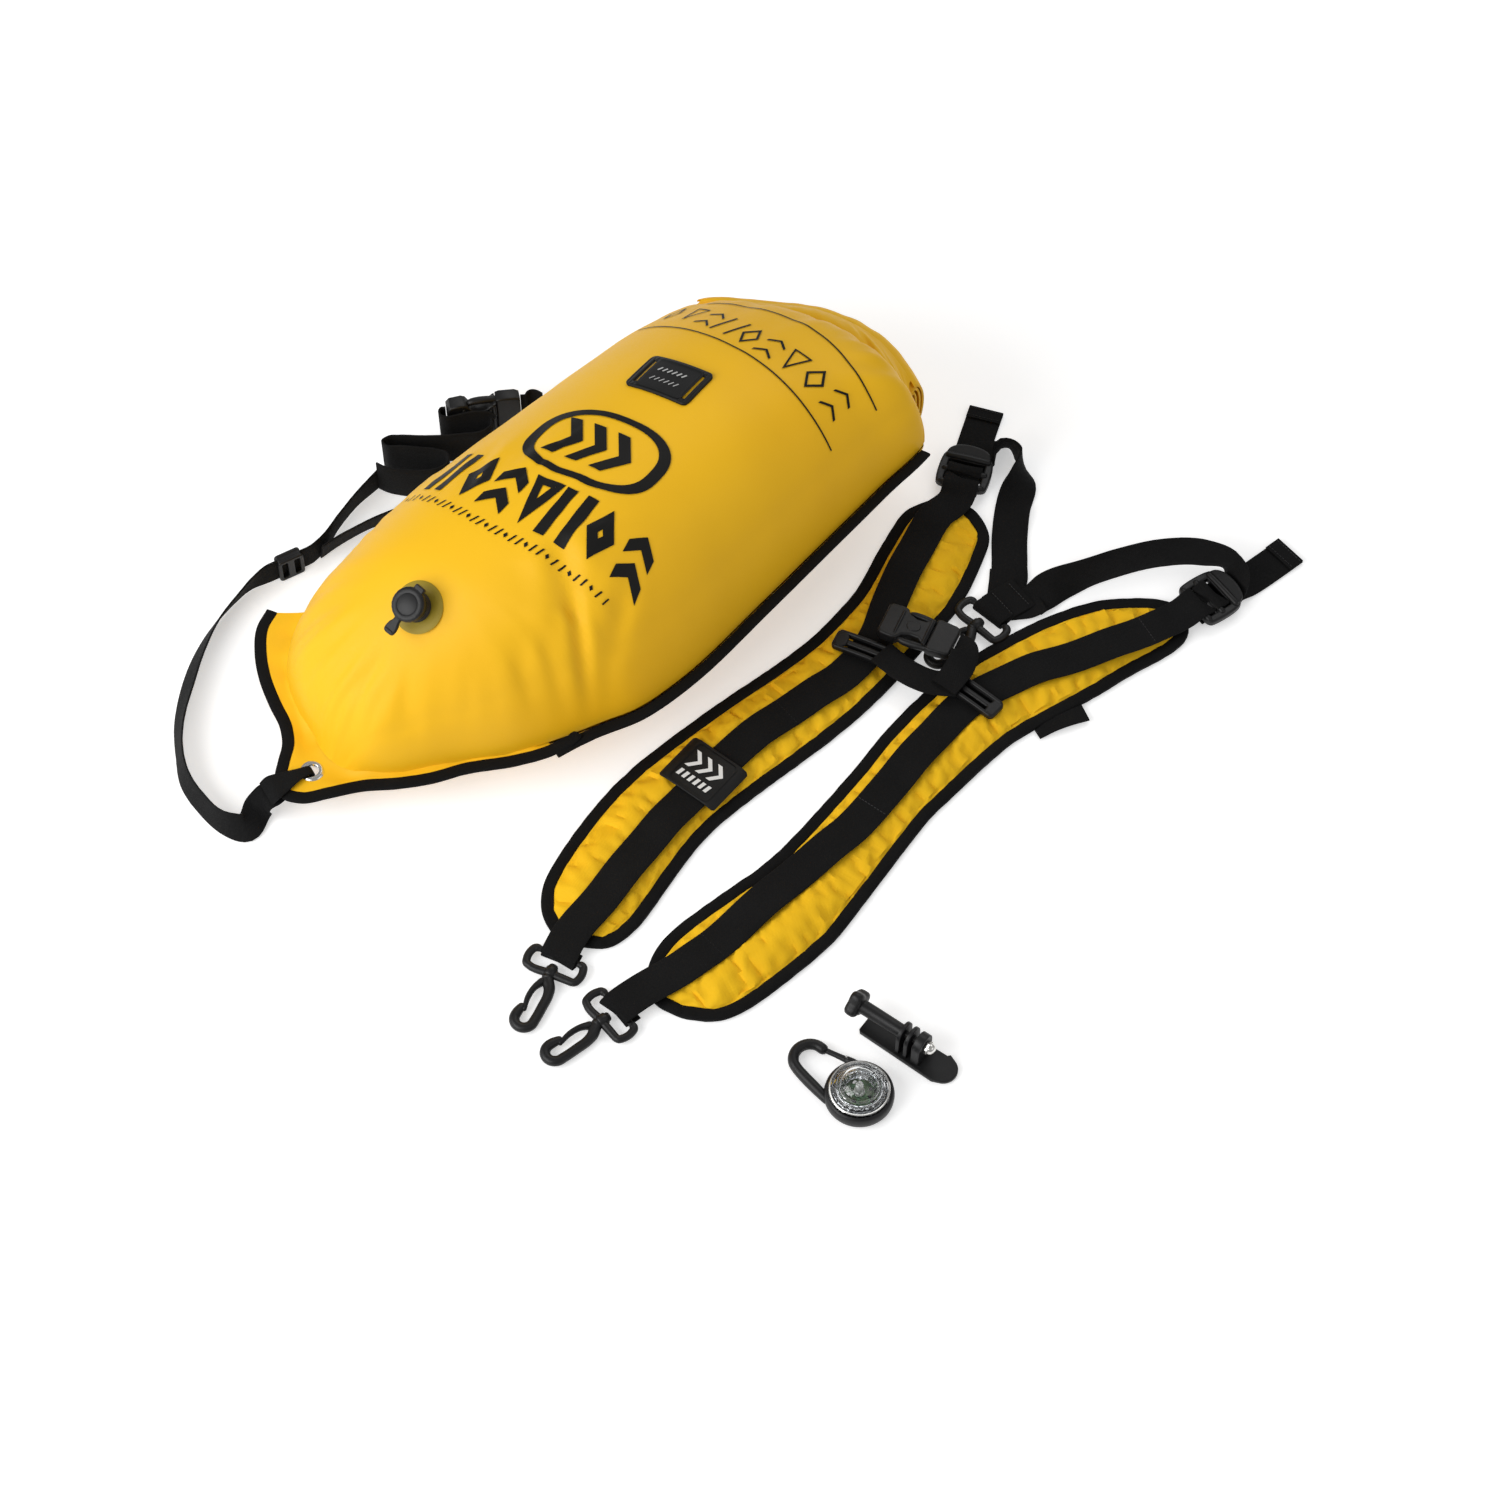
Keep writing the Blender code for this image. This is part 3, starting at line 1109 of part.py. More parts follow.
def build_yoke(place, heading):
    """The sewn block where both straps meet, with the folded end that holds the third hook."""
    corners = scaled(YOKE_SHARES, HARNESS_LENGTH)
    height = 2 * (WEBBING_THICKNESS + 2 * CLEARANCE)
    yoke = plate("back_yoke", [corners], CLEARANCE, height, cloth())
    way = turned_by(heading)
    rows = wrapped_end(place, heading, RING_LEVEL, WRAP, WEBBING_WIDTH / 7)
    lift = RING_LEVEL + WRAP
    for reach, level in ((0.10, lift), (0.30, 0.6 * lift), (0.62, 0.5 * height)):
        back = WEBBING_WIDTH * reach
        rows.append((place[0] - way.x * back, place[1] - way.y * back, level, 0.0))
    fold = strap("yoke_fold", rows, WEBBING_WIDTH, WEBBING_THICKNESS)
    boolean(yoke, fold, "UNION")


def build_ring(name, frame):
    """The hook's ring: a bar for the webbing, and a boss that the hook's stem turns in."""
    half, deep, corner = RING_WIDTH / 2, RING_DEPTH, RING_CORNER
    boss = BOSS_RADIUS * 0.75
    path = [(deep, boss)]
    for sx, sy, start in ((1, 1, 0), (0, 1, 90), (0, -1, 180), (1, -1, 270)):
        cx = deep - corner if sx else corner
        cy = sy * (half - corner)
        for step in range(4):
            angle = math.radians(start + 30 * step)
            path.append((cx + corner * math.cos(angle), cy + corner * math.sin(angle)))
    path.append((deep, -boss))
    ring = solid(name, tube([(x, y, 0.0) for x, y in path], RING_BAR, 6), plastic(), frame)
    inner = STEM_RADIUS + CLEARANCE
    profile = [(inner, -BOSS_LENGTH / 2), (BOSS_RADIUS, -BOSS_LENGTH / 2),
               (BOSS_RADIUS, BOSS_LENGTH / 2), (inner, BOSS_LENGTH / 2)]
    sleeve = solid(name + "_boss", turned_ring(profile, 16), plastic(), frame, at=(deep, 0.0, 0.0),
                   turn=(0.0, math.pi / 2, 0.0))
    boolean(ring, sleeve, "UNION")


def build_hook(name, frame):
    """The hook body as one bar: stem head, stem, spine, round end and the short nose."""
    swivel = frame_at(name + "_swivel", (RING_DEPTH, 0.0), 0.0, 0.0, frame)
    neck = BOSS_LENGTH / 2 + CLEARANCE
    head = neck + STEM_HEAD_LENGTH
    half = HOOK_WIDTH / 2 - HOOK_BAR
    far = HOOK_LENGTH - HOOK_BAR - half
    path = [(-head, 0.0), (-neck - STEM_HEAD_LENGTH / 8, 0.0), (-neck, 0.0), (neck, 0.0),
            (neck + HOOK_BAR, 0.0), (neck + 2.4 * HOOK_BAR, half * 0.55), (neck + 4 * HOOK_BAR, half)]
    radii = [STEM_HEAD, STEM_HEAD, STEM_RADIUS, STEM_RADIUS, HOOK_BAR * 1.2, HOOK_BAR * 1.1, HOOK_BAR]
    for step in range(7):
        angle = math.radians(90 - 30 * step)
        path.append((far + half * math.cos(angle), half * math.sin(angle)))
        radii.append(HOOK_BAR)
    path.append((far - HOOK_BAR * 2.4, -half))
    radii.append(HOOK_BAR * 0.8)
    solid(name, tube([(x, y, 0.0) for x, y in path], radii, 8), plastic(), swivel)
    pivot = (neck + 2.5 * HOOK_BAR, -half * 0.42)
    gate = frame_at(name + "_gate_axis", pivot, 0.0, 0.0, swivel)
    reach = far - HOOK_BAR * 1.2 - pivot[0]
    inside = -half + HOOK_BAR * 0.8 + GATE_BAR + CLEARANCE - pivot[1]
    path = [(0.0, 0.0, 0.0), (reach * 0.15, inside * 0.75, 0.0), (reach * 0.35, inside * 1.25, 0.0),
            (reach * 0.7, inside * 1.2, 0.0), (reach, inside, 0.0)]
    radii = [GATE_BAR * 0.9, GATE_BAR, GATE_BAR, GATE_BAR, GATE_BAR]
    solid(name + "_gate", tube(path, radii, 6), plastic(), gate)


def build_hook_set(name, share, heading):
    place = spot(share, HARNESS_LENGTH)
    frame = frame_at(name + "_ring_axis", place, heading, RING_LEVEL)
    build_ring(name + "_ring", frame)
    build_hook(name, frame)
    return place


def build_label():
    """The bare rubber label, sewn over the left pad's webbing."""
    frame = frame_at("label_frame", spot(LABEL_SHARE, HARNESS_LENGTH), LABEL_TURN,
                     PAD_TOP + WEBBING_THICKNESS / 2 + CLEARANCE)
    drop = (PAD_CROWN - PAD_EDGE) / 2
    sections = []
    for i in range(9):
        share = math.sin(math.pi / 2 * (2 * i / 8 - 1))
        x = share * LABEL_LENGTH / 2
        bend = max(0.0, abs(share) - 0.75) / 0.25
        level = -drop * bend**1.5 * 0.8
        corner = LABEL_CORNER * (0.5 if i in (0, 8) else 0.0)
        y = LABEL_WIDTH / 2 - corner
        top = level + LABEL_THICKNESS
        sections.append([(x, -y, level), (x, y, level), (x, y, top), (x, -y, top)])
    solid("pad_label", loft(sections), look("label_rubber", RUBBER_BLACK, 0.6), frame)


def build_clip(name, share, heading):
    frame = frame_at(name + "_frame", spot(share, HARNESS_LENGTH), heading)
    outline = rounded_outline(CLIP_LENGTH, CLIP_WIDTH, CLIP_CORNER, 2)
    slot_width = (CLIP_WIDTH - 3 * CLIP_CORNER) / 2
    slot = rounded_outline(WEBBING_WIDTH, slot_width, CLIP_CORNER / 3, 1)
    slots = [moved(slot, 0.0, side * (slot_width + CLIP_CORNER) / 2) for side in (-1, 1)]
    plate(name, [outline, *slots], CLIP_LEVEL, CLIP_LEVEL + CLIP_THICKNESS, plastic(), frame)


def build_sternum():
    build_clip("left_sternum_clip", LEFT_CLIP_SHARE, LEFT_CLIP_TURN)
    build_clip("right_sternum_clip", RIGHT_CLIP_SHARE, RIGHT_CLIP_TURN)
    place = spot(STERNUM_BUCKLE_SHARE, HARNESS_LENGTH)
    frame = frame_at("sternum_buckle_frame", place, STERNUM_BUCKLE_TURN)
    build_buckle("sternum_buckle", frame, STERNUM_BUCKLE_WIDTH, STERNUM_BUCKLE_THICKNESS, BUCKLE_LEVEL)
    rows = [(x, y, STERNUM_LEVEL, 0.0) for x, y in scaled(STERNUM_STRAP_SHARES, HARNESS_LENGTH)]
    strap("sternum_strap", rows, STERNUM_WEBBING, WEBBING_THICKNESS)
    way = turned_by(STERNUM_BUCKLE_TURN)
    reach = (BUCKLE_BODY + BUCKLE_TAIL) / 2 + 3 * CLEARANCE
    level = BUCKLE_LEVEL + STERNUM_BUCKLE_THICKNESS / 2
    low = STERNUM_LEVEL + WEBBING_THICKNESS + 2 * CLEARANCE
    rows = []
    for distance in (reach, reach + WEBBING_THICKNESS):
        rows.append((place[0] + way.x * distance, place[1] + way.y * distance, level, 0.0))
    levels = (level + 2 * WEBBING_THICKNESS, level + WEBBING_THICKNESS, low + WEBBING_THICKNESS / 2, low)
    rolls = (12.0, 20.0, 0.0, 0.0)
    for (x, y), z, roll in zip(scaled(STERNUM_LOOP_SHARES, HARNESS_LENGTH), levels, rolls, strict=True):
        rows.append((x, y, z, roll))
    strap("sternum_loop", rows, STERNUM_WEBBING, WEBBING_THICKNESS)
    rows = [(x, y, FLOOR_WEB, 0.0) for x, y in scaled(STERNUM_TAIL_SHARES, HARNESS_LENGTH)]
    strap("sternum_tail", rows, STERNUM_WEBBING / 2, WEBBING_THICKNESS)


def build_harness():
    build_pad("left_pad", LEFT_PAD_SHARES)
    build_pad("right_pad", RIGHT_PAD_SHARES)
    left_ring = build_hook_set("left_hook", LEFT_RING_SHARE, LEFT_RING_HEADING)
    right_ring = build_hook_set("right_hook", RIGHT_RING_SHARE, RIGHT_RING_HEADING)
    back_ring = build_hook_set("back_hook", BACK_RING_SHARE, BACK_RING_HEADING)
    left_lock = spot(LEFT_LOCK_SHARE, HARNESS_LENGTH)
    right_lock = spot(RIGHT_LOCK_SHARE, HARNESS_LENGTH)
    build_pad_webbing("left_pad_webbing", LEFT_WEB_SHARES, left_ring, LEFT_RING_HEADING,
                      left_lock, LEFT_LOCK_HEADING)
    build_pad_webbing("right_pad_webbing", RIGHT_WEB_SHARES, right_ring, RIGHT_RING_HEADING,
                      right_lock, RIGHT_LOCK_HEADING)
    build_ladder_lock("left_ladder_lock", left_lock, LEFT_LOCK_HEADING)
    build_ladder_lock("right_ladder_lock", right_lock, RIGHT_LOCK_HEADING)
    over = FLOOR_WEB + WEBBING_THICKNESS + CLEARANCE
    build_adjuster("left_adjuster_strap", left_lock, LEFT_LOCK_HEADING, LEFT_TAIL_SHARES,
                   LEFT_STRAP_SHARES, FLOOR_WEB)
    build_adjuster("right_adjuster_strap", right_lock, RIGHT_LOCK_HEADING, RIGHT_TAIL_SHARES,
                   RIGHT_STRAP_SHARES, over)
    build_yoke(back_ring, BACK_RING_HEADING)
    build_label()
    build_sternum()


def build_light():
    """The carabiner light: loop towards -X, dome and electronics round the origin."""
    frame = frame_at("light_frame", spot(LIGHT_SHARE, HARNESS_LENGTH), LIGHT_TURN)
    bevel = LIGHT_WALL
    puck = [(LIGHT_RADIUS - bevel, CLEARANCE), (LIGHT_RADIUS, CLEARANCE + bevel),
            (LIGHT_RADIUS, LIGHT_HEIGHT)]
    body = solid("light_body", turned_solid(puck, 28), plastic(), frame)
    level = LOOP_BAR + CLEARANCE
    start_x, side = -(LIGHT_RADIUS * 0.70), LIGHT_RADIUS * 0.62
    path = [(start_x, -side, level), (-LOOP_REACH * 0.66, -LOOP_RADIUS * 1.12, level)]
    for step in range(8):
        path.append((*loop_place(step), level))
    loop = solid("light_loop", tube(path, LOOP_BAR, 8), plastic(), frame)
    boolean(body, loop, "UNION")
    pivot = (-LOOP_REACH * 0.56, LOOP_RADIUS + LIGHT_GATE_BAR * 2.2)
    ear = LIGHT_GATE_BAR + CLEARANCE
    for low, high in ((level - LOOP_BAR, level - ear), (level + ear, level + LOOP_BAR * 1.4)):
        lug = box("light_lug", (pivot[0] - LOOP_BAR, pivot[1] - LOOP_BAR * 0.8, low),
                  (start_x + LOOP_BAR, pivot[1] + LOOP_BAR * 0.8, high), frame)
        boolean(body, lug, "UNION")
    cell_hole, shelf = COVER_RADIUS + CLEARANCE, BOARD_RADIUS + CLEARANCE
    inner = LIGHT_RADIUS - LIGHT_WALL
    top = LIGHT_HEIGHT + OVERRUN
    hollow = [(cell_hole, -OVERRUN), (cell_hole, LIGHT_LEDGE), (shelf, LIGHT_LEDGE), (shelf, LIGHT_SEAT),
              (inner, LIGHT_SEAT), (inner, top)]
    boolean(body, solid("light_hollow", turned_solid(hollow, 28), plastic(), frame), "DIFFERENCE")
    bore = LIGHT_PIN_RADIUS + CLEARANCE
    pin_bore = turned_solid([(bore, 0.0), (bore, level + LOOP_BAR * 2)], 12)
    boolean(body, solid("pin_bore", pin_bore, plastic(), frame, at=(*pivot, 0.0)), "DIFFERENCE")
    pin = turned_solid([(LIGHT_PIN_RADIUS, 2 * CLEARANCE), (LIGHT_PIN_RADIUS, level + LOOP_BAR * 1.3)], 10)
    solid("light_gate_pin", pin, look("pin_steel", STEEL, 0.3, 1.0), frame, at=(*pivot, 0.0))
    build_light_gate(frame, pivot, level)
    build_light_inside(frame)


def loop_place(step):
    """Places round the loop's end, from its near leg to its free tip."""
    angle = math.radians(-100 - 26 * step)
    return -LOOP_REACH + LOOP_RADIUS * math.cos(angle), LOOP_RADIUS * math.sin(angle)


def build_light_gate(frame, pivot, level):
    """The sprung gate closes the loop from its pin to the loop's free end."""
    axis = frame_at("light_gate_axis", pivot, 0.0, level, frame)
    eye = LIGHT_PIN_RADIUS + CLEARANCE
    half = LIGHT_GATE_BAR
    profile = [(eye, -half), (half * 1.1, -half), (half * 1.1, half), (eye, half)]
    gate = solid("light_gate", turned_ring(profile, 16), plastic(), axis)
    tip = loop_place(7)
    nose = (tip[0] - pivot[0], tip[1] - pivot[1])
    length = math.hypot(*nose)
    gap = CLEARANCE * 3
    share = (length - gap) / length
    start = (eye + half) / 2 / length
    path = [(nose[0] * start, nose[1] * start, 0.0), (nose[0] * share, nose[1] * share, 0.0)]
    bar = solid("light_gate_bar", tube(path, LIGHT_GATE_BAR * 0.85, 8), plastic(), axis)
    boolean(gate, bar, "UNION")


def build_light_inside(frame):
    """The clear dome that is pressed to switch, the board with its lamp, the cell and the cell's cover."""
    foot = LIGHT_SEAT + CLEARANCE + DOME_TRAVEL
    skirt_top = LIGHT_HEIGHT + (DOME_TOP - LIGHT_HEIGHT) * 0.16
    step_top = LIGHT_HEIGHT + (DOME_TOP - LIGHT_HEIGHT) * 0.42
    wall = DOME_WALL
    crown = [(DOME_RADIUS, step_top)]
    inside = [(DOME_RADIUS - wall, step_top)]
    for degrees in (30, 55, 75):
        angle = math.radians(degrees)
        crown.append((DOME_RADIUS * math.cos(angle), step_top + (DOME_TOP - step_top) * math.sin(angle)))
        inside.append(((DOME_RADIUS - wall) * math.cos(angle),
                       step_top + (DOME_TOP - wall - step_top) * math.sin(angle)))
    outer = [(DOME_SKIRT_RADIUS, foot), (DOME_SKIRT_RADIUS, skirt_top), (DOME_STEP_RADIUS, skirt_top),
             (DOME_STEP_RADIUS, step_top)] + crown + [(wall, DOME_TOP)]
    hollow = [(wall, DOME_TOP - wall)] + inside[::-1] + [(DOME_STEP_RADIUS - wall, step_top - wall),
              (DOME_STEP_RADIUS - wall, skirt_top - wall), (DOME_SKIRT_RADIUS - wall, skirt_top - wall),
              (DOME_SKIRT_RADIUS - wall, foot)]
    rings = [ring_points(radius, level, 24) for radius, level in outer + hollow]
    dome = bmesh.new()
    verts = [[dome.verts.new(point) for point in ring] for ring in rings]
    top_ring = len(outer) - 1
    for i, ring in enumerate(verts):
        following = verts[(i + 1) % len(verts)]
        if i == top_ring:
            dome.faces.new(ring)
            dome.faces.new(following)
            continue
        for a in range(24):
            b = (a + 1) % 24
            dome.faces.new((ring[a], ring[b], following[b], following[a]))
    bmesh.ops.recalc_face_normals(dome, faces=dome.faces)
    solid("light_dome", dome, look("clear_plastic", CLEAR, 0.08), frame)
    board_low = LIGHT_LEDGE + CLEARANCE
    board = turned_solid([(BOARD_RADIUS, board_low), (BOARD_RADIUS, board_low + BOARD_THICKNESS)])
    solid("light_board", board, look("board_green", BOARD_GREEN, 0.5), frame)
    lamp = board_low + BOARD_THICKNESS + CLEARANCE
    rim, flange = LED_RADIUS * 1.15, lamp + LED_HEIGHT / 8
    lens = [(rim, lamp), (rim, flange), (LED_RADIUS, flange),
            (LED_RADIUS, lamp + LED_HEIGHT * 0.75), (LED_RADIUS * 0.6, lamp + LED_HEIGHT)]
    solid("light_lamp", turned_solid(lens, 16), look("led_lens", LED_WHITE, 0.2), frame)
    cover_top = CLEARANCE + COVER_THICKNESS
    cover = turned_solid([(COVER_RADIUS, CLEARANCE), (COVER_RADIUS, cover_top)])
    made = solid("battery_cover", cover, plastic(), frame)
    slot = box("coin_slot", (-COVER_RADIUS * 0.7, -COIN_SLOT_WIDTH / 2, -OVERRUN),
               (COVER_RADIUS * 0.7, COIN_SLOT_WIDTH / 2, CLEARANCE + COIN_SLOT_DEPTH), frame)
    boolean(made, slot, "DIFFERENCE")
    cell_low = cover_top + CLEARANCE
    cell = turned_solid([(CELL_RADIUS, cell_low), (CELL_RADIUS, cell_low + CELL_THICKNESS)])
    solid("coin_cell", cell, look("cell_steel", STEEL, 0.3, 1.0), frame)


def build_camera_mount():
    """The flat base with two thin prongs and one thick lug, and the long thumb screw through them."""
    frame = frame_at("mount_frame", spot(MOUNT_SHARE, HARNESS_LENGTH), MOUNT_TURN)
    half = PLATE_WIDTH / 2
    points = [(0.0, -half + PLATE_CORNER), (PLATE_CORNER, -half), (PLATE_LENGTH * 0.82, -half),
              (PLATE_LENGTH * 0.84, -half - PLATE_CORNER)]
    nose = PLATE_LENGTH - half
    for degrees in (-70, -40, -10, 20, 50, 80):
        angle = math.radians(degrees)
        points.append((nose + half * math.cos(angle), half * math.sin(angle)))
    points += [(PLATE_CORNER, half), (0.0, half - PLATE_CORNER)]
    base = plate("mount_base", [points], 0.0, PLATE_THICKNESS, plastic(), frame)
    ear = [(-EAR_RADIUS, PLATE_THICKNESS / 2), (EAR_RADIUS, PLATE_THICKNESS / 2)]
    for degrees in range(0, 181, 20):
        angle = math.radians(degrees)
        ear.append((EAR_RADIUS * math.cos(angle), EAR_HEIGHT + EAR_RADIUS * math.sin(angle)))
    round_bore = ring_points(SCREW_RADIUS + CLEARANCE, 0.0, 16)
    bore = [(out, EAR_HEIGHT + up) for out, up, _ in round_bore]
    start = PLATE_LENGTH * 0.40
    places = [(start, PRONG_THICKNESS), (start + PRONG_THICKNESS + PRONG_GAP, PRONG_THICKNESS),
              (start + 2 * (PRONG_THICKNESS + PRONG_GAP), LUG_THICKNESS)]
    for x, thick in places:
        sections = [[(x + side * thick, y, z) for y, z in ear] for side in (0.0, 1.0)]
        boolean(base, solid("mount_ear", loft(sections), plastic(), frame), "UNION")
    end = places[-1][0] + LUG_THICKNESS
    sections = [[(x, y, z) for y, z in bore] for x in (start - OVERRUN, end + OVERRUN)]
    boolean(base, solid("mount_bore", loft(sections), plastic(), frame), "DIFFERENCE")
    build_thumb_screw(frame, start, end)


def build_thumb_screw(frame, start, end):
    axis = frame_at("thumb_screw_axis", (0.0, 0.0), 0.0, EAR_HEIGHT, frame)
    sides = 24
    tail = start - CLEARANCE
    front = tail - SLEEVE_LENGTH
    nut_low = end + CLEARANCE

    def section(x, radius, lobes=0.0):
        points = []
        for i in range(sides):
            angle = 2 * math.pi * i / sides
            r = radius * (1 + lobes * math.cos(4 * angle))
            points.append((x, r * math.cos(angle), r * math.sin(angle)))
        return points

    shank_end = nut_low + NUT_LENGTH * 0.6
    sections = [
        section(front - KNOB_THICKNESS, KNOB_RADIUS * 0.78, 0.16),
        section(front - KNOB_THICKNESS * 0.75, KNOB_RADIUS * 0.9, 0.16),
        section(front - KNOB_THICKNESS * 0.2, KNOB_RADIUS * 0.9, 0.16),
        section(front, KNOB_RADIUS * 0.72, 0.1),
        section(front, SLEEVE_RADIUS),
        section(tail, SLEEVE_RADIUS * 0.94),
        section(tail, SCREW_RADIUS),
        section(shank_end, SCREW_RADIUS),
    ]
    solid("thumb_screw", loft(sections), plastic(), axis)
    steel = look("nut_steel", STEEL, 0.2, 1.0)
    sections = []
    for along, wide in ((0.0, 1.0), (0.55, 1.0), (0.6, 0.8), (0.85, 0.62), (1.0, 0.3)):
        x = nut_low + NUT_LENGTH * along
        sections.append([(x, y, z) for y, z, _ in ring_points(NUT_RADIUS * wide, 0.0, 6)])
    shape = loft(sections)
    nut = solid("acorn_nut", shape, steel, frame, at=(0.0, 0.0, EAR_HEIGHT))
    hole = [section(x, SCREW_RADIUS + CLEARANCE) for x in (nut_low - OVERRUN, shank_end + CLEARANCE)]
    boolean(nut, solid("nut_bore", loft(hole), steel, frame, at=(0.0, 0.0, EAR_HEIGHT)), "DIFFERENCE")


def build_bag():
    rows = bag_rows()
    top_panel, _, tree = build_panels(rows)
    build_bindings(rows)
    eyelet = build_nose_tab(rows)
    build_eyelet(*eyelet)
    build_roll()
    build_patch(tree)
    build_valve(tree, top_panel)
    build_leash(*eyelet)
    build_slider()
    build_waist_belt()


def main():
    clear_scene()
    build_bag()
    build_harness()
    build_light()
    build_camera_mount()


main()
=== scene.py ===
"""Looks of the swim buoy with its leash, waist belt, shoulder harness, safety light and camera mount."""
import json
import math

import bmesh
import bpy
import numpy as np
from mathutils import Matrix, Vector, noise
from mathutils.bvhtree import BVHTree

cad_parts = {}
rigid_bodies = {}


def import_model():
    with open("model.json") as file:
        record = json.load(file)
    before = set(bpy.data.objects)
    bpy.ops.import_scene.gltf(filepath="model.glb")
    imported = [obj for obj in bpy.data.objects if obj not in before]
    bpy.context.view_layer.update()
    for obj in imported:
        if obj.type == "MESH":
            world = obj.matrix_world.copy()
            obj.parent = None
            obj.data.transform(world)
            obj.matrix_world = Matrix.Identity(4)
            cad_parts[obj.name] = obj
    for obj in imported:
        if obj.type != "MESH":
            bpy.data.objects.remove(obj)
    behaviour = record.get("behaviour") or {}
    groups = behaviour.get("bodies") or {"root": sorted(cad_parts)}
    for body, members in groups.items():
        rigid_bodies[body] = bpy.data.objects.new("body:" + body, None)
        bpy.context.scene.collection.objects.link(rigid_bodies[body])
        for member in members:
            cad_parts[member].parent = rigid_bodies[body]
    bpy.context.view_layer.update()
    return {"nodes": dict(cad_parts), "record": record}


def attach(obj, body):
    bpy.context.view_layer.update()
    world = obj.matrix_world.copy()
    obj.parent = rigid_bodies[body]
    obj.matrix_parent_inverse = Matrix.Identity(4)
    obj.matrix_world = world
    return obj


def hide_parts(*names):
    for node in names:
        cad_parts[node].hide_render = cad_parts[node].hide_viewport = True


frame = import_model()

MM = 0.001
NODE_BODY = {node: body for body, nodes in frame["record"]["behaviour"]["bodies"].items() for node in nodes}

# The bag's own sizes, in metres
BAG_LENGTH = 0.500
BAG_HEIGHT = 0.165
SEAM_HALF = 0.0012
BINDING_WIDTH = 0.0085
BINDING_THICKNESS = 0.0030
CLEARANCE = 0.0003
PANEL_ROWS, PANEL_COLUMNS = 150, 97
UNDERSIDE_ROWS, UNDERSIDE_COLUMNS = 70, 49
RIM_ROWS = 60
VALVE_HOLE = 0.0072
EYELET_HOLE = 0.0056
NOSE_THICKNESS = 0.0016
NOSE_COLUMNS = 14
# Shape of the upper panel across: where its crest lies, and how full it is
CREST_SHIFT, CROWN_POWER, CROWN_ROOT = 0.08, 2.25, 0.56
# Rows from the front to the mouth: left x, left y, right x, right y, bow, top and underside, as shares
BAG_ROW_SHARES = [
    (-0.068, -0.410, 0.012, -0.410, -0.012, 0.170, 0.110),
    (-0.124, -0.394, 0.052, -0.374, -0.008, 0.400, 0.080),
    (-0.174, -0.364, 0.100, -0.310, 0.000, 0.585, 0.040),
    (-0.206, -0.308, 0.148, -0.250, 0.000, 0.735, 0.000),
    (-0.218, -0.250, 0.178, -0.200, 0.000, 0.840, -0.060),
    (-0.228, -0.180, 0.206, -0.142, 0.000, 0.910, -0.120),
    (-0.234, -0.098, 0.230, -0.092, 0.000, 0.955, -0.180),
    (-0.232, -0.010, 0.2435, -0.016, 0.000, 0.985, -0.200),
    (-0.228, 0.120, 0.2455, 0.120, 0.000, 0.990, -0.200),
    (-0.228, 0.240, 0.2455, 0.240, 0.000, 0.970, -0.200),
    (-0.226, 0.340, 0.2455, 0.350, 0.004, 0.900, -0.150),
    (-0.222, 0.392, 0.2445, 0.440, 0.016, 0.790, 0.050),
    (-0.210, 0.402, 0.228, 0.452, 0.030, 0.700, 0.120),
    (-0.196, 0.407, 0.204, 0.457, 0.036, 0.620, 0.200),
]
NOSE_BINDING_SHARES = [
    (-0.262, -0.312), (-0.251, -0.339), (-0.223, -0.368), (-0.189, -0.391), (-0.148, -0.410),
    (-0.109, -0.425), (-0.086, -0.442), (-0.070, -0.464), (-0.054, -0.484), (-0.032, -0.496),
    (-0.012, -0.486), (0.008, -0.456), (0.032, -0.418), (0.064, -0.384), (0.094, -0.346),
    (0.114, -0.312), (0.160, -0.254), (0.184, -0.214), (0.190, -0.198),
]
SEAM_PLACE_SHARES = [-0.42, -0.14, 0.444, 0.481]
SEAM_LEVELS = [0.023, 0.033, 0.052, 0.052]
LEAN_SHARES = [0.0, 0.070, 0.300, 0.300]
EYELET_SHARE = (-0.032, -0.448)
VALVE_SHARE = (-0.006, -0.258)
PATCH_SHARE = (0.002, 0.196)
# Places that stay smooth, each with its radius in metres, and how far the folds take to fade in
CALM_PLACES = ((VALVE_SHARE, 0.019), (PATCH_SHARE, 0.033))
CALM_FADE = 0.012
# Where the bindings and the nose's own seams start and end along the bag, as shares of its length
LEFT_BINDING_SHARES = (-0.268, 0.386)
RIGHT_BINDING_SHARES = (-0.207, 0.430)
NOSE_SEAM_SHARES = (-0.268, -0.208)
# Middle of the rolled mouth: x, y and z
ROLL_SHARES = [
    (-0.184, 0.4348, 0.068), (-0.092, 0.4788, 0.092), (0.000, 0.5018, 0.130),
    (0.090, 0.5088, 0.143), (0.176, 0.4928, 0.136),
]
ROLL_DEPTH = 0.029
ROLL_HEIGHT = 0.066
ROLL_PITCH = 0.0042
ROLL_WALL = 0.0022
ROLL_TURNS, ROLL_STEPS = 2.5, 110
GATHER_ROWS = 9

# The pads in metres: levels, tape, and half width held down by the webbing; stitches in millimetres
PAD_EDGE_LEVEL = 0.0032
PAD_TOP_LEVEL = 0.0090
PAD_FLOOR_LEVEL = 0.0003
PAD_TAPE_THICKNESS = 0.0042
PAD_ROWS, PAD_COLUMNS = 150, 25
PAD_RIM_STEPS = 360
CLOTH_FRAMES = 20
SEWN_HALF = 0.0115
STITCH_PITCH, STITCH_MARGIN = 2.6, 1.5
BAR_SIDES = 20

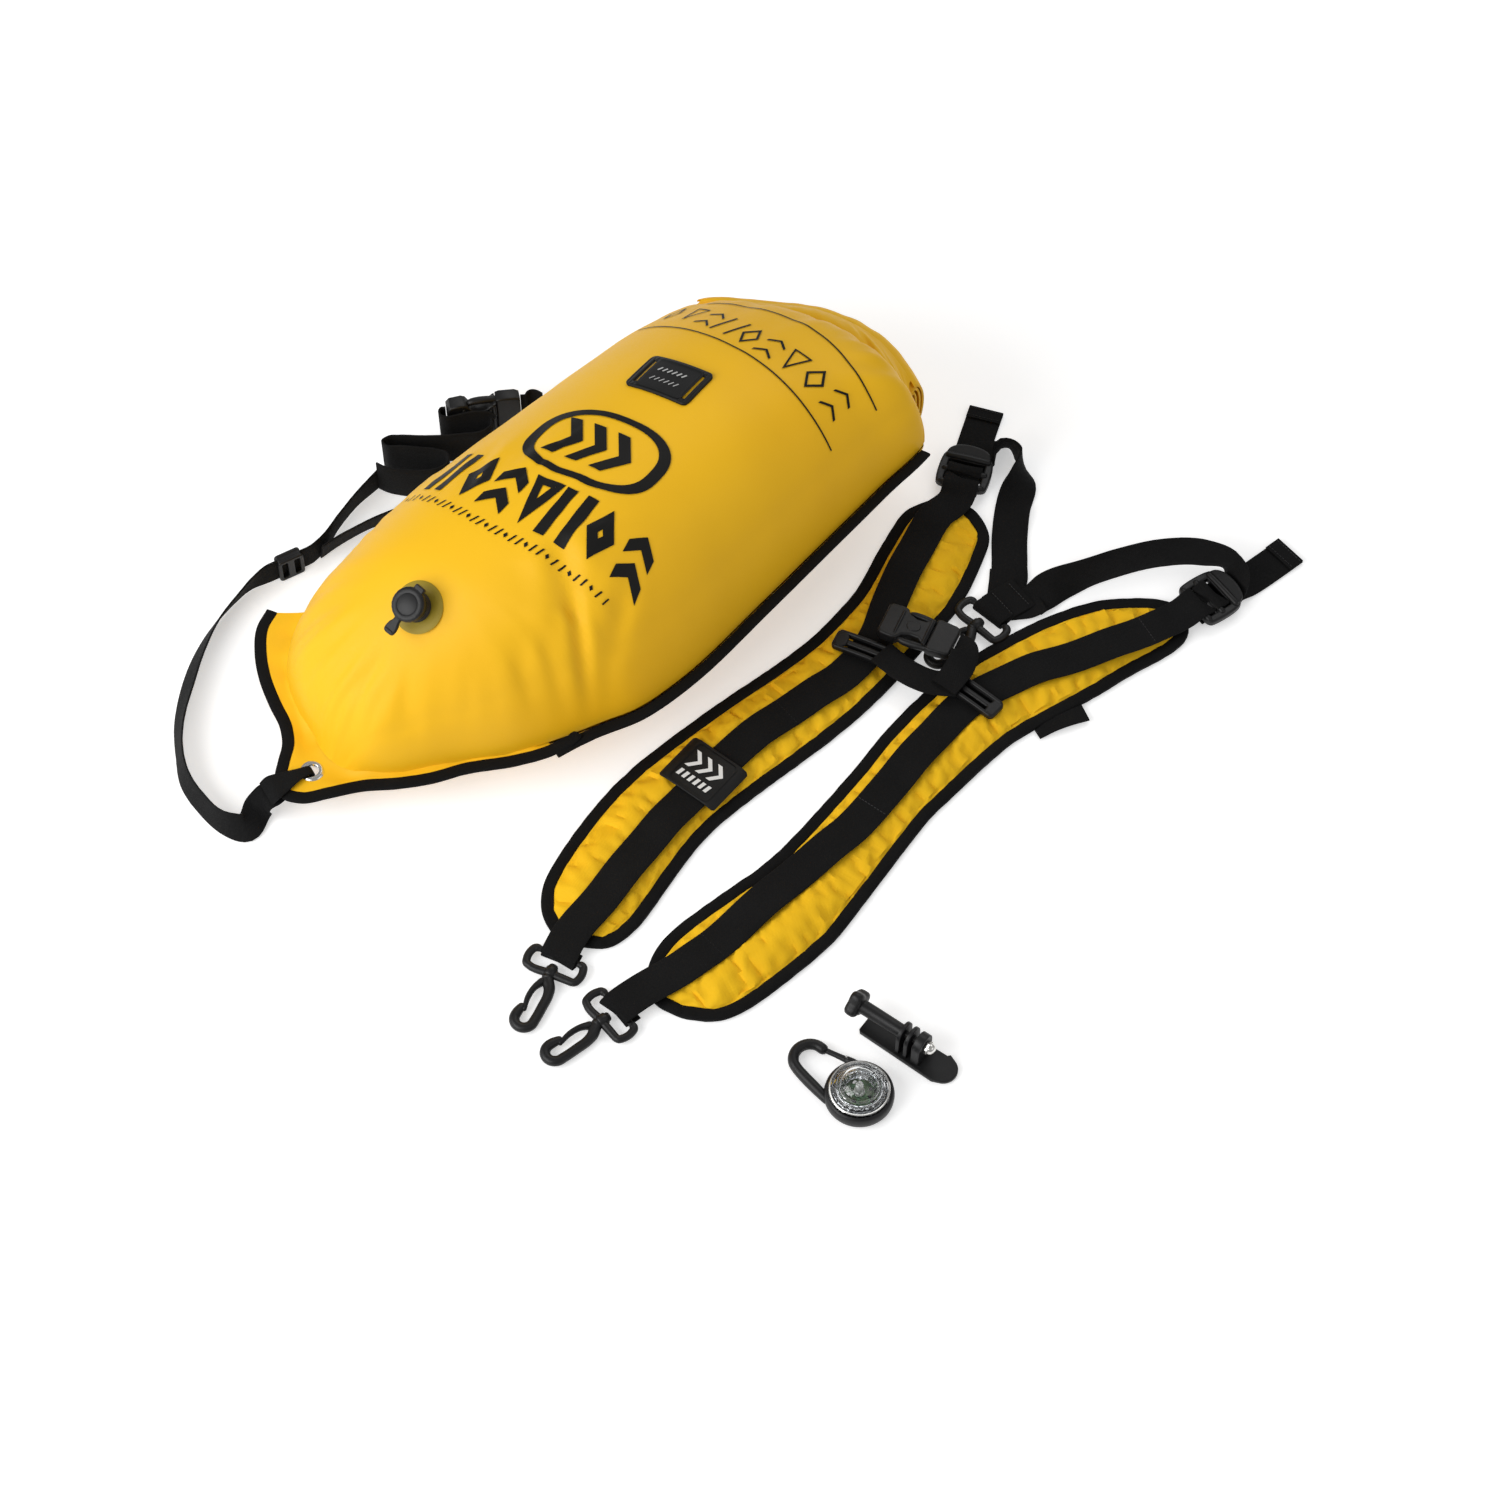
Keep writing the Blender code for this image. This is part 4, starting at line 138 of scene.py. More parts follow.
CAMERA_PLACE = (1.1159, -0.9794, 2.0967)
CAMERA_TARGET = (0.170, 0.0, 0.0)
CAMERA_LENS = 89.4
CAMERA_SENSOR = 36.0
FLOOR_HALF = 6

NOSE_FOLD_PLACE = (-0.012, -0.105)
# Folds pressed into the bag: from x, y to x, y in millimetres, then half width and depth
FOLDS = [
    (108, -84, 66, -58, 4.5, 7.5), (70, -62, 40, -44, 9.0, 3.6), (104, -66, 84, -20, 6.0, 3.4),
    (98, -94, 72, -90, 4.5, 4.4), (84, -76, 62, -94, 5.0, 2.4),
    (-17, -200, -6, -158, 5.0, 2.2), (-88, -172, -58, -146, 6.0, 1.6), (61, -156, 44, -132, 5.0, 1.8),
    (79, -116, 58, -97, 6.0, 1.6), (39, -180, 16, -160, 5.0, 1.4), (-50, -190, -36, -158, 6.0, 1.4),
    (8, -192, 4, -168, 4.0, 1.0), (-110, -150, -84, -132, 6.0, 1.2),
    (98, 232, 70, 196, 6.0, 2.2), (60, 244, 46, 208, 6.0, 2.0), (20, 244, 16, 204, 6.0, 1.8),
    (-30, 232, -24, 196, 7.0, 1.6), (-74, 214, -58, 184, 7.0, 1.6), (84, 238, 58, 206, 4.0, 1.4),
]

# Routes of the webbing in millimetres: x, y, z and roll in degrees, and where it changes the width
ROUTES = {
    "leash_webbing": [
        (-25.5, -256.7, 21.7, 0), (-24.2, -252.3, 25.2, 0), (-21.9, -244.3, 26.4, 0, 16),
        (-18.1, -231.1, 27, 0, 8.2), (-16.4, -225.3, 25.8, 0, 6.8), (-16, -224, 23, 0, 6.8),
        (-16.4, -225.3, 20.2, 0, 6.8), (-18.1, -231.1, 19, 0, 8.2), (-21.9, -244.3, 19.6, 0, 16),
        (-24.2, -252.3, 19, 0), (-25.8, -257.6, 18.8, 5), (-27.6, -263.7, 10, 30), (-23, -278, 7.8, 45),
        (-33, -286, 9.7, 66), (-59, -287, 10, 72), (-81, -281.5, 9.9, 70), (-99, -270, 10, 72),
        (-118, -253, 9.4, 62), (-133, -234, 8.8, 54), (-149, -209, 9, 56), (-160, -183, 9.6, 64),
        (-165, -161, 9.8, 68), (-166.8, -144, 10.2, 76), (-164.8, -131, 10.3, 90),
        (-162.5, -123.2, 10.3, 90), (-158, -107.8, 10.3, 90), (-155.8, -100, 10.3, 90),
        (-156.5, -88, 10.3, 88), (-163, -67, 10.3, 82), (-168, -46, 10.3, 82), (-170.5, -22.8, 10.3, 90),
    ],
    "leash_return": [
        (-152, -93, 10.2, 76), (-151, -80, 10.1, 74), (-148.5, -65, 10, 72), (-145.5, -52, 10, 72),
        (-141, -41, 10.2, 76), (-136, -31, 10.3, 84),
    ],
    "waist_belt": [
        (-168.1, 42.1, 19.3, 90), (-170, 39.3, 19.3, 90), (-168.6, 36.5, 19.3, 90),
        (-165.1, 35.2, 19.3, 90), (-161.8, 36.6, 19.3, 90), (-156.5, 44.6, 19.3, 90),
        (-149.7, 54.5, 19.3, 90), (-143, 60.5, 15.3, 90), (-136.5, 56.5, 15.3, 90),
        (-136.5, 48, 15.3, 90), (-145, 36, 15.3, 90), (-155, 24, 15.3, 90), (-166, 13, 15.3, 90),
        (-175, 5, 15.3, 90), (-180.5, -1.5, 15.3, 90), (-181, -7, 15.3, 90), (-176, -8, 15.3, 90),
        (-169, -2, 15.3, 90), (-159, 6, 15.3, 90), (-148, 14, 15.3, 90), (-140, 17, 15.3, 90),
        (-134.5, 12, 15.3, 90), (-136, 2, 15.3, 90), (-144, -8, 15.3, 90), (-154, -16.5, 15.3, 90),
        (-163, -21.5, 15.3, 90), (-169.5, -23.2, 15.3, 90),
    ],
    "belt_end": [
        (-137.9, 85.9, 19.3, 90), (-135.7, 89.2, 19.3, 90), (-136.5, 91.2, 19.3, 90),
        (-135.8, 94.8, 19.3, 90), (-133, 96.8, 19.3, 90), (-128.2, 97.9, 19.3, 90),
    ],
    "left_pad_webbing": [
        (191.3, -194.1, 1, 0), (194, -202, 1, 0), (194.5, -203.5, 1.5, 0), (194.9, -204.6, 2.6, 0),
        (195, -205, 4.2, 0), (194.9, -204.6, 5.7, 0), (194.5, -203.5, 6.9, 0), (194, -202, 7.3, 0),
        (189.1, -187.8, 8.3, 0), (185, -156, 10.1, 0), (177, -111, 10.1, 0), (171, -58, 10.1, 0),
        (168, -12, 10.1, 0), (173, 45, 10.1, 0), (178, 84, 10.1, 0), (173.5, 119, 10.1, 0),
        (159, 150, 10.1, 0), (144, 189, 10.1, 0), (133, 225, 10.1, 0), (131.5, 247.4, 8.3, 0),
        (124.7, 260.2, 10.8, 0), (124.2, 261, 10.4, 0), (124.1, 261.4, 9.4, 0), (124.1, 261.4, 4.8, 0),
        (124.2, 261, 3.8, 0), (124.7, 260.2, 3.5, 0), (127.6, 254.7, 3.5, 0),
    ],
    "right_pad_webbing": [
        (250.2, -194.7, 1, 0), (249, -203, 1, 0), (248.8, -204.5, 1.5, 0), (248.6, -205.7, 2.6, 0),
        (248.6, -206.1, 4.2, 0), (248.6, -205.7, 5.7, 0), (248.8, -204.5, 6.9, 0), (249, -203, 7.3, 0),
        (251.1, -188.1, 8.3, 0), (259, -156, 10.1, 0), (262, -135, 10.1, 0), (263, -97, 10.1, 0),
        (264, -46, 10.1, 0), (265.5, -3, 10.1, 0), (261, 40, 10.1, 0), (255.5, 86, 10.1, 0),
        (253.5, 127, 10.1, 0), (263, 162, 10.1, 0), (278, 196, 10.1, 0), (293, 229, 10.1, 0),
        (304.5, 262, 10.1, 0), (309.3, 282, 8.3, 0), (312.1, 296.2, 10.8, 0), (312.3, 297.1, 10.4, 0),
        (312.3, 297.5, 9.4, 0), (312.3, 297.5, 4.8, 0), (312.3, 297.1, 3.8, 0), (312.1, 296.2, 3.5, 0),
        (310.9, 290.1, 3.5, 0),
    ],
    "left_adjuster_strap": [
        (91.5, 324, 1.1, 0), (99, 309, 1.1, 0), (108, 291.5, 1.1, 0), (110.1, 287.5, 2.9, 0),
        (114.7, 278.9, 2.9, 0), (116.8, 274.9, 2.9, 0), (118.2, 272.4, 3.5, 0), (118.4, 272, 4.8, 0),
        (118.4, 272, 9.4, 0), (118.6, 271.6, 10.4, 0), (119.1, 270.8, 10.8, 0),
        (120.9, 267.2, 10.8, 0), (121.4, 266.4, 10.4, 0), (121.6, 266, 9.4, 0), (121.6, 266, 4.8, 0),
        (121.5, 266.2, 2.4, 0), (120.9, 267.2, 1.1, 0), (118.7, 271.5, 1.1, 0), (114.7, 278.9, 1.1, 0),
        (112.1, 283.8, 1.1, 0), (120, 296, 2.1, 5), (129, 304, 12.3, 70), (142, 303, 12.8, 86),
        (152, 294, 10.4, 50), (160, 277, 1.1, 0), (178, 252, 1.1, 0), (194, 234, 1.1, 0),
        (203, 223, 1.1, 0), (204, 218.3, 1.1, 0),
    ],
    "right_adjuster_strap": [
        (326, 379, 1.1, 0), (323.5, 357.5, 1.1, 0), (320, 335, 1.1, 0), (318, 326.6, 2.9, 0),
        (316.1, 317, 2.9, 0), (315.3, 312.6, 2.9, 0), (314.7, 309.7, 3.5, 0), (314.6, 309.3, 4.8, 0),
        (314.6, 309.3, 9.4, 0), (314.6, 308.9, 10.4, 0), (314.4, 308, 10.8, 0), (313.6, 304, 10.8, 0),
        (313.4, 303.1, 10.4, 0), (313.4, 302.7, 9.4, 0), (313.4, 302.7, 4.8, 0),
        (313.4, 302.9, 2.4, 0), (313.6, 304, 1.1, 0), (314.5, 308.7, 1.1, 0), (316.1, 317, 1.1, 0),
        (317.2, 322.5, 1.1, 0), (316, 330, 8.9, 40), (306, 336, 12.8, 84), (287, 328, 12.7, 80),
        (267, 308, 12.6, 76), (251, 281, 12.5, 74), (239, 254, 12, 66), (230, 235, 7.9, 34),
        (226.5, 223.5, 2.9, 0), (226, 218.3, 2.9, 0),
    ],
    "sternum_strap": [
        (186, 111, 16.2, 0), (206, 111, 16.2, 0), (226, 116, 16.2, 0), (241, 127, 16.2, 0),
    ],
    "sternum_loop": [
        (221.2, 147.5, 21.7, 0), (222.6, 148, 21.7, 0), (228, 148, 24.7, 12), (234, 140, 23.2, 20),
        (236, 128, 19, 0), (237, 118, 18.3, 0),
    ],
}
# Stations of the pads in millimetres: middle x and y, sideways direction, and half width
PAD_STATIONS = {
    "left_pad": [
        (194.5, -178.5, -0.816, -0.578, 12.6), (193.5, -177.1, -0.821, -0.571, 14.3),
        (190.6, -172.9, -0.813, -0.582, 19), (185.7, -166.1, -0.83, -0.558, 24.8),
        (179.5, -156.4, -0.912, -0.41, 28), (175.1, -142.6, -0.961, -0.278, 28.9),
        (170.7, -125.8, -0.972, -0.236, 29.1), (166.3, -106.4, -0.981, -0.195, 29.1),
        (162.5, -84.7, -0.993, -0.117, 28.6), (160.9, -61, -1, -0.01, 28),
        (162, -35.7, -0.998, 0.06, 27.8), (164.1, -9.4, -0.996, 0.089, 27.7),
        (166.7, 17.5, -0.995, 0.104, 27.7), (169.7, 44.5, -0.996, 0.089, 27),
        (171.5, 71.5, -0.999, 0.033, 26), (171.4, 97.8, -0.999, -0.052, 25),
        (168.8, 123, -0.993, -0.121, 24.4), (165.5, 146.6, -0.987, -0.162, 24.1),
        (161.4, 168.2, -0.97, -0.244, 26.4), (155.3, 187.1, -0.947, -0.321, 27.2),
        (149.5, 203.4, -0.941, -0.338, 26.5), (144.5, 217.1, -0.94, -0.342, 25.6),
        (140.5, 228, -0.919, -0.395, 24.3), (137.3, 233.8, -0.891, -0.454, 16.6),
        (135.2, 238.4, -0.909, -0.417, 12.5), (134.5, 240, -0.908, -0.418, 11.1),
    ],
    "right_pad": [
        (269, -174, -0.968, -0.249, 9), (268.5, -172.2, -0.98, -0.201, 11.5),
        (267.5, -166.9, -1, -0.03, 18.1), (268.1, -158, -0.996, 0.092, 25.4),
        (269.5, -145.7, -0.994, 0.106, 29.4), (271.1, -130.2, -0.995, 0.1, 30.6),
        (272.9, -111.8, -0.995, 0.096, 30.5), (274.9, -90.7, -0.997, 0.08, 30.1),
        (276.5, -67.3, -1, -0.01, 28.5), (274.4, -42, -0.994, -0.107, 25.9),
        (270.9, -15.2, -0.991, -0.136, 24.6), (266.9, 12.6, -0.99, -0.141, 23.6),
        (262.9, 41.1, -0.993, -0.118, 23), (260.1, 70, -0.997, -0.076, 25.3),
        (258.5, 98.7, -1, -0.029, 26.2), (258.5, 126.8, -0.997, 0.073, 26.8),
        (262.5, 153.5, -0.982, 0.189, 27.6), (268.4, 178.2, -0.97, 0.241, 28),
        (274.3, 200.9, -0.965, 0.263, 27.9), (280.1, 221.2, -0.951, 0.308, 26),
        (286.5, 238.6, -0.91, 0.415, 23.6), (294.2, 252.1, -0.87, 0.494, 20.2),
        (300.2, 262.9, -0.866, 0.501, 16.7), (304.9, 270.5, -0.845, 0.534, 12.9),
        (307.9, 275, -0.821, 0.571, 9.5), (309, 276.5, -0.811, 0.585, 8.3),
    ],
}

# Finishes


def effect(name, inputs, outputs):
    """An empty node group with named sockets; a number in inputs is its value."""
    group = bpy.data.node_groups.new(name, "ShaderNodeTree")
    for label, value in inputs.items():
        kind = "NodeSocketVector" if value is None else "NodeSocketFloat"
        socket = group.interface.new_socket(label, in_out="INPUT", socket_type=kind)
        if value is not None:
            socket.default_value = value
    for label in outputs:
        group.interface.new_socket(label, in_out="OUTPUT", socket_type="NodeSocketFloat")
    return group, group.nodes.new("NodeGroupInput"), group.nodes.new("NodeGroupOutput")


def calc(tree, operation, *values):
    node = tree.nodes.new("ShaderNodeMath")
    node.operation = operation
    for socket, value in zip(node.inputs, values):
        if isinstance(value, (int, float)):
            socket.default_value = value
        else:
            tree.links.new(value, socket)
    return node.outputs[0]


def woven_effect():
    """Crossing threads: Height stands over each thread, Shade is painted shade that darkens the gaps
    between them.
    """
    group, given, out = effect("woven threads", {"Place": None, "Pitch": 0.001, "Ribs": 0.0},
                               ["Height", "Shade"])
    split = group.nodes.new("ShaderNodeSeparateXYZ")
    group.links.new(given.outputs["Place"], split.inputs[0])
    turns = calc(group, "DIVIDE", 2 * math.pi, given.outputs["Pitch"])
    warp = calc(group, "SINE", calc(group, "MULTIPLY", split.outputs[0], turns))
    weft = calc(group, "SINE", calc(group, "MULTIPLY", split.outputs[1], turns))
    crossed = calc(group, "MULTIPLY", warp, weft)
    ribs = calc(group, "MULTIPLY", calc(group, "ABSOLUTE", weft), given.outputs["Ribs"])
    plain = calc(group, "MULTIPLY", crossed, calc(group, "SUBTRACT", 1.0, given.outputs["Ribs"]))
    height = calc(group, "ADD", calc(group, "MULTIPLY", plain, 0.5), ribs)
    group.links.new(height, out.inputs["Height"])
    group.links.new(calc(group, "ADD", calc(group, "MULTIPLY", height, 0.5), 0.5), out.inputs["Shade"])
    return group


def mottle_effect():
    """Slow changes over the surface: Broad for colour, Fine for grain."""
    group, given, out = effect("mottle", {"Place": None, "Broad scale": 12.0, "Fine scale": 900.0},
                               ["Broad", "Fine"])
    for label, scale, detail in (("Broad", "Broad scale", 3.0), ("Fine", "Fine scale", 2.0)):
        cloud = group.nodes.new("ShaderNodeTexNoise")
        cloud.inputs["Detail"].default_value = detail
        group.links.new(given.outputs["Place"], cloud.inputs["Vector"])
        group.links.new(given.outputs[scale], cloud.inputs["Scale"])
        group.links.new(cloud.outputs["Fac"], out.inputs[label])
    return group


WOVEN = woven_effect()
MOTTLE = mottle_effect()


def ramp(tree, value, low, high, start=0.3, end=0.7):
    node = tree.nodes.new("ShaderNodeMapRange")
    tree.links.new(value, node.inputs["Value"])
    for label, number in (("From Min", start), ("From Max", end), ("To Min", low), ("To Max", high)):
        node.inputs[label].default_value = number
    return node.outputs[0]


def blended(tree, value, first, second):
    node = tree.nodes.new("ShaderNodeMix")
    node.data_type = "RGBA"
    tree.links.new(value, node.inputs["Factor"])
    for socket, colour in ((node.inputs[6], first), (node.inputs[7], second)):
        if isinstance(colour, tuple):
            socket.default_value = (*colour, 1.0)
        else:
            tree.links.new(colour, socket)
    return node.outputs[2]


def surface(name, colours, rough, broad=12.0, fine=900.0, grain=0.00002, weave=None, metal=0.0, **sockets):
    """A finish: two colours and two roughnesses that change slowly, a grain, and threads if woven.

    weave holds the pitch in metres, the share of ribs, the thread height, and the painted shade between
    threads."""
    made = bpy.data.materials.new(name)
    made.use_nodes = True
    tree = made.node_tree
    shader = tree.nodes["Principled BSDF"]
    place = tree.nodes.new("ShaderNodeTexCoord")
    mottle = tree.nodes.new("ShaderNodeGroup")
    mottle.node_tree = MOTTLE
    mottle.inputs["Broad scale"].default_value = broad
    mottle.inputs["Fine scale"].default_value = fine
    tree.links.new(place.outputs["Object"], mottle.inputs["Place"])
    colour = blended(tree, ramp(tree, mottle.outputs["Broad"], 0.0, 1.0), *colours)
    roughness = ramp(tree, mottle.outputs["Fine"], *rough)
    height = calc(tree, "MULTIPLY", mottle.outputs["Fine"], grain)
    if weave:
        pitch, ribs, lift, shade = weave
        threads = tree.nodes.new("ShaderNodeGroup")
        threads.node_tree = WOVEN
        threads.inputs["Pitch"].default_value = pitch
        threads.inputs["Ribs"].default_value = ribs
        tree.links.new(place.outputs["UV"], threads.inputs["Place"])
        # The gaps between threads are darkened in the colour: painted shade.
        dark = tuple(c * shade for c in colours[0])
        colour = blended(tree, threads.outputs["Shade"], dark, colour)
        height = calc(tree, "ADD", height, calc(tree, "MULTIPLY", threads.outputs["Height"], lift))
    bump = tree.nodes.new("ShaderNodeBump")
    bump.inputs["Strength"].default_value = 1.0
    bump.inputs["Distance"].default_value = 1.0
    tree.links.new(height, bump.inputs["Height"])
    tree.links.new(colour, shader.inputs["Base Color"])
    tree.links.new(roughness, shader.inputs["Roughness"])
    tree.links.new(bump.outputs["Normal"], shader.inputs["Normal"])
    shader.inputs["Metallic"].default_value = metal
    for label, value in sockets.items():
        shader.inputs[label.replace("_", " ")].default_value = value
    return made


COATED = surface("coated yellow fabric", ((0.97, 0.545, 0.010), (0.90, 0.480, 0.009)), (0.46, 0.58),
                 broad=9.0, fine=700.0, grain=0.00003, weave=(0.0009, 0.0, 0.00002, 0.94),
                 Specular_IOR_Level=0.25)
WEBBING = surface("black webbing", ((0.0028, 0.0028, 0.0030), (0.0060, 0.0060, 0.0063)), (0.78, 0.92),
                  broad=30.0, grain=0.00004, weave=(0.0017, 0.55, 0.00016, 0.4), Specular_IOR_Level=0.22)
TAPE = surface("black binding tape", ((0.0026, 0.0026, 0.0028), (0.0055, 0.0055, 0.0058)), (0.8, 0.92),
               broad=40.0, grain=0.00006, weave=(0.0011, 0.2, 0.00010, 0.5), Specular_IOR_Level=0.2)
PADDING = surface("yellow pad fabric", ((1.0, 0.585, 0.012), (0.95, 0.53, 0.010)), (0.70, 0.85), broad=25.0,
                  grain=0.00005, weave=(0.0011, 0.0, 0.00009, 0.84), Specular_IOR_Level=0.2)
PLASTIC = surface("moulded black plastic", ((0.0035, 0.0035, 0.0038), (0.0070, 0.0070, 0.0075)),
                  (0.38, 0.52), broad=60.0, fine=1600.0, grain=0.00003, Specular_IOR_Level=0.35)
RUBBER = surface("moulded black rubber", ((0.0035, 0.0035, 0.0035), (0.0070, 0.0070, 0.0070)), (0.50, 0.62),
                 broad=60.0, fine=1400.0, grain=0.00004, Specular_IOR_Level=0.3)
THREAD = surface("dark thread", ((0.012, 0.012, 0.013), (0.020, 0.020, 0.021)), (0.6, 0.75), broad=90.0)
INK = surface("black print", ((0.0040, 0.0038, 0.0034), (0.0080, 0.0075, 0.0065)), (0.50, 0.60), broad=20.0,
              fine=700.0, grain=0.00002, Specular_IOR_Level=0.2)
GREY_PRINT = surface("grey print", ((0.45, 0.45, 0.44), (0.55, 0.55, 0.54)), (0.5, 0.6))
WHITE_PRINT = surface("white raised print", ((0.80, 0.80, 0.79), (0.70, 0.70, 0.69)), (0.45, 0.55))
FILM = surface("olive valve film", ((0.30, 0.215, 0.018), (0.36, 0.26, 0.022)), (0.42, 0.52), broad=40.0,
               Specular_IOR_Level=0.25)
NICKEL = surface("bright nickel", ((0.78, 0.77, 0.74), (0.66, 0.65, 0.63)), (0.16, 0.26), broad=80.0,
                 metal=1.0)
# Its broad mottle runs from near white down to dark grey: painted dark reflections and shade on the silver.
SILVER_PAINTED_REFLECTIONS = surface("silvered reflector", ((0.96, 0.97, 0.98), (0.20, 0.21, 0.22)), (0.06, 0.16), broad=330.0,
                 grain=0.00016, fine=420.0, metal=1.0)
BOARD = surface("green board", ((0.05, 0.16, 0.06), (0.10, 0.11, 0.05)), (0.35, 0.5), broad=260.0)
LENS = surface("milky lamp lens", ((0.80, 0.80, 0.76), (0.70, 0.70, 0.66)), (0.12, 0.2), broad=90.0,
               Transmission_Weight=0.35)
CLEAR = surface("clear moulded dome", ((0.96, 0.97, 0.98), (0.90, 0.92, 0.93)), (0.02, 0.05), broad=90.0,
                fine=300.0, grain=0.00002, Transmission_Weight=1.0, IOR=1.45)
SILICONE = surface("soft silicone", ((0.80, 0.80, 0.76), (0.72, 0.72, 0.68)), (0.45, 0.55))
STEEL = surface("cell steel", ((0.62, 0.62, 0.61), (0.52, 0.52, 0.51)), (0.22, 0.34), metal=1.0)


# Small tools for meshes


def smoothed(rows, parts):
    """Rows of numbers smoothed by a spline through them, with equally many parts between each two."""
    rows = np.array(rows, float)
    steps = np.linalg.norm(np.diff(rows[:, :3], axis=0), axis=1)
    slopes = np.diff(rows, axis=0) / steps[:, None]
    before, after = steps[:-1, None], steps[1:, None]
    inner = (slopes[:-1] * after + slopes[1:] * before) / (before + after)
    ways = np.vstack([slopes[:1], inner, slopes[-1:]])
    fine = []
    for i, step in enumerate(steps):
        for t in np.linspace(0, 1, parts, endpoint=False):
            fine.append(rows[i] * (2 * t**3 - 3 * t**2 + 1) + ways[i] * step * (t**3 - 2 * t**2 + t)
                        + rows[i + 1] * (3 * t**2 - 2 * t**3) + ways[i + 1] * step * (t**3 - t**2))
    fine.append(rows[-1])
    return np.array(fine)


def spread_evenly(rows, count, flat=3):
    """Rows at equal steps along a line whose place is in their first flat numbers."""
    rows = np.array(rows, float)
    steps = np.linalg.norm(np.diff(rows[:, :flat], axis=0), axis=1)
    along = np.concatenate([[0.0], np.cumsum(steps)])
    at = np.linspace(0.0, along[-1], count)
    return np.stack([np.interp(at, along, rows[:, k]) for k in range(rows.shape[1])], axis=1)


def side_steps(line, distance, closed=False):
    """A line in plan moved sideways, to its left for a positive distance."""
    line = np.array(line, float)[:, :2]
    heading = np.roll(line, -1, axis=0) - np.roll(line, 1, axis=0) if closed else np.gradient(line, axis=0)
    heading /= np.linalg.norm(heading, axis=1)[:, None]
    return line + distance * np.stack([-heading[:, 1], heading[:, 0]], axis=1)


def arc(x, y, radius, angles, *rest):
    """Rows on an arc at some angles in degrees; each holds x, y and the rest."""
    return [(x + radius * math.cos(math.radians(a)), y + radius * math.sin(math.radians(a)), *rest)
            for a in angles]


def drift(x, y, z):
    """Smooth noise from -1 to 1."""
    return noise.noise(Vector((x, y, z)))


def bell(value, width):
    return math.exp(-((value / width) ** 2))


def squared(value, power):
    """A cosine or sine bent so that a circle comes nearer to a square."""
    return math.copysign(abs(value) ** power, value)


def new_object(name, data):
    obj = bpy.data.objects.new(name, data)
    bpy.context.collection.objects.link(obj)
    return obj


def new_mesh(name, verts, faces, crease=180.0):
    """A smooth mesh, whose edges are sharp where they turn by more than the crease in degrees."""
    mesh = bpy.data.meshes.new(name)
    mesh.from_pydata([tuple(v) for v in verts], [], [tuple(f) for f in faces])
    mesh.shade_smooth()
    mesh.set_sharp_from_angle(angle=math.radians(crease))
    return mesh


def placed_mesh(name, mesh, node, replaces, finish):
    """A new piece that rides and is finished as a CAD node is, in its place if it replaces it."""
    obj = new_object(name, mesh)
    mesh.materials.clear()
    mesh.materials.append(finish)
    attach(obj, NODE_BODY[node])
    if replaces:
        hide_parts(node)
    return obj


def piece(name, verts, faces, finish, node, replaces=False, uvs=None, crease=60.0):
    """A new piece from points and faces; uvs holds one pair of metres for each point."""
    mesh = new_mesh(name, verts, faces, crease)
    if uvs is not None:
        layer = mesh.uv_layers.new(name="cloth")
        for loop in mesh.loops:
            layer.data[loop.index].uv = uvs[loop.vertex_index]
    return placed_mesh(name, mesh, node, replaces, finish)


def grid_faces(rows, columns, closed_rows=False, closed_columns=False):
    faces = []
    for i in range(rows if closed_rows else rows - 1):
        for j in range(columns if closed_columns else columns - 1):
            a, b = i * columns + j, i * columns + (j + 1) % columns
            k = (i + 1) % rows * columns
            faces.append((a, b, k + (j + 1) % columns, k + j))
    return faces


def tube_faces(rows, columns, closed=False):
    """Faces round rows of points, with both ends filled unless the tube closes on itself."""
    faces = grid_faces(rows, columns, closed_rows=closed, closed_columns=True)
    if not closed:
        last = (rows - 1) * columns
        faces += [tuple(range(columns))[::-1], tuple(range(last, last + columns))]
    return faces


def copied(node, finish, width):
    """A copy of a hard CAD piece with its edges rounded over by a width in metres."""
    shape = bmesh.new()
    shape.from_mesh(frame["nodes"][node].data)
    bmesh.ops.remove_doubles(shape, verts=shape.verts, dist=2e-6)
    bmesh.ops.dissolve_limit(shape, angle_limit=math.radians(1.0), verts=shape.verts, edges=shape.edges)
    edges = [e for e in shape.edges if e.is_manifold and e.calc_face_angle(0.0) > math.radians(28.0)]
    bmesh.ops.bevel(shape, geom=edges, offset=width, segments=2, profile=0.5, affect="EDGES",
                    clamp_overlap=True)
    mesh = bpy.data.meshes.new(node + "_shell")
    shape.to_mesh(mesh)
    shape.free()
    mesh.shade_smooth()
    mesh.set_sharp_from_angle(angle=math.radians(34))
    return placed_mesh(node + "_shell", mesh, node, True, finish)


def seat(x, y, z, degrees, upright=False):
    """A place on the floor plan in millimetres with a heading; upright pieces stand on their edge."""
    turn = Matrix.Rotation(math.radians(degrees), 4, "Z")
    if upright:
        turn = turn @ Matrix.Rotation(math.pi / 2, 4, "X")
    return Matrix.Translation((x * MM, y * MM, z * MM)) @ turn


def softened(outline):
    """An outline with its corners cut twice."""
    line = np.array(outline, float)
    for _ in range(2):
        following = np.roll(line, -1, axis=0)
        cut = [0.75 * line + 0.25 * following, 0.25 * line + 0.75 * following]
        line = np.stack(cut, axis=1).reshape(-1, 2)
    return [tuple(p) for p in line]


def rounded(length, width, corner, x=0.0, y=0.0):
    """A rectangle with round corners, in millimetres."""
    line = []
    for sx, sy, start in ((1, 1, 0), (-1, 1, 90), (-1, -1, 180), (1, -1, 270)):
        line += arc(x + sx * (length / 2 - corner), y + sy * (width / 2 - corner), corner,
                    [start + 18 * k for k in range(6)])
    return line


def mirrored(half):
    """A whole outline from the half of it at positive y."""
    return half + [(x, -y) for x, y in reversed(half)]


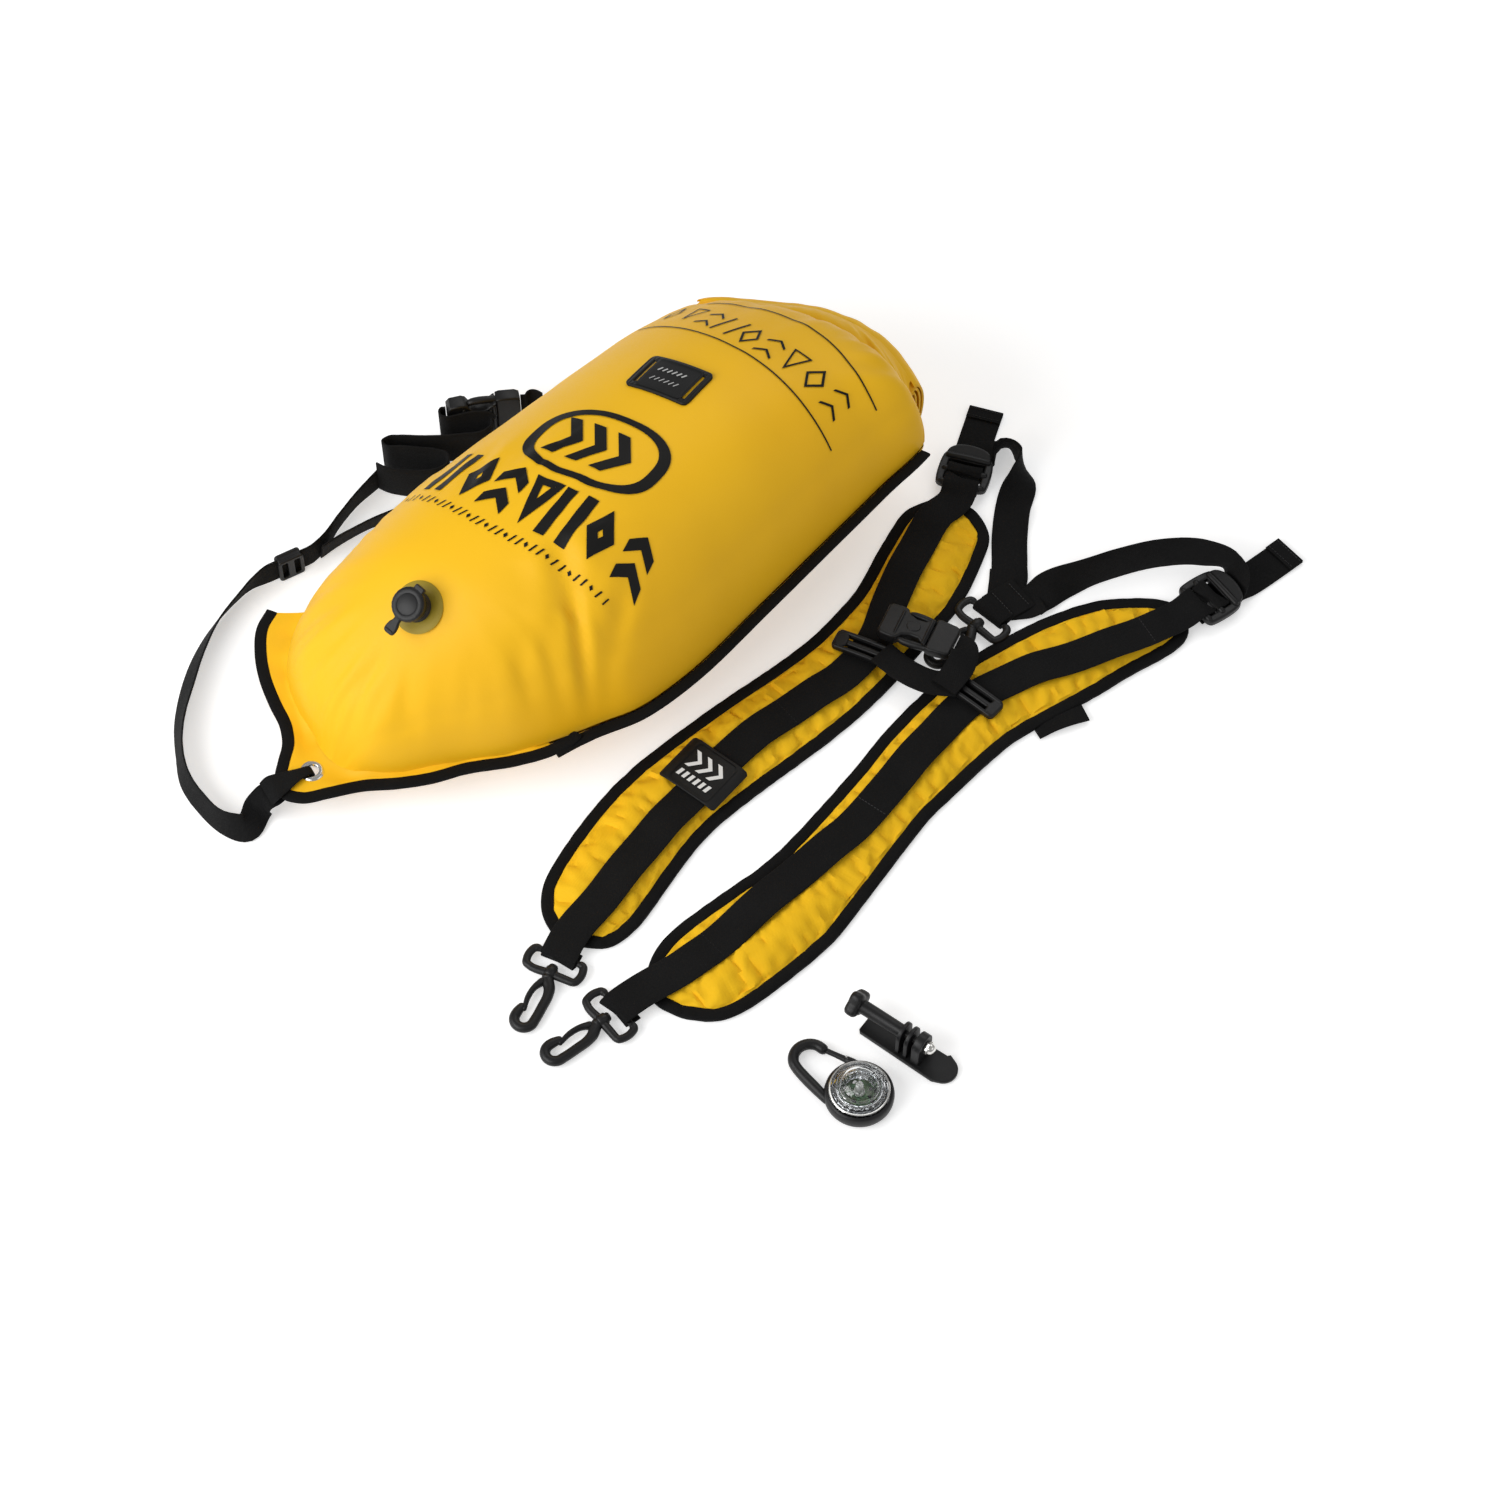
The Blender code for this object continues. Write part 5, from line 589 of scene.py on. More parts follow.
def slab(name, node, place, outlines, low, high, soft, finish=PLASTIC, replaces=False):
    """A plate between two levels with its edges rounded over, in millimetres; holes follow the outline."""
    curve = bpy.data.curves.new(name, "CURVE")
    curve.dimensions = "2D"
    curve.fill_mode = "BOTH"
    curve.extrude = ((high - low) / 2 - soft) * MM
    curve.bevel_depth = soft * MM
    curve.bevel_resolution = 3
    curve.offset = -soft * MM
    for outline in outlines:
        spline = curve.splines.new("POLY")
        spline.points.add(len(outline) - 1)
        for point, (x, y) in zip(spline.points, outline, strict=True):
            point.co = (x * MM, y * MM, 0.0, 1.0)
        spline.use_cyclic_u = True
    holder = new_object(name + "_outline", curve)
    mesh = bpy.data.meshes.new_from_object(holder)
    bpy.data.objects.remove(holder)
    mesh.transform(place @ Matrix.Translation((0.0, 0.0, (low + high) / 2 * MM)))
    mesh.shade_smooth()
    mesh.set_sharp_from_angle(angle=math.radians(40))
    return placed_mesh(name, mesh, node, replaces, finish)


def bar(name, node, place, rows, flat=1.0, closed=False, replaces=False):
    """A round bar through rows of x, y, z and radius in millimetres, with round ends."""
    line = smoothed(rows + rows[:1] if closed else rows, 5) * MM
    if closed:
        line = line[:-1]
    else:
        first, last = line[0], line[-1]
        ahead = (line[1] - line[0]) / np.linalg.norm(line[1, :3] - line[0, :3])
        behind = (line[-1] - line[-2]) / np.linalg.norm(line[-1, :3] - line[-2, :3])
        caps = [(0.97, 0.25), (0.8, 0.6), (0.45, 0.89)]
        start = [[*(first[:3] - ahead[:3] * first[3] * out), first[3] * r] for out, r in caps]
        end = [[*(last[:3] + behind[:3] * last[3] * out), last[3] * r] for out, r in reversed(caps)]
        line = np.array(start + line.tolist() + end)
    verts = []
    for i, (x, y, z, radius) in enumerate(line):
        after = line[(i + 1) % len(line)] if closed else line[min(i + 1, len(line) - 1)]
        before = line[i - 1] if closed else line[max(i - 1, 0)]
        heading = Vector(after[:3] - before[:3]).normalized()
        up = Vector((0.0, 0.0, 1.0)) if abs(heading.z) < 0.9 else Vector((0.0, 1.0, 0.0))
        side = heading.cross(up).normalized()
        up = side.cross(heading)
        for k in range(BAR_SIDES):
            angle = 2 * math.pi * k / BAR_SIDES
            out = side * math.cos(angle) * radius + up * math.sin(angle) * radius * flat
            verts.append(place @ (Vector((x, y, z)) + out))
    mesh = new_mesh(name, verts, tube_faces(len(line), BAR_SIDES, closed))
    return placed_mesh(name, mesh, node, replaces, PLASTIC)


def turned(name, node, place, profile, finish=PLASTIC, replaces=False, sides=56, lobes=None):
    """A turned piece through pairs of radius and level in millimetres; lobes change its radius by angle."""
    verts = []
    for radius, level in profile:
        for k in range(sides):
            angle = 2 * math.pi * k / sides
            r = radius * (lobes(angle, level) if lobes else 1.0)
            verts.append(place @ Vector((r * MM * math.cos(angle), r * MM * math.sin(angle), level * MM)))
    mesh = new_mesh(name, verts, grid_faces(len(profile), sides, closed_columns=True), 38)
    return placed_mesh(name, mesh, node, replaces, finish)


# The bag


def seam_level(x, y):
    places = [share * BAG_LENGTH for share in SEAM_PLACE_SHARES]
    middle = np.interp(y, places, SEAM_LEVELS)
    return float(middle + x * np.interp(y, places, LEAN_SHARES))


def bag_rows(count):
    rows = np.array(BAG_ROW_SHARES) * ([BAG_LENGTH] * 5 + [BAG_HEIGHT] * 2)
    return spread_evenly(smoothed(rows, 12), count, flat=4)


def radial_folds(x, y):
    """Height of the small folds that run out from the bag's front."""
    px, py = x - NOSE_FOLD_PLACE[0], y - NOSE_FOLD_PLACE[1]
    away, turn = math.hypot(px, py), math.atan2(px, -py)
    return bell(away - 0.098, 0.030) * (0.0044 * drift(turn * 5.2, 0.4, 8.8)
                                        + 0.0022 * drift(turn * 12.0, away * 20, 2.2))


def calm(x, y):
    """Share of the folds that shows at a place: none under the valve's flange and the lash patch."""
    share = 1.0
    for (cx, cy), radius in CALM_PLACES:
        away = math.hypot(x - cx * BAG_LENGTH, y - cy * BAG_LENGTH)
        share = min(share, max(0.0, (away - radius) / CALM_FADE))
    return share


def fold_depth(x, y):
    """Depth in metres of the pressed folds at a place in plan."""
    total = 0.0
    for ax, ay, bx, by, wide, deep in FOLDS:
        px, py, dx, dy = x / MM - ax, y / MM - ay, bx - ax, by - ay
        length = math.hypot(dx, dy)
        along = (px * dx + py * dy) / length
        off = abs(px * dy - py * dx) / length
        if -wide < along < length + wide and off < 3.2 * wide:
            ending = (length + wide - along) / (0.6 * length)
            fade = min(1.0, max(0.0, (along + wide) / wide), max(0.0, ending))
            total += deep * MM * fade * (bell(off, wide) - 0.45 * bell(off - 1.7 * wide, wide))
    return total


def panel_level(share, place, row_y, heights, upper):
    """Level of a panel at a share of its width, and how near that is to the crown's top."""
    top, under = heights
    middle = seam_level(0.0, row_y)
    crest = (share - CREST_SHIFT) / (1 - CREST_SHIFT * share)
    crown = (1 - abs(crest) ** CROWN_POWER) ** CROWN_ROOT
    seam = seam_level(*place)
    if upper:
        return seam + SEAM_HALF + (top - middle - SEAM_HALF) * crown, crown
    return max(0.0, seam - SEAM_HALF - (middle - SEAM_HALF - under) * crown), crown


def unevenness(x, y, share, crown, edge, front, back, row):
    """How far puckers, folds and slow waves move a place on the upper panel, in metres."""
    side = drift(y * 46, share * 3, 1.7) * math.exp(-edge / 0.026) * min(1.0, edge / 0.006)
    nose = drift(share * 5.5, 4.1, row * 0.02) * math.exp(-front / 0.060)
    mouth = drift(share * 7.0, 9.3, row * 0.02) * math.exp(-back / 0.040)
    wave = drift(x * 14, y * 14, 3.0) * 0.0009
    groove = 0.0009 * bell(edge - 0.0125, 0.0028) if share > 0 else 0.0
    change = crown * (0.0016 * nose + 0.0028 * mouth + wave) + 0.0018 * side - groove
    change += radial_folds(x, y) * min(1.0, crown * 1.6)
    change -= fold_depth(x, y) * min(1.0, crown * 1.5)
    return change * calm(x, y)


def bag_points(rows, columns, upper):
    """Rows of points over one panel, closer together towards its welds."""
    sheet = []
    last = len(rows) - 1
    for i, (left_x, left_y, right_x, right_y, bow, top, under) in enumerate(rows):
        for k in range(columns):
            share = math.sin(math.pi / 2 * (2 * k / (columns - 1) - 1))
            along = (share + 1) / 2
            x = left_x + (right_x - left_x) * along
            y = left_y + (right_y - left_y) * along + bow * (1 - share**2)
            z, crown = panel_level(share, (x, y), (left_y + right_y) / 2, (top, under), upper)
            if upper:
                edge = (1 - abs(share)) * (right_x - left_x) / 2
                front, back = i / last * BAG_LENGTH, (last - i) / last * BAG_LENGTH
                z += unevenness(x, y, share, crown, edge, front, back, i)
                z = max(z, seam_level(x, y) + SEAM_HALF)
            sheet.append((x, y, z))
    return sheet


def coated(name, verts, faces, node="top_panel", replaces=False, uvs=None, crease=180.0):
    """A piece of the bag's fabric; without uvs the weave follows the plan."""
    plan = [(x, y) for x, y, _ in verts]
    return piece(name, verts, faces, COATED, node, replaces, uvs or plan, crease)


def clear_of(points, faces, centre, radius):
    """Faces whose middle lies further in plan than a radius from a centre."""
    kept = []
    for face in faces:
        x, y = (sum(points[v][axis] for v in face) / len(face) for axis in (0, 1))
        if math.hypot(x - centre[0], y - centre[1]) > radius:
            kept.append(face)
    return kept


def build_bag():
    rows = bag_rows(PANEL_ROWS)
    top = bag_points(rows, PANEL_COLUMNS, upper=True)
    faces = grid_faces(PANEL_ROWS, PANEL_COLUMNS)
    valve = [share * BAG_LENGTH for share in VALVE_SHARE]
    coated("bag_skin", top, clear_of(top, faces, valve, VALVE_HOLE), "top_panel", True)
    under = bag_points(bag_rows(UNDERSIDE_ROWS), UNDERSIDE_COLUMNS, upper=False)
    downwards = [face[::-1] for face in grid_faces(UNDERSIDE_ROWS, UNDERSIDE_COLUMNS)]
    coated("bag_underside", under, downwards, "bottom_panel", True)
    return BVHTree.FromPolygons(top, faces)


def rim(side, start, end):
    """The bag's seam on one side in plan, between two shares of its length."""
    column = 0 if side < 0 else 2
    line = spread_evenly([row[column : column + 2] for row in bag_rows(RIM_ROWS)], 200, flat=2)
    return [tuple(p) for p in line if start * BAG_LENGTH <= p[1] <= end * BAG_LENGTH]


def nose_line(count):
    line = [(x * BAG_LENGTH, y * BAG_LENGTH) for x, y in NOSE_BINDING_SHARES]
    return spread_evenly(smoothed(line, 12), count, flat=2)


def tape_band(name, node, near, far, base, thickness, closed=False, ripple=0.0002):
    """A folded tape between two plan lines, with round edges and a slight ripple."""
    verts, uvs, along = [], [], 0.0
    sides = 12
    for i, ((ax, ay), (bx, by)) in enumerate(zip(near, far, strict=True)):
        width = math.hypot(bx - ax, by - ay)
        if i:
            along += math.hypot(ax - near[i - 1][0], ay - near[i - 1][1])
        for k in range(sides):
            angle = 2 * math.pi * k / sides
            across = 0.5 + 0.5 * squared(math.cos(angle), 0.5)
            wobble = ripple * drift(along * 160, k * 0.7, len(name))
            x, y = ax + (bx - ax) * across, ay + (by - ay) * across
            z = base(x, y) + thickness * (0.5 + 0.5 * squared(math.sin(angle), 0.6))
            verts.append((x, y, max(z + wobble, 0.0)))
            uvs.append((along, across * width))
    piece(name, verts, tube_faces(len(near), sides, closed), TAPE, node, True, uvs, crease=50.0)


def build_bindings():
    start, end = LEFT_BINDING_SHARES
    half = BINDING_WIDTH / 2
    outward = half + 3 * CLEARANCE
    left = side_steps(spread_evenly(rim(-1, start + BINDING_WIDTH / BAG_LENGTH, end), 90, flat=2), outward)
    right = side_steps(spread_evenly(rim(1, *RIGHT_BINDING_SHARES), 120, flat=2), -outward)
    for k in range(12):
        right[k] += np.array([0.0034, -0.0018]) * (1 - k / 12) ** 2
    front = np.vstack([nose_line(150), [(0.0972, -0.0950), (0.0974, -0.0915), (0.0966, -0.0885)]])
    for node, line, lift in (("nose_binding", front, 0.0022), ("left_binding", left, 0.0),
                             ("right_binding", right, 0.0)):

        def base(x, y, end=line[-1], lift=lift):
            away = math.hypot(x - end[0], y - end[1])
            rise = lift * max(0.0, 1.0 - away / 0.022)
            return seam_level(x, y) + rise - BINDING_THICKNESS / 2

        tape_band(node + "_tape", node, side_steps(line, -half), side_steps(line, half), base,
                  BINDING_THICKNESS)


def build_nose_tab():
    """The flat welded nose, which runs on under the bag's rim."""
    left, right = (rim(side, -1.0, end) for side, end in zip((-1, 1), NOSE_SEAM_SHARES))
    front = bag_rows(RIM_ROWS)[0]
    bow = []
    for k in range(1, 12):
        share = math.sin(math.pi / 2 * (2 * k / 12 - 1))
        along = (share + 1) / 2
        bow.append((front[0] + (front[2] - front[0]) * along,
                    front[1] + (front[3] - front[1]) * along + front[4] * (1 - share**2)))
    edge = side_steps(nose_line(120), BINDING_WIDTH / 2 - 0.001)
    inner = side_steps(spread_evenly(left[::-1] + bow + right, 120, flat=2), 0.004)
    reach = np.linalg.norm(edge - inner[-1], axis=1)
    outer = edge[: int(reach.argmin()) + 1]
    inner = spread_evenly(inner, len(outer), flat=2)
    top = []
    for (ax, ay), (bx, by) in zip(outer, inner, strict=True):
        for k in range(NOSE_COLUMNS):
            share = k / (NOSE_COLUMNS - 1)
            x, y = ax + (bx - ax) * share, ay + (by - ay) * share
            wave = 0.0009 * drift(x * 60, y * 60, 5.0) * math.sin(math.pi * share)
            wave += radial_folds(x, y) * 0.7 * share
            rise = 0.0042 * max(0.0, (share - 0.45) / 0.55) ** 2
            top.append((x, y, seam_level(x, y) + NOSE_THICKNESS / 2 + wave + rise))
    under = [(x, y, z - NOSE_THICKNESS) for x, y, z in top]
    eyelet = [share * BAG_LENGTH for share in EYELET_SHARE]
    faces = clear_of(top, grid_faces(len(outer), NOSE_COLUMNS), eyelet, EYELET_HOLE)
    faces += [tuple(v + len(top) for v in face[::-1]) for face in faces]
    coated("nose_tab_skin", top + under, faces, "nose_tab", True)


def end_narrowing(steps):
    """Share of the roll's height at some steps from its end."""
    return 1.0 - 0.15 * math.exp(-steps / 2.5)


def build_roll():
    """The mouth rolled up flat; returns its middle line, onto which the panels gather."""
    line = spread_evenly(smoothed([[v * BAG_LENGTH for v in row] for row in ROLL_SHARES], 10), 60)
    outline = []
    for wall in (0.0, ROLL_WALL):
        side = []
        for i in range(ROLL_STEPS + 1):
            turn = ROLL_TURNS * i / ROLL_STEPS
            inward = ROLL_PITCH * turn + wall
            side.append((ROLL_DEPTH / 2 - inward, ROLL_HEIGHT / 2 - inward,
                         2 * math.pi * turn + math.pi / 2))
        outline += side if not wall else side[::-1]
    verts, uvs = [], []
    for i, (x, y, z) in enumerate(line):
        tight = end_narrowing(min(i, len(line) - 1 - i))
        for deep, high, angle in outline:
            ripple = tight + 0.025 * drift(i * 0.10, angle * 0.9, 2.0)
            a, b = -deep * math.cos(angle) * ripple, high * math.sin(angle) * ripple
            pinch = 0.0008 * drift(i * 0.25, angle * 0.5, 7.0)
            verts.append((x, y + a + pinch, max(z + b, 0.0005)))
            uvs.append((x, angle * 0.02))
    coated("roll_skin", verts, tube_faces(len(line), len(outline)), "roll_top", True, uvs, 70.0)
    return line


def gathered(upper, roll):
    """Rows of points from the end of one panel onto the roll."""
    start = bag_points(bag_rows(PANEL_ROWS), PANEL_COLUMNS, upper)[-PANEL_COLUMNS:]
    last = len(roll) - 1
    angle = math.radians(90 if upper else -66)
    verts, uvs = [], []
    for s in range(GATHER_ROWS):
        t = s / (GATHER_ROWS - 1)
        arch = math.sin(math.pi * t)
        for k, (x, y, z) in enumerate(start):
            along = 0.02 + 0.96 * k / (PANEL_COLUMNS - 1)
            ex, ey, ez = (np.interp(along * last, range(len(roll)), roll[:, a]) for a in range(3))
            ey -= ROLL_DEPTH / 2 * math.cos(angle) * 0.98
            ez += ROLL_HEIGHT / 2 * math.sin(angle) * end_narrowing(min(along, 1 - along) * last)
            bulge = arch * (0.0035 + 0.002 * drift(k * 0.10, 3.3, 1.0))
            crease = 0.0022 * drift(k * 0.16, t * 0.8, 5.0) * arch
            ez -= 0.0 if upper else 0.0012
            smooth = t * t * (3 - 2 * t)
            verts.append((x + (ex - x) * smooth, y + (ey - y) * t,
                          z + (ez - z) * smooth + (bulge if upper else -bulge) + crease))
            uvs.append((x, y + t * 0.02))
    return verts, uvs


def build_gathers(roll):
    """The last of each panel, drawn together onto the roll, and a fold tucked in at each side."""
    edges = []
    for upper, name in ((True, "mouth_gather_top"), (False, "mouth_gather_under")):
        verts, uvs = gathered(upper, roll)
        faces = [face if upper else face[::-1] for face in grid_faces(GATHER_ROWS, PANEL_COLUMNS)]
        coated(name, verts, faces, uvs=uvs)
        edges.append([verts[k::PANEL_COLUMNS] for k in (0, PANEL_COLUMNS - 1)])
    for k, (side, inward) in enumerate((("left", 1), ("right", -1))):
        verts = []
        for s, (a, b) in enumerate(zip(edges[0][k], edges[1][k], strict=True)):
            for share in (0.0, 0.2, 0.4, 0.6, 0.8, 1.0):
                x, y, z = (p + (q - p) * share for p, q in zip(a, b))
                tucked = inward * 0.010 * math.sin(math.pi * share) * s / (GATHER_ROWS - 1)
                verts.append((x + tucked, y, z))
        coated(f"mouth_fold_{side}", verts, grid_faces(GATHER_ROWS, 6), uvs=[(y, z) for _, y, z in verts])


# Marks printed on the bag, and raised on the label and the patch


def stroke(points, width, step=3.0):
    """Points and faces of one flat stroke in millimetres; a closed stroke repeats its first point."""
    line = np.array(points, float)
    lengths = np.linalg.norm(np.diff(line, axis=0), axis=1)
    line = spread_evenly(line, max(3, int(lengths.sum() / step) + 1), flat=2)
    lanes = max(2, int(width / step) + 2)
    closed = np.linalg.norm(line[0] - line[-1]) < 1e-6
    if closed:
        line = line[:-1]
    sides = [side_steps(line, width * (k / (lanes - 1) - 0.5), closed) for k in range(lanes)]
    places = [tuple(sides[k][i]) for i in range(len(line)) for k in range(lanes)]
    return places, [face[::-1] for face in grid_faces(len(line), lanes, closed_rows=closed)]


def over(tree, x, y):
    """Where a line straight down through a place in plan meets a surface, and the way it faces there."""
    return tree.ray_cast(Vector((x, y, 0.5)), Vector((0.0, 0.0, -1.0)))[:2]


def laid(name, node, tree, parts, finish, lift):
    """Strokes laid over a surface; each part holds a centre, a turn and its strokes, in millimetres.

    A part without a turn holds places in plan, not sizes on the surface."""
    verts, faces = [], []
    for (cx, cy), turn, strokes in parts:
        angle = turn or 0.0
        ways = [Vector((math.cos(angle), math.sin(angle), 0.0)),
                Vector((-math.sin(angle), math.cos(angle), 0.0))]
        centre, facing = over(tree, cx * MM, cy * MM)
        shares = [1.0, 1.0]
        if turn is not None:
            shares = [1 / math.hypot(1.0, facing.dot(way) / facing.z) for way in ways]
        for places, polygons in strokes:
            start = len(verts)
            for u, v in places:
                spot = ways[0] * u * shares[0] + ways[1] * v * shares[1]
                x, y = cx * MM + spot.x * MM, cy * MM + spot.y * MM
                hit = over(tree, x, y)[0]
                verts.append((x, y, (hit.z if hit else centre.z) + lift))
            faces += [tuple(v + start for v in face) for face in polygons]
    upright = []
    for face in faces:
        a, b, c = (Vector(verts[v]) for v in face[:3])
        upright.append(face if (b - a).cross(c - b).z > 0 else face[::-1])
    return piece(name, verts, upright, finish, node, crease=180.0)


def arc_row(start, middle, end, count):
    """Evenly spaced places in millimetres on the curve through three places, with their headings."""
    line = spread_evenly(smoothed([start, middle, end], 20), count, flat=2)
    heading = np.gradient(line, axis=0)
    return [((x, y), math.atan2(dy, dx)) for (x, y), (dx, dy) in zip(line, heading, strict=True)]


def patches(quads, step=3.0):
    """Points and faces of four-sided patches in millimetres, split to follow what they lie on."""
    places, faces = [], []
    for a, b, c, d in quads:
        long = max(math.dist(a, b), math.dist(d, c))
        tall = max(math.dist(b, c), math.dist(a, d))
        columns, rows = max(2, int(long / step) + 2), max(2, int(tall / step) + 2)
        start = len(places)
        for i in range(rows):
            for k in range(columns):
                u, v = k / (columns - 1), i / (rows - 1)
                low = (a[0] + (b[0] - a[0]) * u, a[1] + (b[1] - a[1]) * u)
                high = (d[0] + (c[0] - d[0]) * u, d[1] + (c[1] - d[1]) * u)
                places.append((low[0] + (high[0] - low[0]) * v, low[1] + (high[1] - low[1]) * v))
        faces += [tuple(v + start for v in face[::-1]) for face in grid_faces(rows, columns)]
    return places, faces


def ringed(outline, share, centre=(0.0, 0.0)):
    """Patches between an outline and its smaller copy."""
    cx, cy = centre
    inner = [(cx + (x - cx) * share, cy + (y - cy) * share) for x, y in outline]
    count = len(outline)
    return [(outline[k], outline[(k + 1) % count], inner[(k + 1) % count], inner[k]) for k in range(count)]


def plain_shapes(w, h, thick):
    """Slanted bars, a rhomb, a pair of chevrons and a triangle, within half sizes w and h."""
    bars = [((x - 3, -h), (x - 3 + thick, -h), (x + 1 + thick, h), (x + 1, h)) for x in (-w, w + 1 - thick)]
    rhomb = ringed([(0, h), (w, 0), (0, -h), (-w, 0)], 1 - thick / (w * h / math.hypot(w, h)))
    rise, deep = h * 0.48, thick * 1.25
    chevrons = [((side * w, y), (0, y + rise), (0, y + rise + deep), (side * w, y + deep))
                for y in (-h, h - rise - deep) for side in (-1, 1)]
    inside = 2 * w * h / (w + math.hypot(w, 2 * h))
    triangle = ringed([(0, -h), (w, h), (-w, h)], 1 - 0.75 * thick / inside, (0, h - inside))
    return [bars, rhomb, chevrons, triangle]


def build_bag_marks(tree):
    """A plain pattern of thin arcs, rhombs, chevrons and bars, in place of any words."""
    parts = []
    for row in (((-58, 193), (30, 203), (104, 190)), ((-78, 146), (20, 149), (105, 145))):
        cx, cy = row[1]
        line = [(x - cx, y - cy) for (x, y), _ in arc_row(*row, 60)]
        parts.append(((cx, cy), None, [stroke(line, 1.1)]))
    slash = [((-2.2, -3.0), (-0.8, -3.0), (2.2, 3.0), (0.8, 3.0))]
    dot = [((-1.5, 0), (0, -2.2), (1.5, 0), (0, 2.2))]
    # Each row: its start, middle and end, its shapes, which shape stands at each place, and its step
    for start, middle, end, shapes, order, step in (
        ((-68, 172), (16, 166), (88, 168), plain_shapes(7.8, 11.5, 1.8), (1, 3, 2, 0, 1, 2, 3, 1, 2), 3.0),
        ((-66, -38), (10, -34), (82, -16), plain_shapes(11.4, 19.5, 8.0), (0, 1, 2, 3, 0, 1, 2), 2.5),
        ((-84, -66), (2, -65), (84, -45), [dot, slash], (0, 1, 1) * 11, 3.0),
    ):
        for shape, (place, turn) in zip(order, arc_row(start, middle, end, len(order)), strict=True):
            parts.append((place, turn, [patches(shapes[shape], step)]))
    outline = []
    for k in range(60):
        c, s = math.cos(2 * math.pi * k / 60), math.sin(2 * math.pi * k / 60)
        outline.append((51 * squared(c, 0.75) + 5 * s, 31 * squared(s, 0.75)))
    emblem = ringed(outline, 0.84)
    for x in (-24, -4, 16):
        emblem += [((x - 10, side * 17), (x, side * 17), (x + 13, 0), (x + 3, 0)) for side in (-1, 1)]
    parts.append(((8, 23), 0.16, [patches(emblem, 2.5)]))
    laid("bag_marks", "top_panel", tree, parts, INK, 0.0007)


def patch_quads():
    """The lash patch in millimetres: strips across a rounded rectangle, two of them open in the middle."""
    edges = [-26, -25.4, -24.4, -23, -21.9, -18.7, -12, -6, 0, 6, 12, 18.7, 21.9, 23, 24.4, 25.4, 26]
    quads = []
    for a, b in zip(edges, edges[1:]):
        high = [13 + math.sqrt(16 - max(0.0, abs(x) - 22) ** 2) for x in (a, b)]
        slot = 18.7 < abs(a + b) / 2 < 21.9
        for low in ((-12.5, 12.5) if slot else (None,)):
            if low is None:
                quads.append(((a, -high[0]), (b, -high[1]), (b, high[1]), (a, high[0])))
            else:
                side = math.copysign(1, low)
                quads.append(((a, low), (b, low), (b, side * high[1]), (a, side * high[0])))
    return quads


def build_patch_and_label(bag_top):
    def on_patch(name, strokes, finish, lift):
        return laid(name, "lash_patch", bag_top, [((1, 98), math.radians(9.0), strokes)], finish, lift)

    patch = on_patch("patch_body", [patches(patch_quads(), 2.5)], RUBBER, 0.0018)
    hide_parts("lash_patch")
    weld = patch.modifiers.new("weld", "WELD")
    weld.merge_threshold = 0.00005
    body = patch.modifiers.new("thickness", "SOLIDIFY")
    body.thickness, body.offset = 0.0019, -1.0
    ridge = rounded(39.0, 29.0, 4.0)
    on_patch("patch_ridge", [stroke(ridge + ridge[:1], 1.1, 1.5)], RUBBER, 0.0023)
    dashes = [stroke([(x - 1.1, 3.2), (x + 1.1, 6.6)], 1.3, 1.0) for x in range(-11, 13, 4)]
    dashes += [stroke([(x, -6.6), (x + 2.4, -3.2)], 0.8, 1.0) for x in range(-12, 12, 4)]
    on_patch("patch_dashes", dashes, GREY_PRINT, 0.0021)

    copied("pad_label", RUBBER, 0.0006)
    mesh = frame["nodes"]["pad_label"].data
    label = BVHTree.FromPolygons([v.co for v in mesh.vertices], [tuple(p.vertices) for p in mesh.polygons])
    ridge = rounded(33.0, 34.5, 3.0)
    chevrons = [((x, side * 7 + 4), (x + 3.6, side * 7 + 4), (x + 9.6, 4), (x + 6, 4))
                for x in (-14, -5, 4) for side in (-1, 1)]
    bars = [((x, -12), (x + 2.6, -12), (x + 3.6, -6.4), (x + 1, -6.4))
            for x in (-14, -9.4, -4.8, -0.2, 4.4, 9)]
    for name, strokes, finish, lift in (
        ("label_ridge", [stroke(ridge + ridge[:1], 1.2, 1.5)], RUBBER, 0.0006),
        ("label_marks", [patches(chevrons, 1.5), patches(bars, 1.5)], WHITE_PRINT, 0.0005),
    ):
        laid(name, "pad_label", label, [((165.5, -40), math.radians(5.0), strokes)], finish, lift)


# Webbing


def webbing_outline(width, thickness):
    """Places across and up around a strip of webbing with round edges."""
    half, high = width / 2, thickness / 2
    bend = 0.9 * high
    flat = [-1.0, -0.6, -0.2, 0.2, 0.6, 1.0]
    outline = [(share * (half - bend), -high) for share in flat]
    outline += [(half - 0.3 * bend, -0.7 * high), (half, 0.0), (half - 0.3 * bend, 0.7 * high)]
    return outline + [(-u, -v) for u, v in outline]


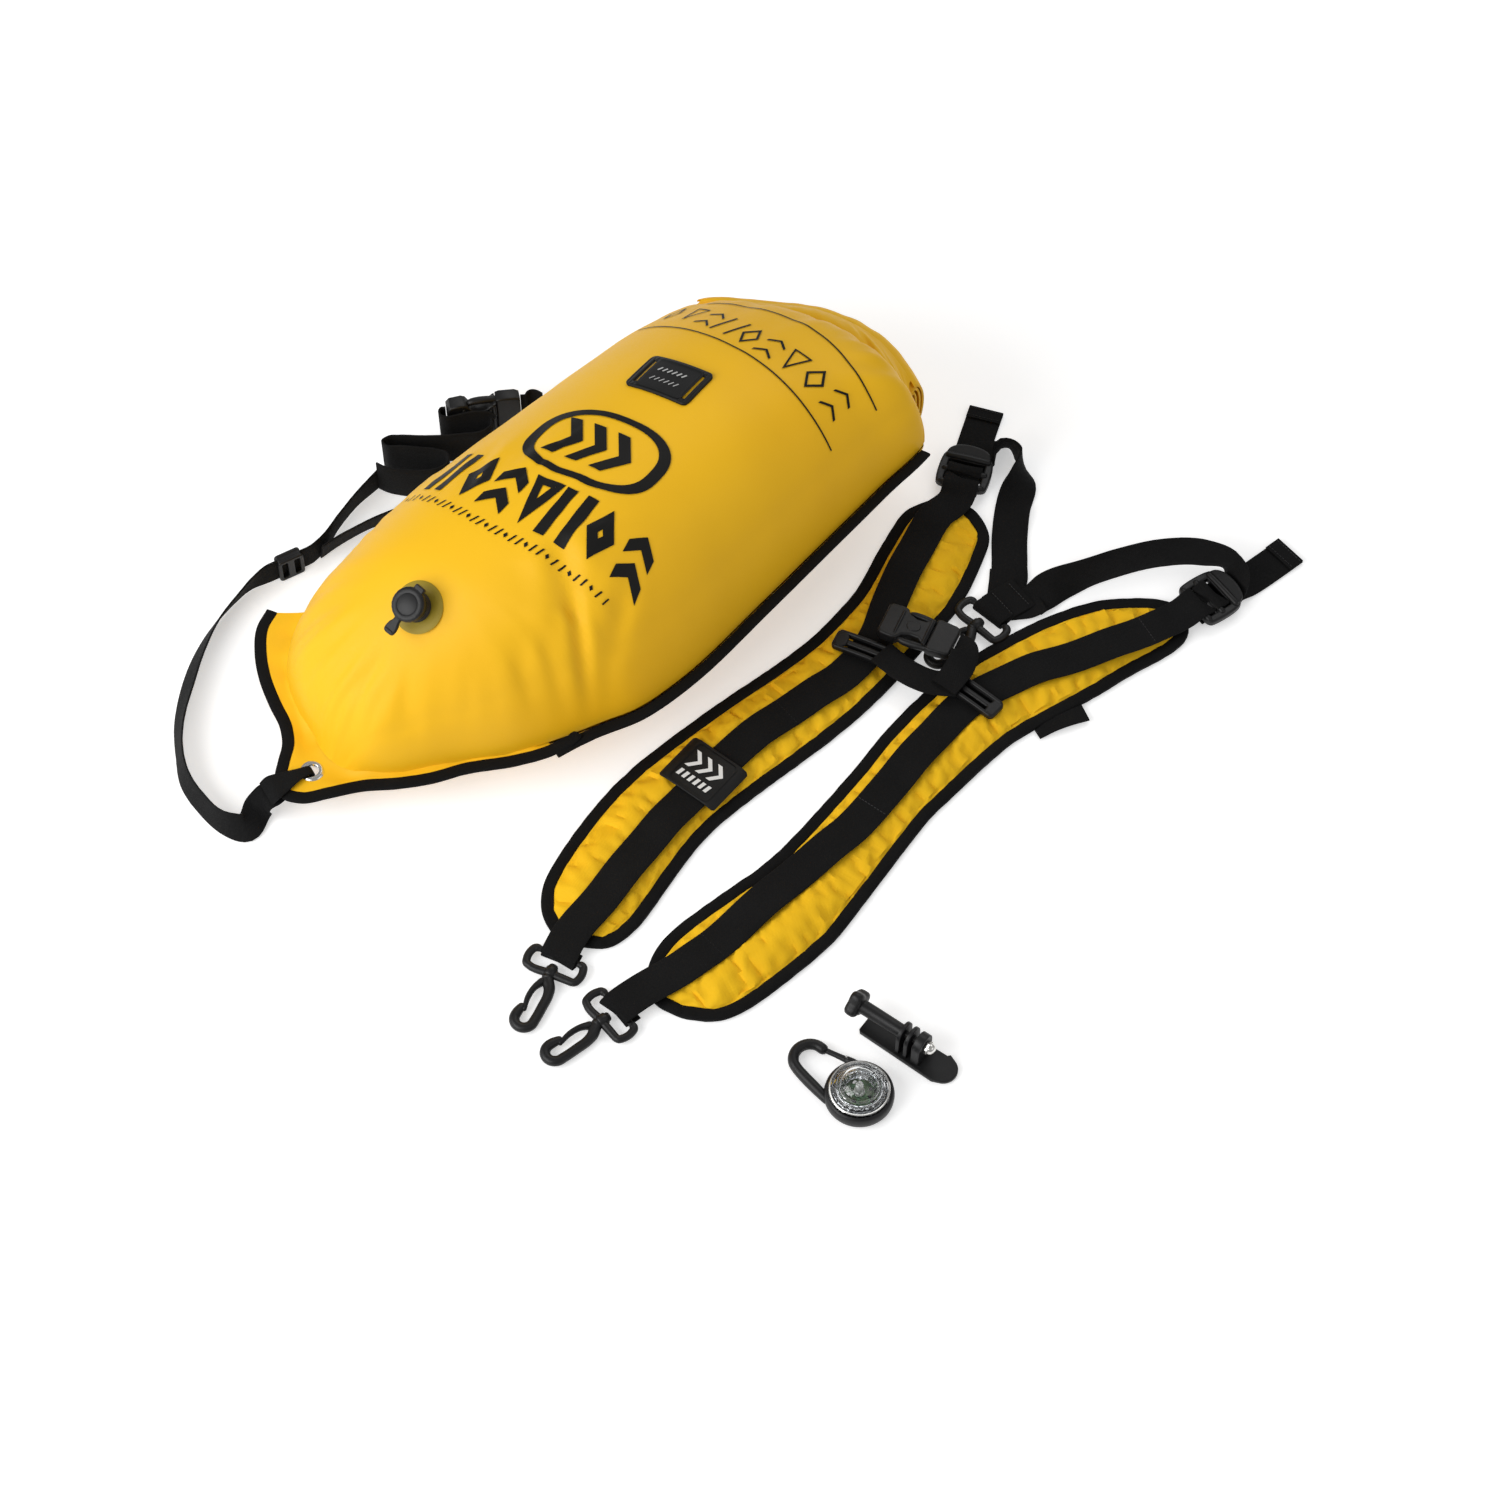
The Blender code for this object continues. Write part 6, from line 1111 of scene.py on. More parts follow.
def webbing(name, node, width, thickness, route=None, waves=()):
    """Flat webbing with round edges along its route; the uvs run along and across it.

    waves holds bulges as x, y, reach along and height in millimetres."""
    rows = route or ROUTES[node]
    line = smoothed([(*row[:4], row[4] if len(row) > 4 else width) for row in rows], 6)
    for x, y, reach, height in waves:
        away = np.hypot(line[:, 0] - x, line[:, 1] - y)
        line[:, 2] += height * np.exp(-((away / reach) ** 2))
    line *= [MM, MM, MM, 1.0, MM]
    thickness *= MM
    verts, uvs = [], []
    across, along = None, 0.0
    for i, (x, y, z, roll, wide) in enumerate(line):
        heading = Vector(line[min(i + 1, len(line) - 1), :3] - line[max(i - 1, 0), :3]).normalized()
        if i:
            along += float(np.linalg.norm(line[i, :3] - line[i - 1, :3]))
        flat = Vector((heading.y, -heading.x, 0.0))
        if flat.length > 0.15 or across is None:
            flat.normalize()
            across = -flat if across is not None and flat.dot(across) < 0 else flat
        lift = across.cross(heading).normalized()
        angle = math.radians(roll)
        wide_way = across * math.cos(angle) + lift * math.sin(angle)
        thin_way = lift * math.cos(angle) - across * math.sin(angle)
        reach = abs(wide_way.z) * wide / 2 + abs(thin_way.z) * thickness / 2
        middle = Vector((x, y, max(z, reach + CLEARANCE / 2)))
        outline = webbing_outline(wide, thickness)
        for u, v in outline:
            worn = 0.00012 * drift(along * 300, u * 90, v * 500)
            verts.append(middle + wide_way * u + thin_way * (v + worn))
            uvs.append((along, u))
    return piece(name, verts, tube_faces(len(line), len(outline)), WEBBING, node, not route, uvs, 50.0)


def hem(name, node, width, rows):
    """A sewn end: a second layer on the webbing with two rows of stitches across it."""
    top = [(x, y, z + 1.5, roll) for x, y, z, roll in rows]
    webbing(name, node, width, 1.3, top)
    stitches(name + "_stitches", node, top, width, (0.18, 0.82), 0.95)


def stitches(name, node, rows, width, shares, lift):
    """Rows of stitches across webbing, at shares of the length of its rows."""
    fine = spread_evenly(smoothed([row[:3] for row in rows], 8), 101)
    ridge = ((-0.85, -0.28, 0), (0.85, -0.28, 0), (0.85, 0.28, 0), (-0.85, 0.28, 0), (-0.6, 0, 0.3),
             (0.6, 0, 0.3))
    verts, faces = [], []
    for share in shares:
        k = int(share * 100)
        heading = Vector(fine[k + 1] - fine[k - 1]).normalized()
        across = Vector((heading.y, -heading.x, 0.0)).normalized()
        up = across.cross(heading).normalized()
        up = up if up.z > 0 else -up
        count = int(width / STITCH_PITCH)
        for i in range(count):
            aside = across * ((i + 0.5) / count - 0.5) * (width - STITCH_MARGIN)
            middle = Vector(fine[k]) + aside + up * lift
            start = len(verts)
            verts += [(middle + across * a + heading * b + up * c) * MM for a, b, c in ridge]
            faces += [tuple(start + v for v in face) for face in
                      ((0, 1, 5, 4), (1, 2, 5), (2, 3, 4, 5), (3, 0, 4))]
    piece(name, verts, faces, THREAD, node)


def build_webbing():
    pad_waves = {
        "left_pad_webbing": [(181, -130, 16, 1.6), (171, -84, 14, 2.6), (169, 10, 18, 2.4),
                             (176, 62, 12, 1.6), (150, 176, 20, 3.0), (134, 222, 12, 1.5)],
        "right_pad_webbing": [(260, -142, 12, 1.2), (263, -84, 20, 3.2), (265, -22, 14, 2.2),
                              (258, 66, 18, 2.4), (270, 178, 16, 2.6), (292, 226, 18, 3.0)],
    }
    sizes = {"leash_webbing": (20, 1.3), "leash_return": (20, 1.3), "waist_belt": (30, 1.5),
             "belt_end": (30, 1.5), "sternum_strap": (20, 1.5), "sternum_loop": (20, 1.5)}
    for node in ROUTES:
        webbing(node + "_woven", node, *sizes.get(node, (25, 1.5)), waves=pad_waves.get(node, ()))
    tail = webbing("sternum_tail_woven", "sternum_tail", 20, 1.5,
                   [(294, 145, 1.4, 0, 23), (298, 156.5, 2.4, 6, 24), (303, 168.5, 2.6, 8, 25),
                    (308.5, 180, 1.6, 4, 24)])
    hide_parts("sternum_tail")
    hem("right_tail_hem", "right_adjuster_strap", 25, [(326, 379, 1.1, 0), (324.6, 367, 1.1, 0)])
    hem("left_tail_hem", "left_adjuster_strap", 25, [(91.5, 324, 1.1, 0), (96, 315, 1.1, 0)])
    for node, shares in (("left_pad_webbing", (0.135, 0.165, 0.50, 0.93)),
                         ("right_pad_webbing", (0.125, 0.155, 0.45, 0.74, 0.94))):
        stitches(node + "_stitches", node, ROUTES[node][7:22], 24, shares, 0.95)


# Pads


def pad_section(half, full, fine, phase, i):
    """Offsets across and levels of one section of a pad's upper face."""
    crown = (PAD_TOP_LEVEL - PAD_EDGE_LEVEL) * half / full
    section = []
    for share in fine:
        near = (1 - abs(share)) * half
        pucker = 0.0017 * drift(i * 0.36, share * 1.2, phase) * math.exp(-near / 0.009)
        pucker *= min(1.0, near / 0.002)
        section.append((share * half, PAD_EDGE_LEVEL + crown * (1 - abs(share) ** 2.4) + pucker))
    return section


def surface_over_pads():
    """One surface of all the webbing and clips that lie on the pads."""
    endings = ("pad_webbing_woven", "sternum_strap_woven", "sternum_loop_woven", "clip_frame")
    corners, sides = [], []
    for obj in bpy.data.objects:
        if obj.name.endswith(endings):
            start = len(corners)
            corners += [v.co for v in obj.data.vertices]
            sides += [tuple(v + start for v in p.vertices) for p in obj.data.polygons]
    return BVHTree.FromPolygons(corners, sides)


def inflated(name, places, faces, slack):
    """Places of the pad's fabric after a cloth simulation that holds it where it has no slack."""
    fabric = new_object(name, new_mesh(name, places, faces))
    group = fabric.vertex_groups.new(name="sewn")
    group.add([k for k, share in enumerate(slack) if share < 0.05], 1.0, "REPLACE")
    cloth = fabric.modifiers.new("cloth", "CLOTH")
    settings = cloth.settings
    settings.quality = 6
    settings.mass = 0.2
    settings.tension_stiffness = settings.compression_stiffness = 12
    settings.shear_stiffness = 5
    settings.bending_stiffness = 0.02
    settings.shrink_min = -0.10
    settings.use_pressure = True
    settings.uniform_pressure_force = 4
    settings.vertex_group_mass = "sewn"
    settings.effector_weights.gravity = 0.0
    cloth.collision_settings.use_collision = False
    cloth.point_cache.frame_start, cloth.point_cache.frame_end = 1, CLOTH_FRAMES
    for step in range(1, CLOTH_FRAMES + 1):
        bpy.context.scene.frame_set(step)
    seen = fabric.evaluated_get(bpy.context.evaluated_depsgraph_get())
    moved = [v.co.copy() for v in seen.data.vertices]
    bpy.data.objects.remove(fabric)
    bpy.context.scene.frame_set(1)
    return moved


def swollen(name, places, faces, slack, reach=0.0034):
    """The pad's fabric with air in it; no place moves further than its share of the reach.

    It stays a little below the webbing that lies on the pad."""
    above = surface_over_pads()
    result = []
    for place, after, share in zip(places, inflated(name, places, faces, slack), slack, strict=True):
        move = after - Vector(place)
        if move.length > reach * share:
            move *= reach * share / move.length
        x, y, z = Vector(place) + move
        hit = above.ray_cast(Vector((x, y, -0.01)), Vector((0.0, 0.0, 1.0)))[0]
        if hit and place[2] > 0.001:
            z = min(z, max(hit.z - 0.0003, 0.0012))
        result.append((x, y, max(z, PAD_FLOOR_LEVEL)))
    return result


def build_pad(name, phase):
    rows = np.array(PAD_STATIONS[name]) * [MM, MM, 1.0, 1.0, MM]
    rows = spread_evenly(rows, PAD_ROWS, flat=2)
    way = rows[:, 2:4] / np.linalg.norm(rows[:, 2:4], axis=1)[:, None]
    full = rows[:, 4].max()
    fine = [math.sin(math.pi / 2 * (2 * k / (PAD_COLUMNS - 1) - 1)) for k in range(PAD_COLUMNS)]
    sewn = smoothed([row[:3] for row in ROUTES[name + "_webbing"]], 8) * MM
    verts, uvs, slack, along = [], [], [], 0.0
    for i, row in enumerate(rows):
        if i:
            along += float(np.linalg.norm(row[:2] - rows[i - 1, :2]))
        section = pad_section(row[4], full, fine, phase, i)
        for across, z in [*section, (row[4], PAD_FLOOR_LEVEL), (-row[4], PAD_FLOOR_LEVEL)]:
            x, y = row[:2] + way[i] * across
            verts.append((x, y, z))
            uvs.append((along, across))
        for share, (x, y, _) in zip(fine, verts[-PAD_COLUMNS - 2 :]):
            near = float(np.hypot(sewn[:, 0] - x, sewn[:, 1] - y).min())
            edge = min((1 - abs(share)) * row[4], 0.003 * min(i, PAD_ROWS - 1 - i)) - 0.001
            slack.append(min(1.0, max(0.0, edge / 0.0040), max(0.0, (near - SEWN_HALF) / 0.0035)))
        slack += [0.0, 0.0]
    faces = tube_faces(PAD_ROWS, PAD_COLUMNS + 2)
    verts = swollen(name + "_fabric", verts, faces, slack)
    pad = piece(name + "_padding", verts, faces, PADDING, name, True, uvs, 50.0)
    reach = way * rows[:, 4][:, None]
    edge = np.vstack([rows[:, :2] - reach, (rows[:, :2] + reach)[::-1]])
    edge = spread_evenly(np.vstack([edge, edge[:1]]), PAD_RIM_STEPS, flat=2)[:-1]
    for _ in range(6):
        edge = (np.roll(edge, 1, axis=0) + 2 * edge + np.roll(edge, -1, axis=0)) / 4
    near, far = (side_steps(edge, distance, closed=True) for distance in (0.0006, -0.0083))
    tape_band(name + "_binding_tape", name + "_binding", near, far, lambda x, y: 0.0, PAD_TAPE_THICKNESS,
              closed=True, ripple=0.0007)


def build_harness():
    build_yoke()
    for side, x, y, degrees in (("left", 194, -202, -71), ("right", 249, -203, -98),
                                ("back", 213, 192, -92)):
        build_hook(side, seat(x, y, 4.18, degrees))
    for name, x, y, degrees in (("left_ladder_lock", 120, 269, 118), ("right_ladder_lock", 314, 306, 79)):
        build_ladder_lock(name, seat(x, y, 0, degrees))
    for name, x, y, degrees in (("left_sternum_clip", 174, 106, 19), ("right_sternum_clip", 254, 130, 3)):
        build_clip(name, seat(x, y, 0, degrees))
    build_buckle("sternum_buckle", seat(196, 138, 0, 20.6), width=27.0, low=17.3, high=26.3)
    build_buckle("waist_buckle", seat(-153, 64, 19.3, 55.5, upright=True), width=38.0, low=-5.5, high=5.5)
    build_pad("left_pad", 1.0)
    build_pad("right_pad", 5.0)


def build_yoke():
    """The sewn block where the two straps meet, and its end folded round the hook's ring."""
    webbing("yoke_block", "back_yoke", 27, 1.6,
            [(213.2, 197, 5.2, 0), (214, 204, 4.9, 0), (216, 214, 4.6, 0), (217.5, 222, 4.2, 0)])
    fold = webbing("yoke_fold", "back_yoke", 25, 1.5,
                   [(213.1, 206, 1.0, 0), (213.1, 195.6, 1.0, 0), (213, 192, 1.0, 0),
                    (212.9, 190.4, 1.5, 0), (212.9, 189.3, 2.6, 0), (212.9, 188.9, 4.2, 0),
                    (212.9, 189.3, 5.7, 0), (212.9, 190.4, 6.9, 0), (213, 192, 7.3, 0),
                    (213.2, 197, 6.4, 0), (213.8, 203, 5.8, 0)])
    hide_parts("back_yoke")
    webbing("yoke_left_strap", "back_yoke", 25, 1.5,
            [(209, 213, 2.4, 0), (206, 217, 2.2, 0), (202, 222.5, 1.6, 0), (196, 230, 1.3, 0)])
    webbing("yoke_right_strap", "back_yoke", 25, 1.5,
            [(215, 205, 2.8, 0), (220, 211, 3.0, 0), (225, 217.5, 3.2, 0), (229, 226, 4.2, 10)])
    stitches("yoke_stitches", "back_yoke", [(213.4, 198, 6.3, 0), (217, 220, 4.9, 0)], 24, (0.25, 0.9), 0.8)


def build_ladder_lock(name, place):
    """A heavy rounded frame with raised bars and a lifted lip at its far end."""
    outline = softened(mirrored([(-15.5, 6), (-15.0, 17.5), (-8, 19.0), (6, 19.0), (14.5, 17.0),
                                 (18.5, 8.0)]))
    slots = [rounded(6.2, 25.8, 0.8, x) for x in (-7.0, 4.6)]
    slab(name + "_frame", name, place, [outline, *slots], 4.0, 9.6, 1.5, replaces=True)
    for x, z, radius in ((-12.6, 8.6, 2.3), (-1.2, 9.0, 2.2), (10.6, 9.4, 2.4)):
        rows = [(x, -14.5, z, radius), (x, 0, z + 0.4, radius), (x, 14.5, z, radius)]
        bar(f"{name}_bar_{abs(int(x))}", name, place, rows)
    lip = softened(mirrored([(9.5, 9), (11, 17.0), (17.5, 14.5), (21.0, 6.5)]))
    tilt = place @ Matrix.Translation((0.010, 0.0, 0.0085)) @ Matrix.Rotation(-0.22, 4, "Y")
    slab(name + "_lip", name, tilt, [[(x - 10, y) for x, y in lip]], -1.2, 1.8, 1.2)


def build_clip(name, place):
    """The sliding clip on the pad's webbing: a frame with two slots and the sternum webbing's bar."""
    outline = rounded(42.0, 15.6, 3.6)
    slots = [rounded(25.4, 2.6, 0.8, 0.0, y) for y in (-3.4, 3.4)]
    slab(name + "_frame", name, place, [outline, *slots], 10.6, 15.2, 1.5, replaces=True)
    for side, y in (("left", -6.4), ("right", 6.4)):
        bar(f"{name}_rib_{side}", name, place, [(-18, y, 14.6, 1.3), (0, y, 15.0, 1.5), (18, y, 14.6, 1.3)])
    slab(name + "_end", name, place, [rounded(9.0, 12.0, 4.0, -15.5)], 14.0, 16.0, 0.9)


def build_buckle(name, place, width, low, high):
    """A side release buckle: shell with open sides, arms that bulge through them, and the male tail."""
    half = width / 2
    middle = (low + high) / 2
    female, male = name + "_female", name + "_male"
    shell = [(-26, 0.80), (-23.5, 0.96), (-15, 1.0), (-12.0, 0.92), (-9.5, 0.66), (-4.0, 0.52),
             (2.0, 0.54), (5.5, 0.74), (8.5, 0.86)]
    tail = [(9.0, 0.95), (12.0, 1.0), (23.0, 0.93), (26.0, 0.82)]
    shell, tail = (mirrored([(x, half * share) for x, share in line]) for line in (shell, tail))
    slab(female + "_shell", female, place, [shell], low, high, 1.4, replaces=True)
    button = [(x, y * 0.8) for x, y in rounded(10, 10, 4.9, -4.0)]
    slab(female + "_button", female, place, [button], high - 0.6, high + 0.5, 0.5)
    for side, x in (("near", -14.2), ("far", 6.4)):
        bar(f"{female}_rib_{side}", female, place, [(x, -half * 0.72, high - 0.4, 1.1),
                                                    (x, 0.0, high - 0.1, 1.2),
                                                    (x, half * 0.72, high - 0.4, 1.1)])
    slab(male + "_tail", male, place, [tail], low + 0.8, high - 0.8, 1.3, replaces=True)
    arm = [(12, 0.80, 2.2), (7, 0.80, 2.3), (2, 0.83, 2.5), (-4, 0.85, 2.5), (-9, 0.82, 2.2),
           (-11.5, 0.72, 1.7)]
    for side, way in (("left", -1), ("right", 1)):
        rows = [(x, way * half * share, middle, radius) for x, share, radius in arm]
        bar(f"{male}_arm_{side}", male, place, rows, flat=1.15)


def build_hook(side, place):
    """A swivel snap hook: the ring for the webbing, the boss, the hook and its sprung gate."""
    ring, hook, gate = side + "_hook_ring", side + "_hook", side + "_hook_gate"
    rows = []
    for x, y, turn in ((10.8, 15.4, 45), (3.0, 15.4, 135), (3.0, -15.4, 225), (10.8, -15.4, 315)):
        rows += arc(x, y, 3.0, (turn - 40, turn, turn + 40), 0, 2.75)
        if turn == 135:
            rows += [(0.0, 13.6, 0, 2.1), (0.0, 0, 0, 1.9), (0.0, -13.6, 0, 2.1)]
        if turn == 315:
            rows.append((13.8, 0, 0, 3.0))
    bar(ring + "_loop", ring, place, rows, flat=0.86, closed=True, replaces=True)
    sleeve = place @ Matrix.Translation((0.013, 0, 0)) @ Matrix.Rotation(math.pi / 2, 4, "Y")
    boss = [(1.9, -3.4), (3.6, -3.4), (4.2, -2.6), (4.4, 0), (4.2, 2.6), (3.6, 3.4), (1.9, 3.4)]
    turned(ring + "_boss", ring, sleeve, boss, sides=32)
    stem = [(0.01, -5.4), (2.6, -5.4), (3.2, -4.6), (3.0, -3.7), (2.0, -3.4), (2.0, 3.5), (3.6, 3.9),
            (3.8, 5.2), (3.0, 6.6), (0.01, 6.8)]
    turned(hook + "_stem", hook, sleeve, stem, sides=32)
    rows = [(17.6, 0.0, 0, 3.9), (20.5, 2.0, 0, 4.0), (24.0, 4.6, 0, 3.8), (29, 6.1, 0, 3.5),
            (38, 6.5, 0, 3.4), (48, 6.5, 0, 3.4)]
    rows += arc(50.6, 0, 6.4, (70, 35, 0, -35, -70), 0, 3.5)
    rows += [(48.0, -6.4, 0, 3.4), (43.6, -5.6, 0, 2.9)]
    bar(hook + "_body", hook, place, rows, flat=0.9, replaces=True)
    spring = [(21.6, -2.0, 0, 2.6), (27, -4.4, 0, 2.1), (36, -5.0, 0, 1.9), (44.0, -3.2, 0, 1.5)]
    bar(gate + "_spring", gate, place, spring, flat=1.3, replaces=True)


def build_valve():
    axis = Matrix(((0.996859, 0.022553, 0.075923), (0.022553, 0.838089, -0.545067),
                   (-0.075923, 0.545067, 0.834948)))
    place = Matrix.Translation((-0.003, -0.129, 0.126986)) @ axis.to_4x4()
    film = [(8.0, 2.0), (13.0, 1.9), (16.8, 1.5), (17.6, 1.1), (17.4, 0.6), (8.0, 0.6)]
    turned("valve_film", "valve_flange", place, film, FILM, replaces=True, sides=72)
    neck = [(8.8, 0.6), (9.2, 2.4), (9.9, 3.0), (10.2, 3.6), (9.9, 4.2), (9.5, 5.0), (9.9, 5.8),
            (10.2, 6.6), (9.9, 7.4), (9.5, 8.2), (9.9, 9.0), (10.0, 13.0), (9.6, 14.2), (5.9, 14.2),
            (5.9, 1.0)]
    turned("valve_neck", "valve_body", place, neck, replaces=True, sides=64)
    cap = [(0.01, 18.9), (6.6, 18.9), (7.2, 18.6), (8.0, 18.9), (10.2, 18.8), (11.2, 18.2), (11.6, 17.2),
           (11.6, 15.4), (11.2, 14.8), (5.2, 14.8), (5.2, 12.6), (0.01, 12.6)]
    turned("valve_cap_disc", "valve_cap", place, cap, replaces=True, sides=72,
           lobes=lambda angle, level: 1 + 0.008 * math.cos(24 * angle) if 14.9 < level < 18.5 else 1.0)
    tongue = mirrored([(-9, 2.6), (-13.5, 2.5), (-16, 4.0), (-21.0, 4.4), (-23.2, 3.2)])
    swing = place @ Matrix.Rotation(math.pi / 2, 4, "Z") @ Matrix.Translation((0, 0, 0.0148))
    slab("valve_tongue", "valve_cap", swing, [softened(tongue)], 0.0, 2.9, 1.1)
    bar("valve_tongue_rib", "valve_cap", swing, [(-20.8, -2.4, 2.9, 0.7), (-20.8, 2.4, 2.9, 0.7)])
    slab("valve_knuckle", "valve_cap", swing, [rounded(5.5, 7.6, 1.2, 11.6)], -0.2, 3.2, 0.8)


def build_light():
    place = seat(402, -141, 0, 4)
    puck = [(12.4, 0.3), (19.6, 0.3), (21.4, 1.2), (22.3, 3.4), (22.5, 6.2), (22.0, 9.2), (21.0, 10.6),
            (20.0, 10.9), (19.9, 7.6), (15.3, 7.6), (15.3, 6.0), (12.4, 6.0)]
    turned("light_puck", "light_body", place, puck, replaces=True, sides=80)
    loop = [(-13.5, -15.6, 4.2, 3.2), (-24, -14.0, 4.3, 3.7), (-36, -12.0, 4.2, 3.7)]
    loop += arc(-40, 0, 10.8, (-100, -126, -152, -178, -204, -230, -256, -278), 4.1, 3.6)
    bar("light_loop", "light_body", place, loop)
    lug = [(-12.0, 15.4, 4.2, 3.1), (-17.5, 14.9, 4.2, 3.2), (-21.6, 14.7, 3.9, 2.6)]
    bar("light_gate_lug", "light_body", place, lug)
    arm = [(-22.0, 14.6, 3.7, 2.2), (-29, 13.0, 3.8, 1.9), (-37.6, 10.9, 4.0, 1.9)]
    bar("light_gate_arm", "light_gate", place, arm, flat=0.95, replaces=True)
    dome = [(19.7, 8.4), (19.7, 12.2), (19.2, 12.7), (17.4, 12.8), (16.9, 13.3), (16.7, 15.9), (16.2, 16.5),
            (14.4, 16.7), (13.4, 17.8)]
    for degrees in range(12, 88, 8):
        angle = math.radians(degrees)
        dome.append((13.5 * math.cos(angle), 17.2 + 8.0 * math.sin(angle)))
    dome += [(0.01, 25.2)]
    inside = [(max(r - 1.3, 0.01), z - (1.2 if r < 13.6 else 0.9)) for r, z in reversed(dome[1:])]
    turned("light_clear_dome", "light_dome", place, dome + inside + [(18.4, 8.4), (19.7, 8.4)], CLEAR,
           replaces=True, sides=80)
    rim_profile = [(18.4, 12.6), (19.3, 12.6), (19.6, 13.0), (19.2, 13.4), (18.5, 13.3), (18.2, 12.9),
                   (18.4, 12.6)]
    turned("light_rim", "light_dome", place, rim_profile, NICKEL, sides=80)
    band = [(17.6, 7.8), (17.5, 8.8), (16.7, 10.3), (15.4, 10.7), (14.9, 11.5), (14.6, 13.3), (13.8, 14.1),
            (12.6, 13.9), (11.9, 12.6), (11.2, 9.9), (9.9, 8.5)]
    # The reflector's finish paints dark reflections and shade into the silver.
    turned("light_reflector", "light_board", place, band, SILVER_PAINTED_REFLECTIONS, sides=144,
           lobes=lambda angle, level: 1 + 0.018 * math.cos(24 * angle))
    lamp = [(0.01, 19.4), (1.6, 19.0), (2.5, 17.6), (2.8, 15.4), (2.9, 9.6), (3.6, 9.4), (3.6, 7.6),
            (0.01, 7.6)]
    turned("light_lamp_lens", "light_lamp", place, lamp, LENS, replaces=True, sides=40)
    parts = [(7.2, 1.5, 2.4, 1.6), (-6.8, 3.0, 1.8, 2.6), (1.5, -7.4, 3.0, 1.6), (-4.2, -6.2, 1.6, 1.6),
             (4.6, 6.4, 1.6, 2.2)]
    for k, (x, y, long, wide) in enumerate(parts):
        slab(f"board_part_{k}", "light_board", place, [rounded(long, wide, 0.3, x, y)], 7.4,
             8.6 + 0.3 * (k % 2), 0.15, NICKEL if k % 2 else PLASTIC)
    copied("battery_cover", PLASTIC, 0.0003)


def build_mount():
    place = seat(368, -98, 0, 8)
    plate = [(0.0, 7.6), (1.8, 9.5), (56.6, 9.5), (58.0, 11.2), *arc(59.5, 0, 9.8, range(72, -1, -12))]
    outline = plate + [(x, -y) for x, y in reversed(plate[3:-1])] + [(1.8, -9.5), (0.0, -7.6)]
    slab("mount_plate", "mount_base", place, [outline], 0.05, 3.0, 0.8, replaces=True)
    ear = [(-8.6, 1.4), (8.6, 1.4), (8.0, 8.0), *arc(0, 17.5, 7.8, range(0, 181, 12)), (-8.0, 8.0)]
    stood_up = Matrix(((0, 0, 1, 0), (1, 0, 0, 0), (0, 1, 0, 0), (0, 0, 0, 1)))
    for k, (x, thick) in enumerate(((27.6, 2.8), (33.6, 2.8), (39.6, 6.0))):
        upright = place @ Matrix.Translation((x * MM, 0, 0)) @ stood_up
        slab(f"mount_ear_{k}", "mount_base", upright, [ear], 0.0, thick, 0.6)
    axis = place @ Matrix.Translation((0, 0, 0.0175)) @ Matrix.Rotation(math.pi / 2, 4, "Y")
    screw = [(0.01, -12.0), (5.8, -12.0), (7.4, -11.6), (8.6, -10.4), (9.0, -8.4), (9.0, -5.4), (8.4, -4.0),
             (7.2, -3.2), (5.0, -2.9), (4.8, -2.0), (4.7, 12.0), (4.5, 27.0), (4.0, 27.3), (2.4, 27.3),
             (2.4, 50.0)]
    turned("mount_thumb_screw", "thumb_screw", axis, screw, replaces=True, sides=96,
           lobes=lambda angle, level: 1 + 0.15 * math.cos(4 * angle) if level < -3.1 else 1.0)
    nut = [(2.7, 45.8), (4.3, 45.8), (4.6, 46.3), (4.6, 48.6), (4.0, 49.2)]
    turned("mount_nut_body", "acorn_nut", axis, nut, NICKEL, replaces=True, sides=6)
    crown = [(3.9, 48.9), (3.8, 50.2), (3.2, 51.4), (2.0, 52.3), (0.01, 52.6)]
    turned("mount_nut_crown", "acorn_nut", axis, crown, NICKEL, sides=40)


def build_eyelet():
    ring = [(4.3, -1.6), (4.1, 0.4), (4.5, 1.5), (5.6, 2.1), (7.0, 2.0), (8.2, 1.3), (8.4, 0.8),
            (4.9, 0.8), (4.9, -1.6)]
    turned("eyelet_ring", "eyelet_top", seat(-16, -224, 23, 0), ring, NICKEL, replaces=True)
    copied("eyelet_washer", NICKEL, 0.0002)


def build_slider():
    place = seat(-160.25, -115.5, 10.3, 73.8, upright=True)
    outlines = [rounded(19.0, 20.4, 2.6), *(rounded(4.2, 15.0, 1.0, x) for x in (-4.6, 4.6))]
    slab("slider_plate_far", "leash_slider", place, outlines, 1.4, 4.2, 0.9)
    slab("slider_plate_near", "leash_slider", place, outlines, -4.2, -1.4, 0.9, replaces=True)
    for level, y in (("low", -8.8), ("high", 8.8)):
        bar(f"slider_edge_{level}", "leash_slider", place, [(-7.5, y, 0, 1.3), (7.5, y, 0, 1.3)], flat=2.2)


def build_fittings():
    build_slider()
    build_valve()
    build_eyelet()
    build_light()
    build_mount()
    for node, finish in (("valve_flap", SILICONE), ("light_board", BOARD), ("coin_cell", STEEL),
                         ("light_gate_pin", NICKEL)):
        for place in frame["nodes"][node].material_slots:
            place.material = finish


# Floor, light and camera


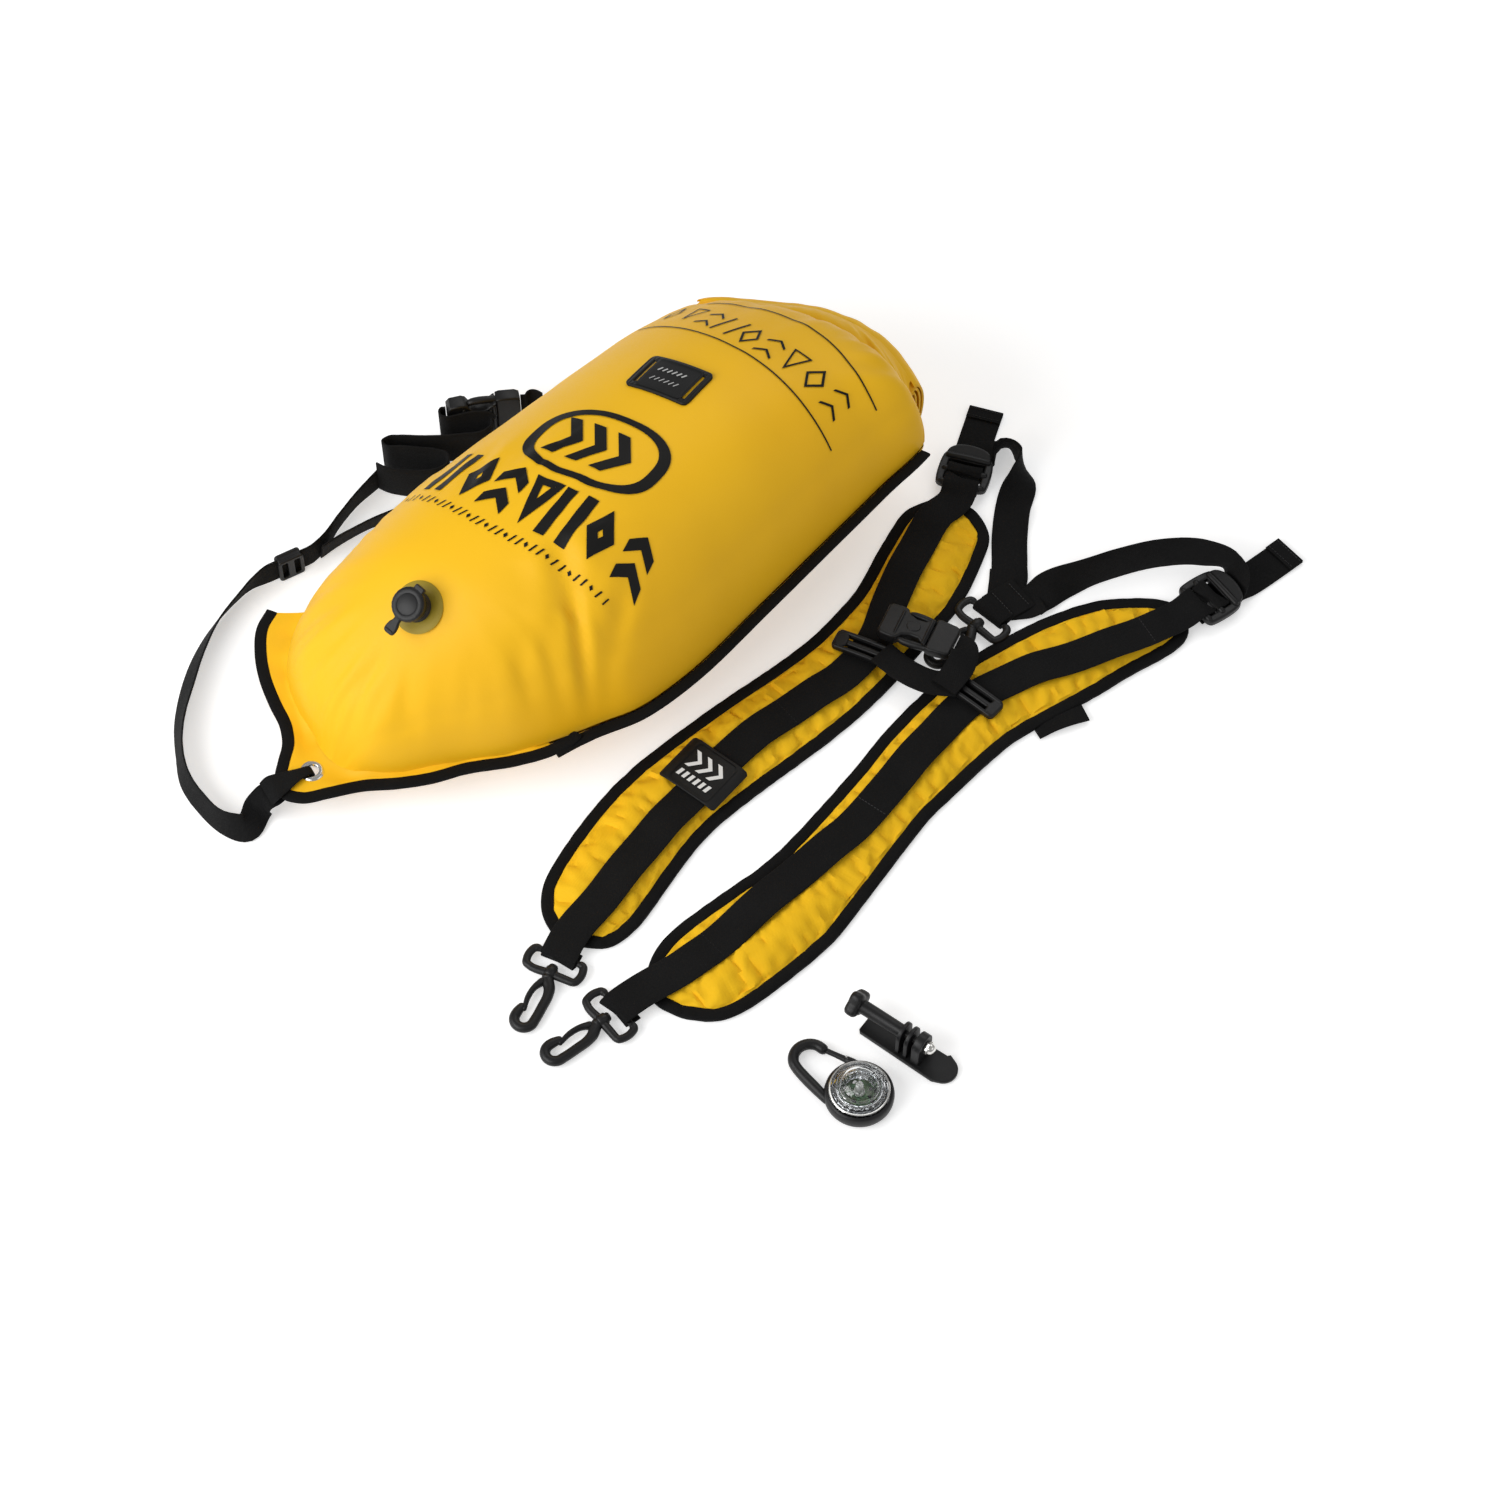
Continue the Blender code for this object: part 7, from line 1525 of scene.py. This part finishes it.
def build_stage():
    corners = [(x * FLOOR_HALF, y * FLOOR_HALF, 0) for x, y in ((-1, -1), (1, -1), (1, 1), (-1, 1))]
    floor = new_object("floor", new_mesh("floor", corners, [(0, 1, 2, 3)]))
    floor.location.z = -0.0004
    made = bpy.data.materials.new("pale floor")
    made.use_nodes = True
    tree = made.node_tree
    shader = tree.nodes["Principled BSDF"]
    shader.inputs["Base Color"].default_value = (0.86, 0.86, 0.86, 1.0)
    shader.inputs["Roughness"].default_value = 0.6
    path = tree.nodes.new("ShaderNodeLightPath")
    seen = calc(tree, "MAXIMUM", path.outputs["Is Camera Ray"],
                calc(tree, "MAXIMUM", path.outputs["Is Glossy Ray"], path.outputs["Is Transmission Ray"]))
    shader.inputs["Emission Color"].default_value = (1.0, 1.0, 1.0, 1.0)
    place = tree.nodes.new("ShaderNodeTexCoord")
    away = tree.nodes.new("ShaderNodeVectorMath")
    away.operation = "LENGTH"
    tree.links.new(place.outputs["Object"], away.inputs[0])
    glow = ramp(tree, away.outputs["Value"], 0.44, 0.80, start=0.7, end=2.2)
    tree.links.new(calc(tree, "MULTIPLY", seen, glow), shader.inputs["Emission Strength"])
    floor.data.materials.append(made)


def soft_lamp(name, place, target, size, power):
    data = bpy.data.lights.new(name, "AREA")
    data.shape = "RECTANGLE"
    data.size, data.size_y = size
    data.energy = power
    lamp = new_object(name, data)
    lamp.location = place
    lamp.rotation_euler = (Vector(target) - Vector(place)).to_track_quat("-Z", "Y").to_euler()


def build_lights():
    world = bpy.data.worlds.new("studio")
    bpy.context.scene.world = world
    world.use_nodes = True
    tree = world.node_tree
    back = tree.nodes["Background"]
    back.inputs["Color"].default_value = (1.0, 1.0, 1.0, 1.0)
    path = tree.nodes.new("ShaderNodeLightPath")
    tree.links.new(ramp(tree, path.outputs["Is Camera Ray"], 0.35, 1.0, 0.0, 1.0), back.inputs["Strength"])
    middle = (0.12, 0.0, 0.05)
    soft_lamp("window", (-0.25, -1.30, 0.95), (0.0, -0.1, 0.05), (1.5, 1.0), 21)
    soft_lamp("far fill", (-0.6, 1.6, 1.9), middle, (1.8, 1.4), 13)
    soft_lamp("right fill", (1.8, 0.4, 1.4), middle, (1.4, 1.2), 4)
    bpy.context.scene.view_settings.view_transform = "Standard"


def build_camera():
    data = bpy.data.cameras.new("camera")
    data.lens = CAMERA_LENS
    data.sensor_width = CAMERA_SENSOR
    data.sensor_fit = "HORIZONTAL"
    camera = new_object("camera", data)
    camera.location = CAMERA_PLACE
    camera.rotation_euler = (Vector(CAMERA_TARGET) - camera.location).to_track_quat("-Z", "Y").to_euler()
    bpy.context.scene.camera = camera


build_camera()
bag = build_bag()
build_nose_tab()
build_bindings()
build_gathers(build_roll())
build_bag_marks(bag)
build_patch_and_label(bag)
build_webbing()
build_harness()
build_fittings()
build_stage()
build_lights()
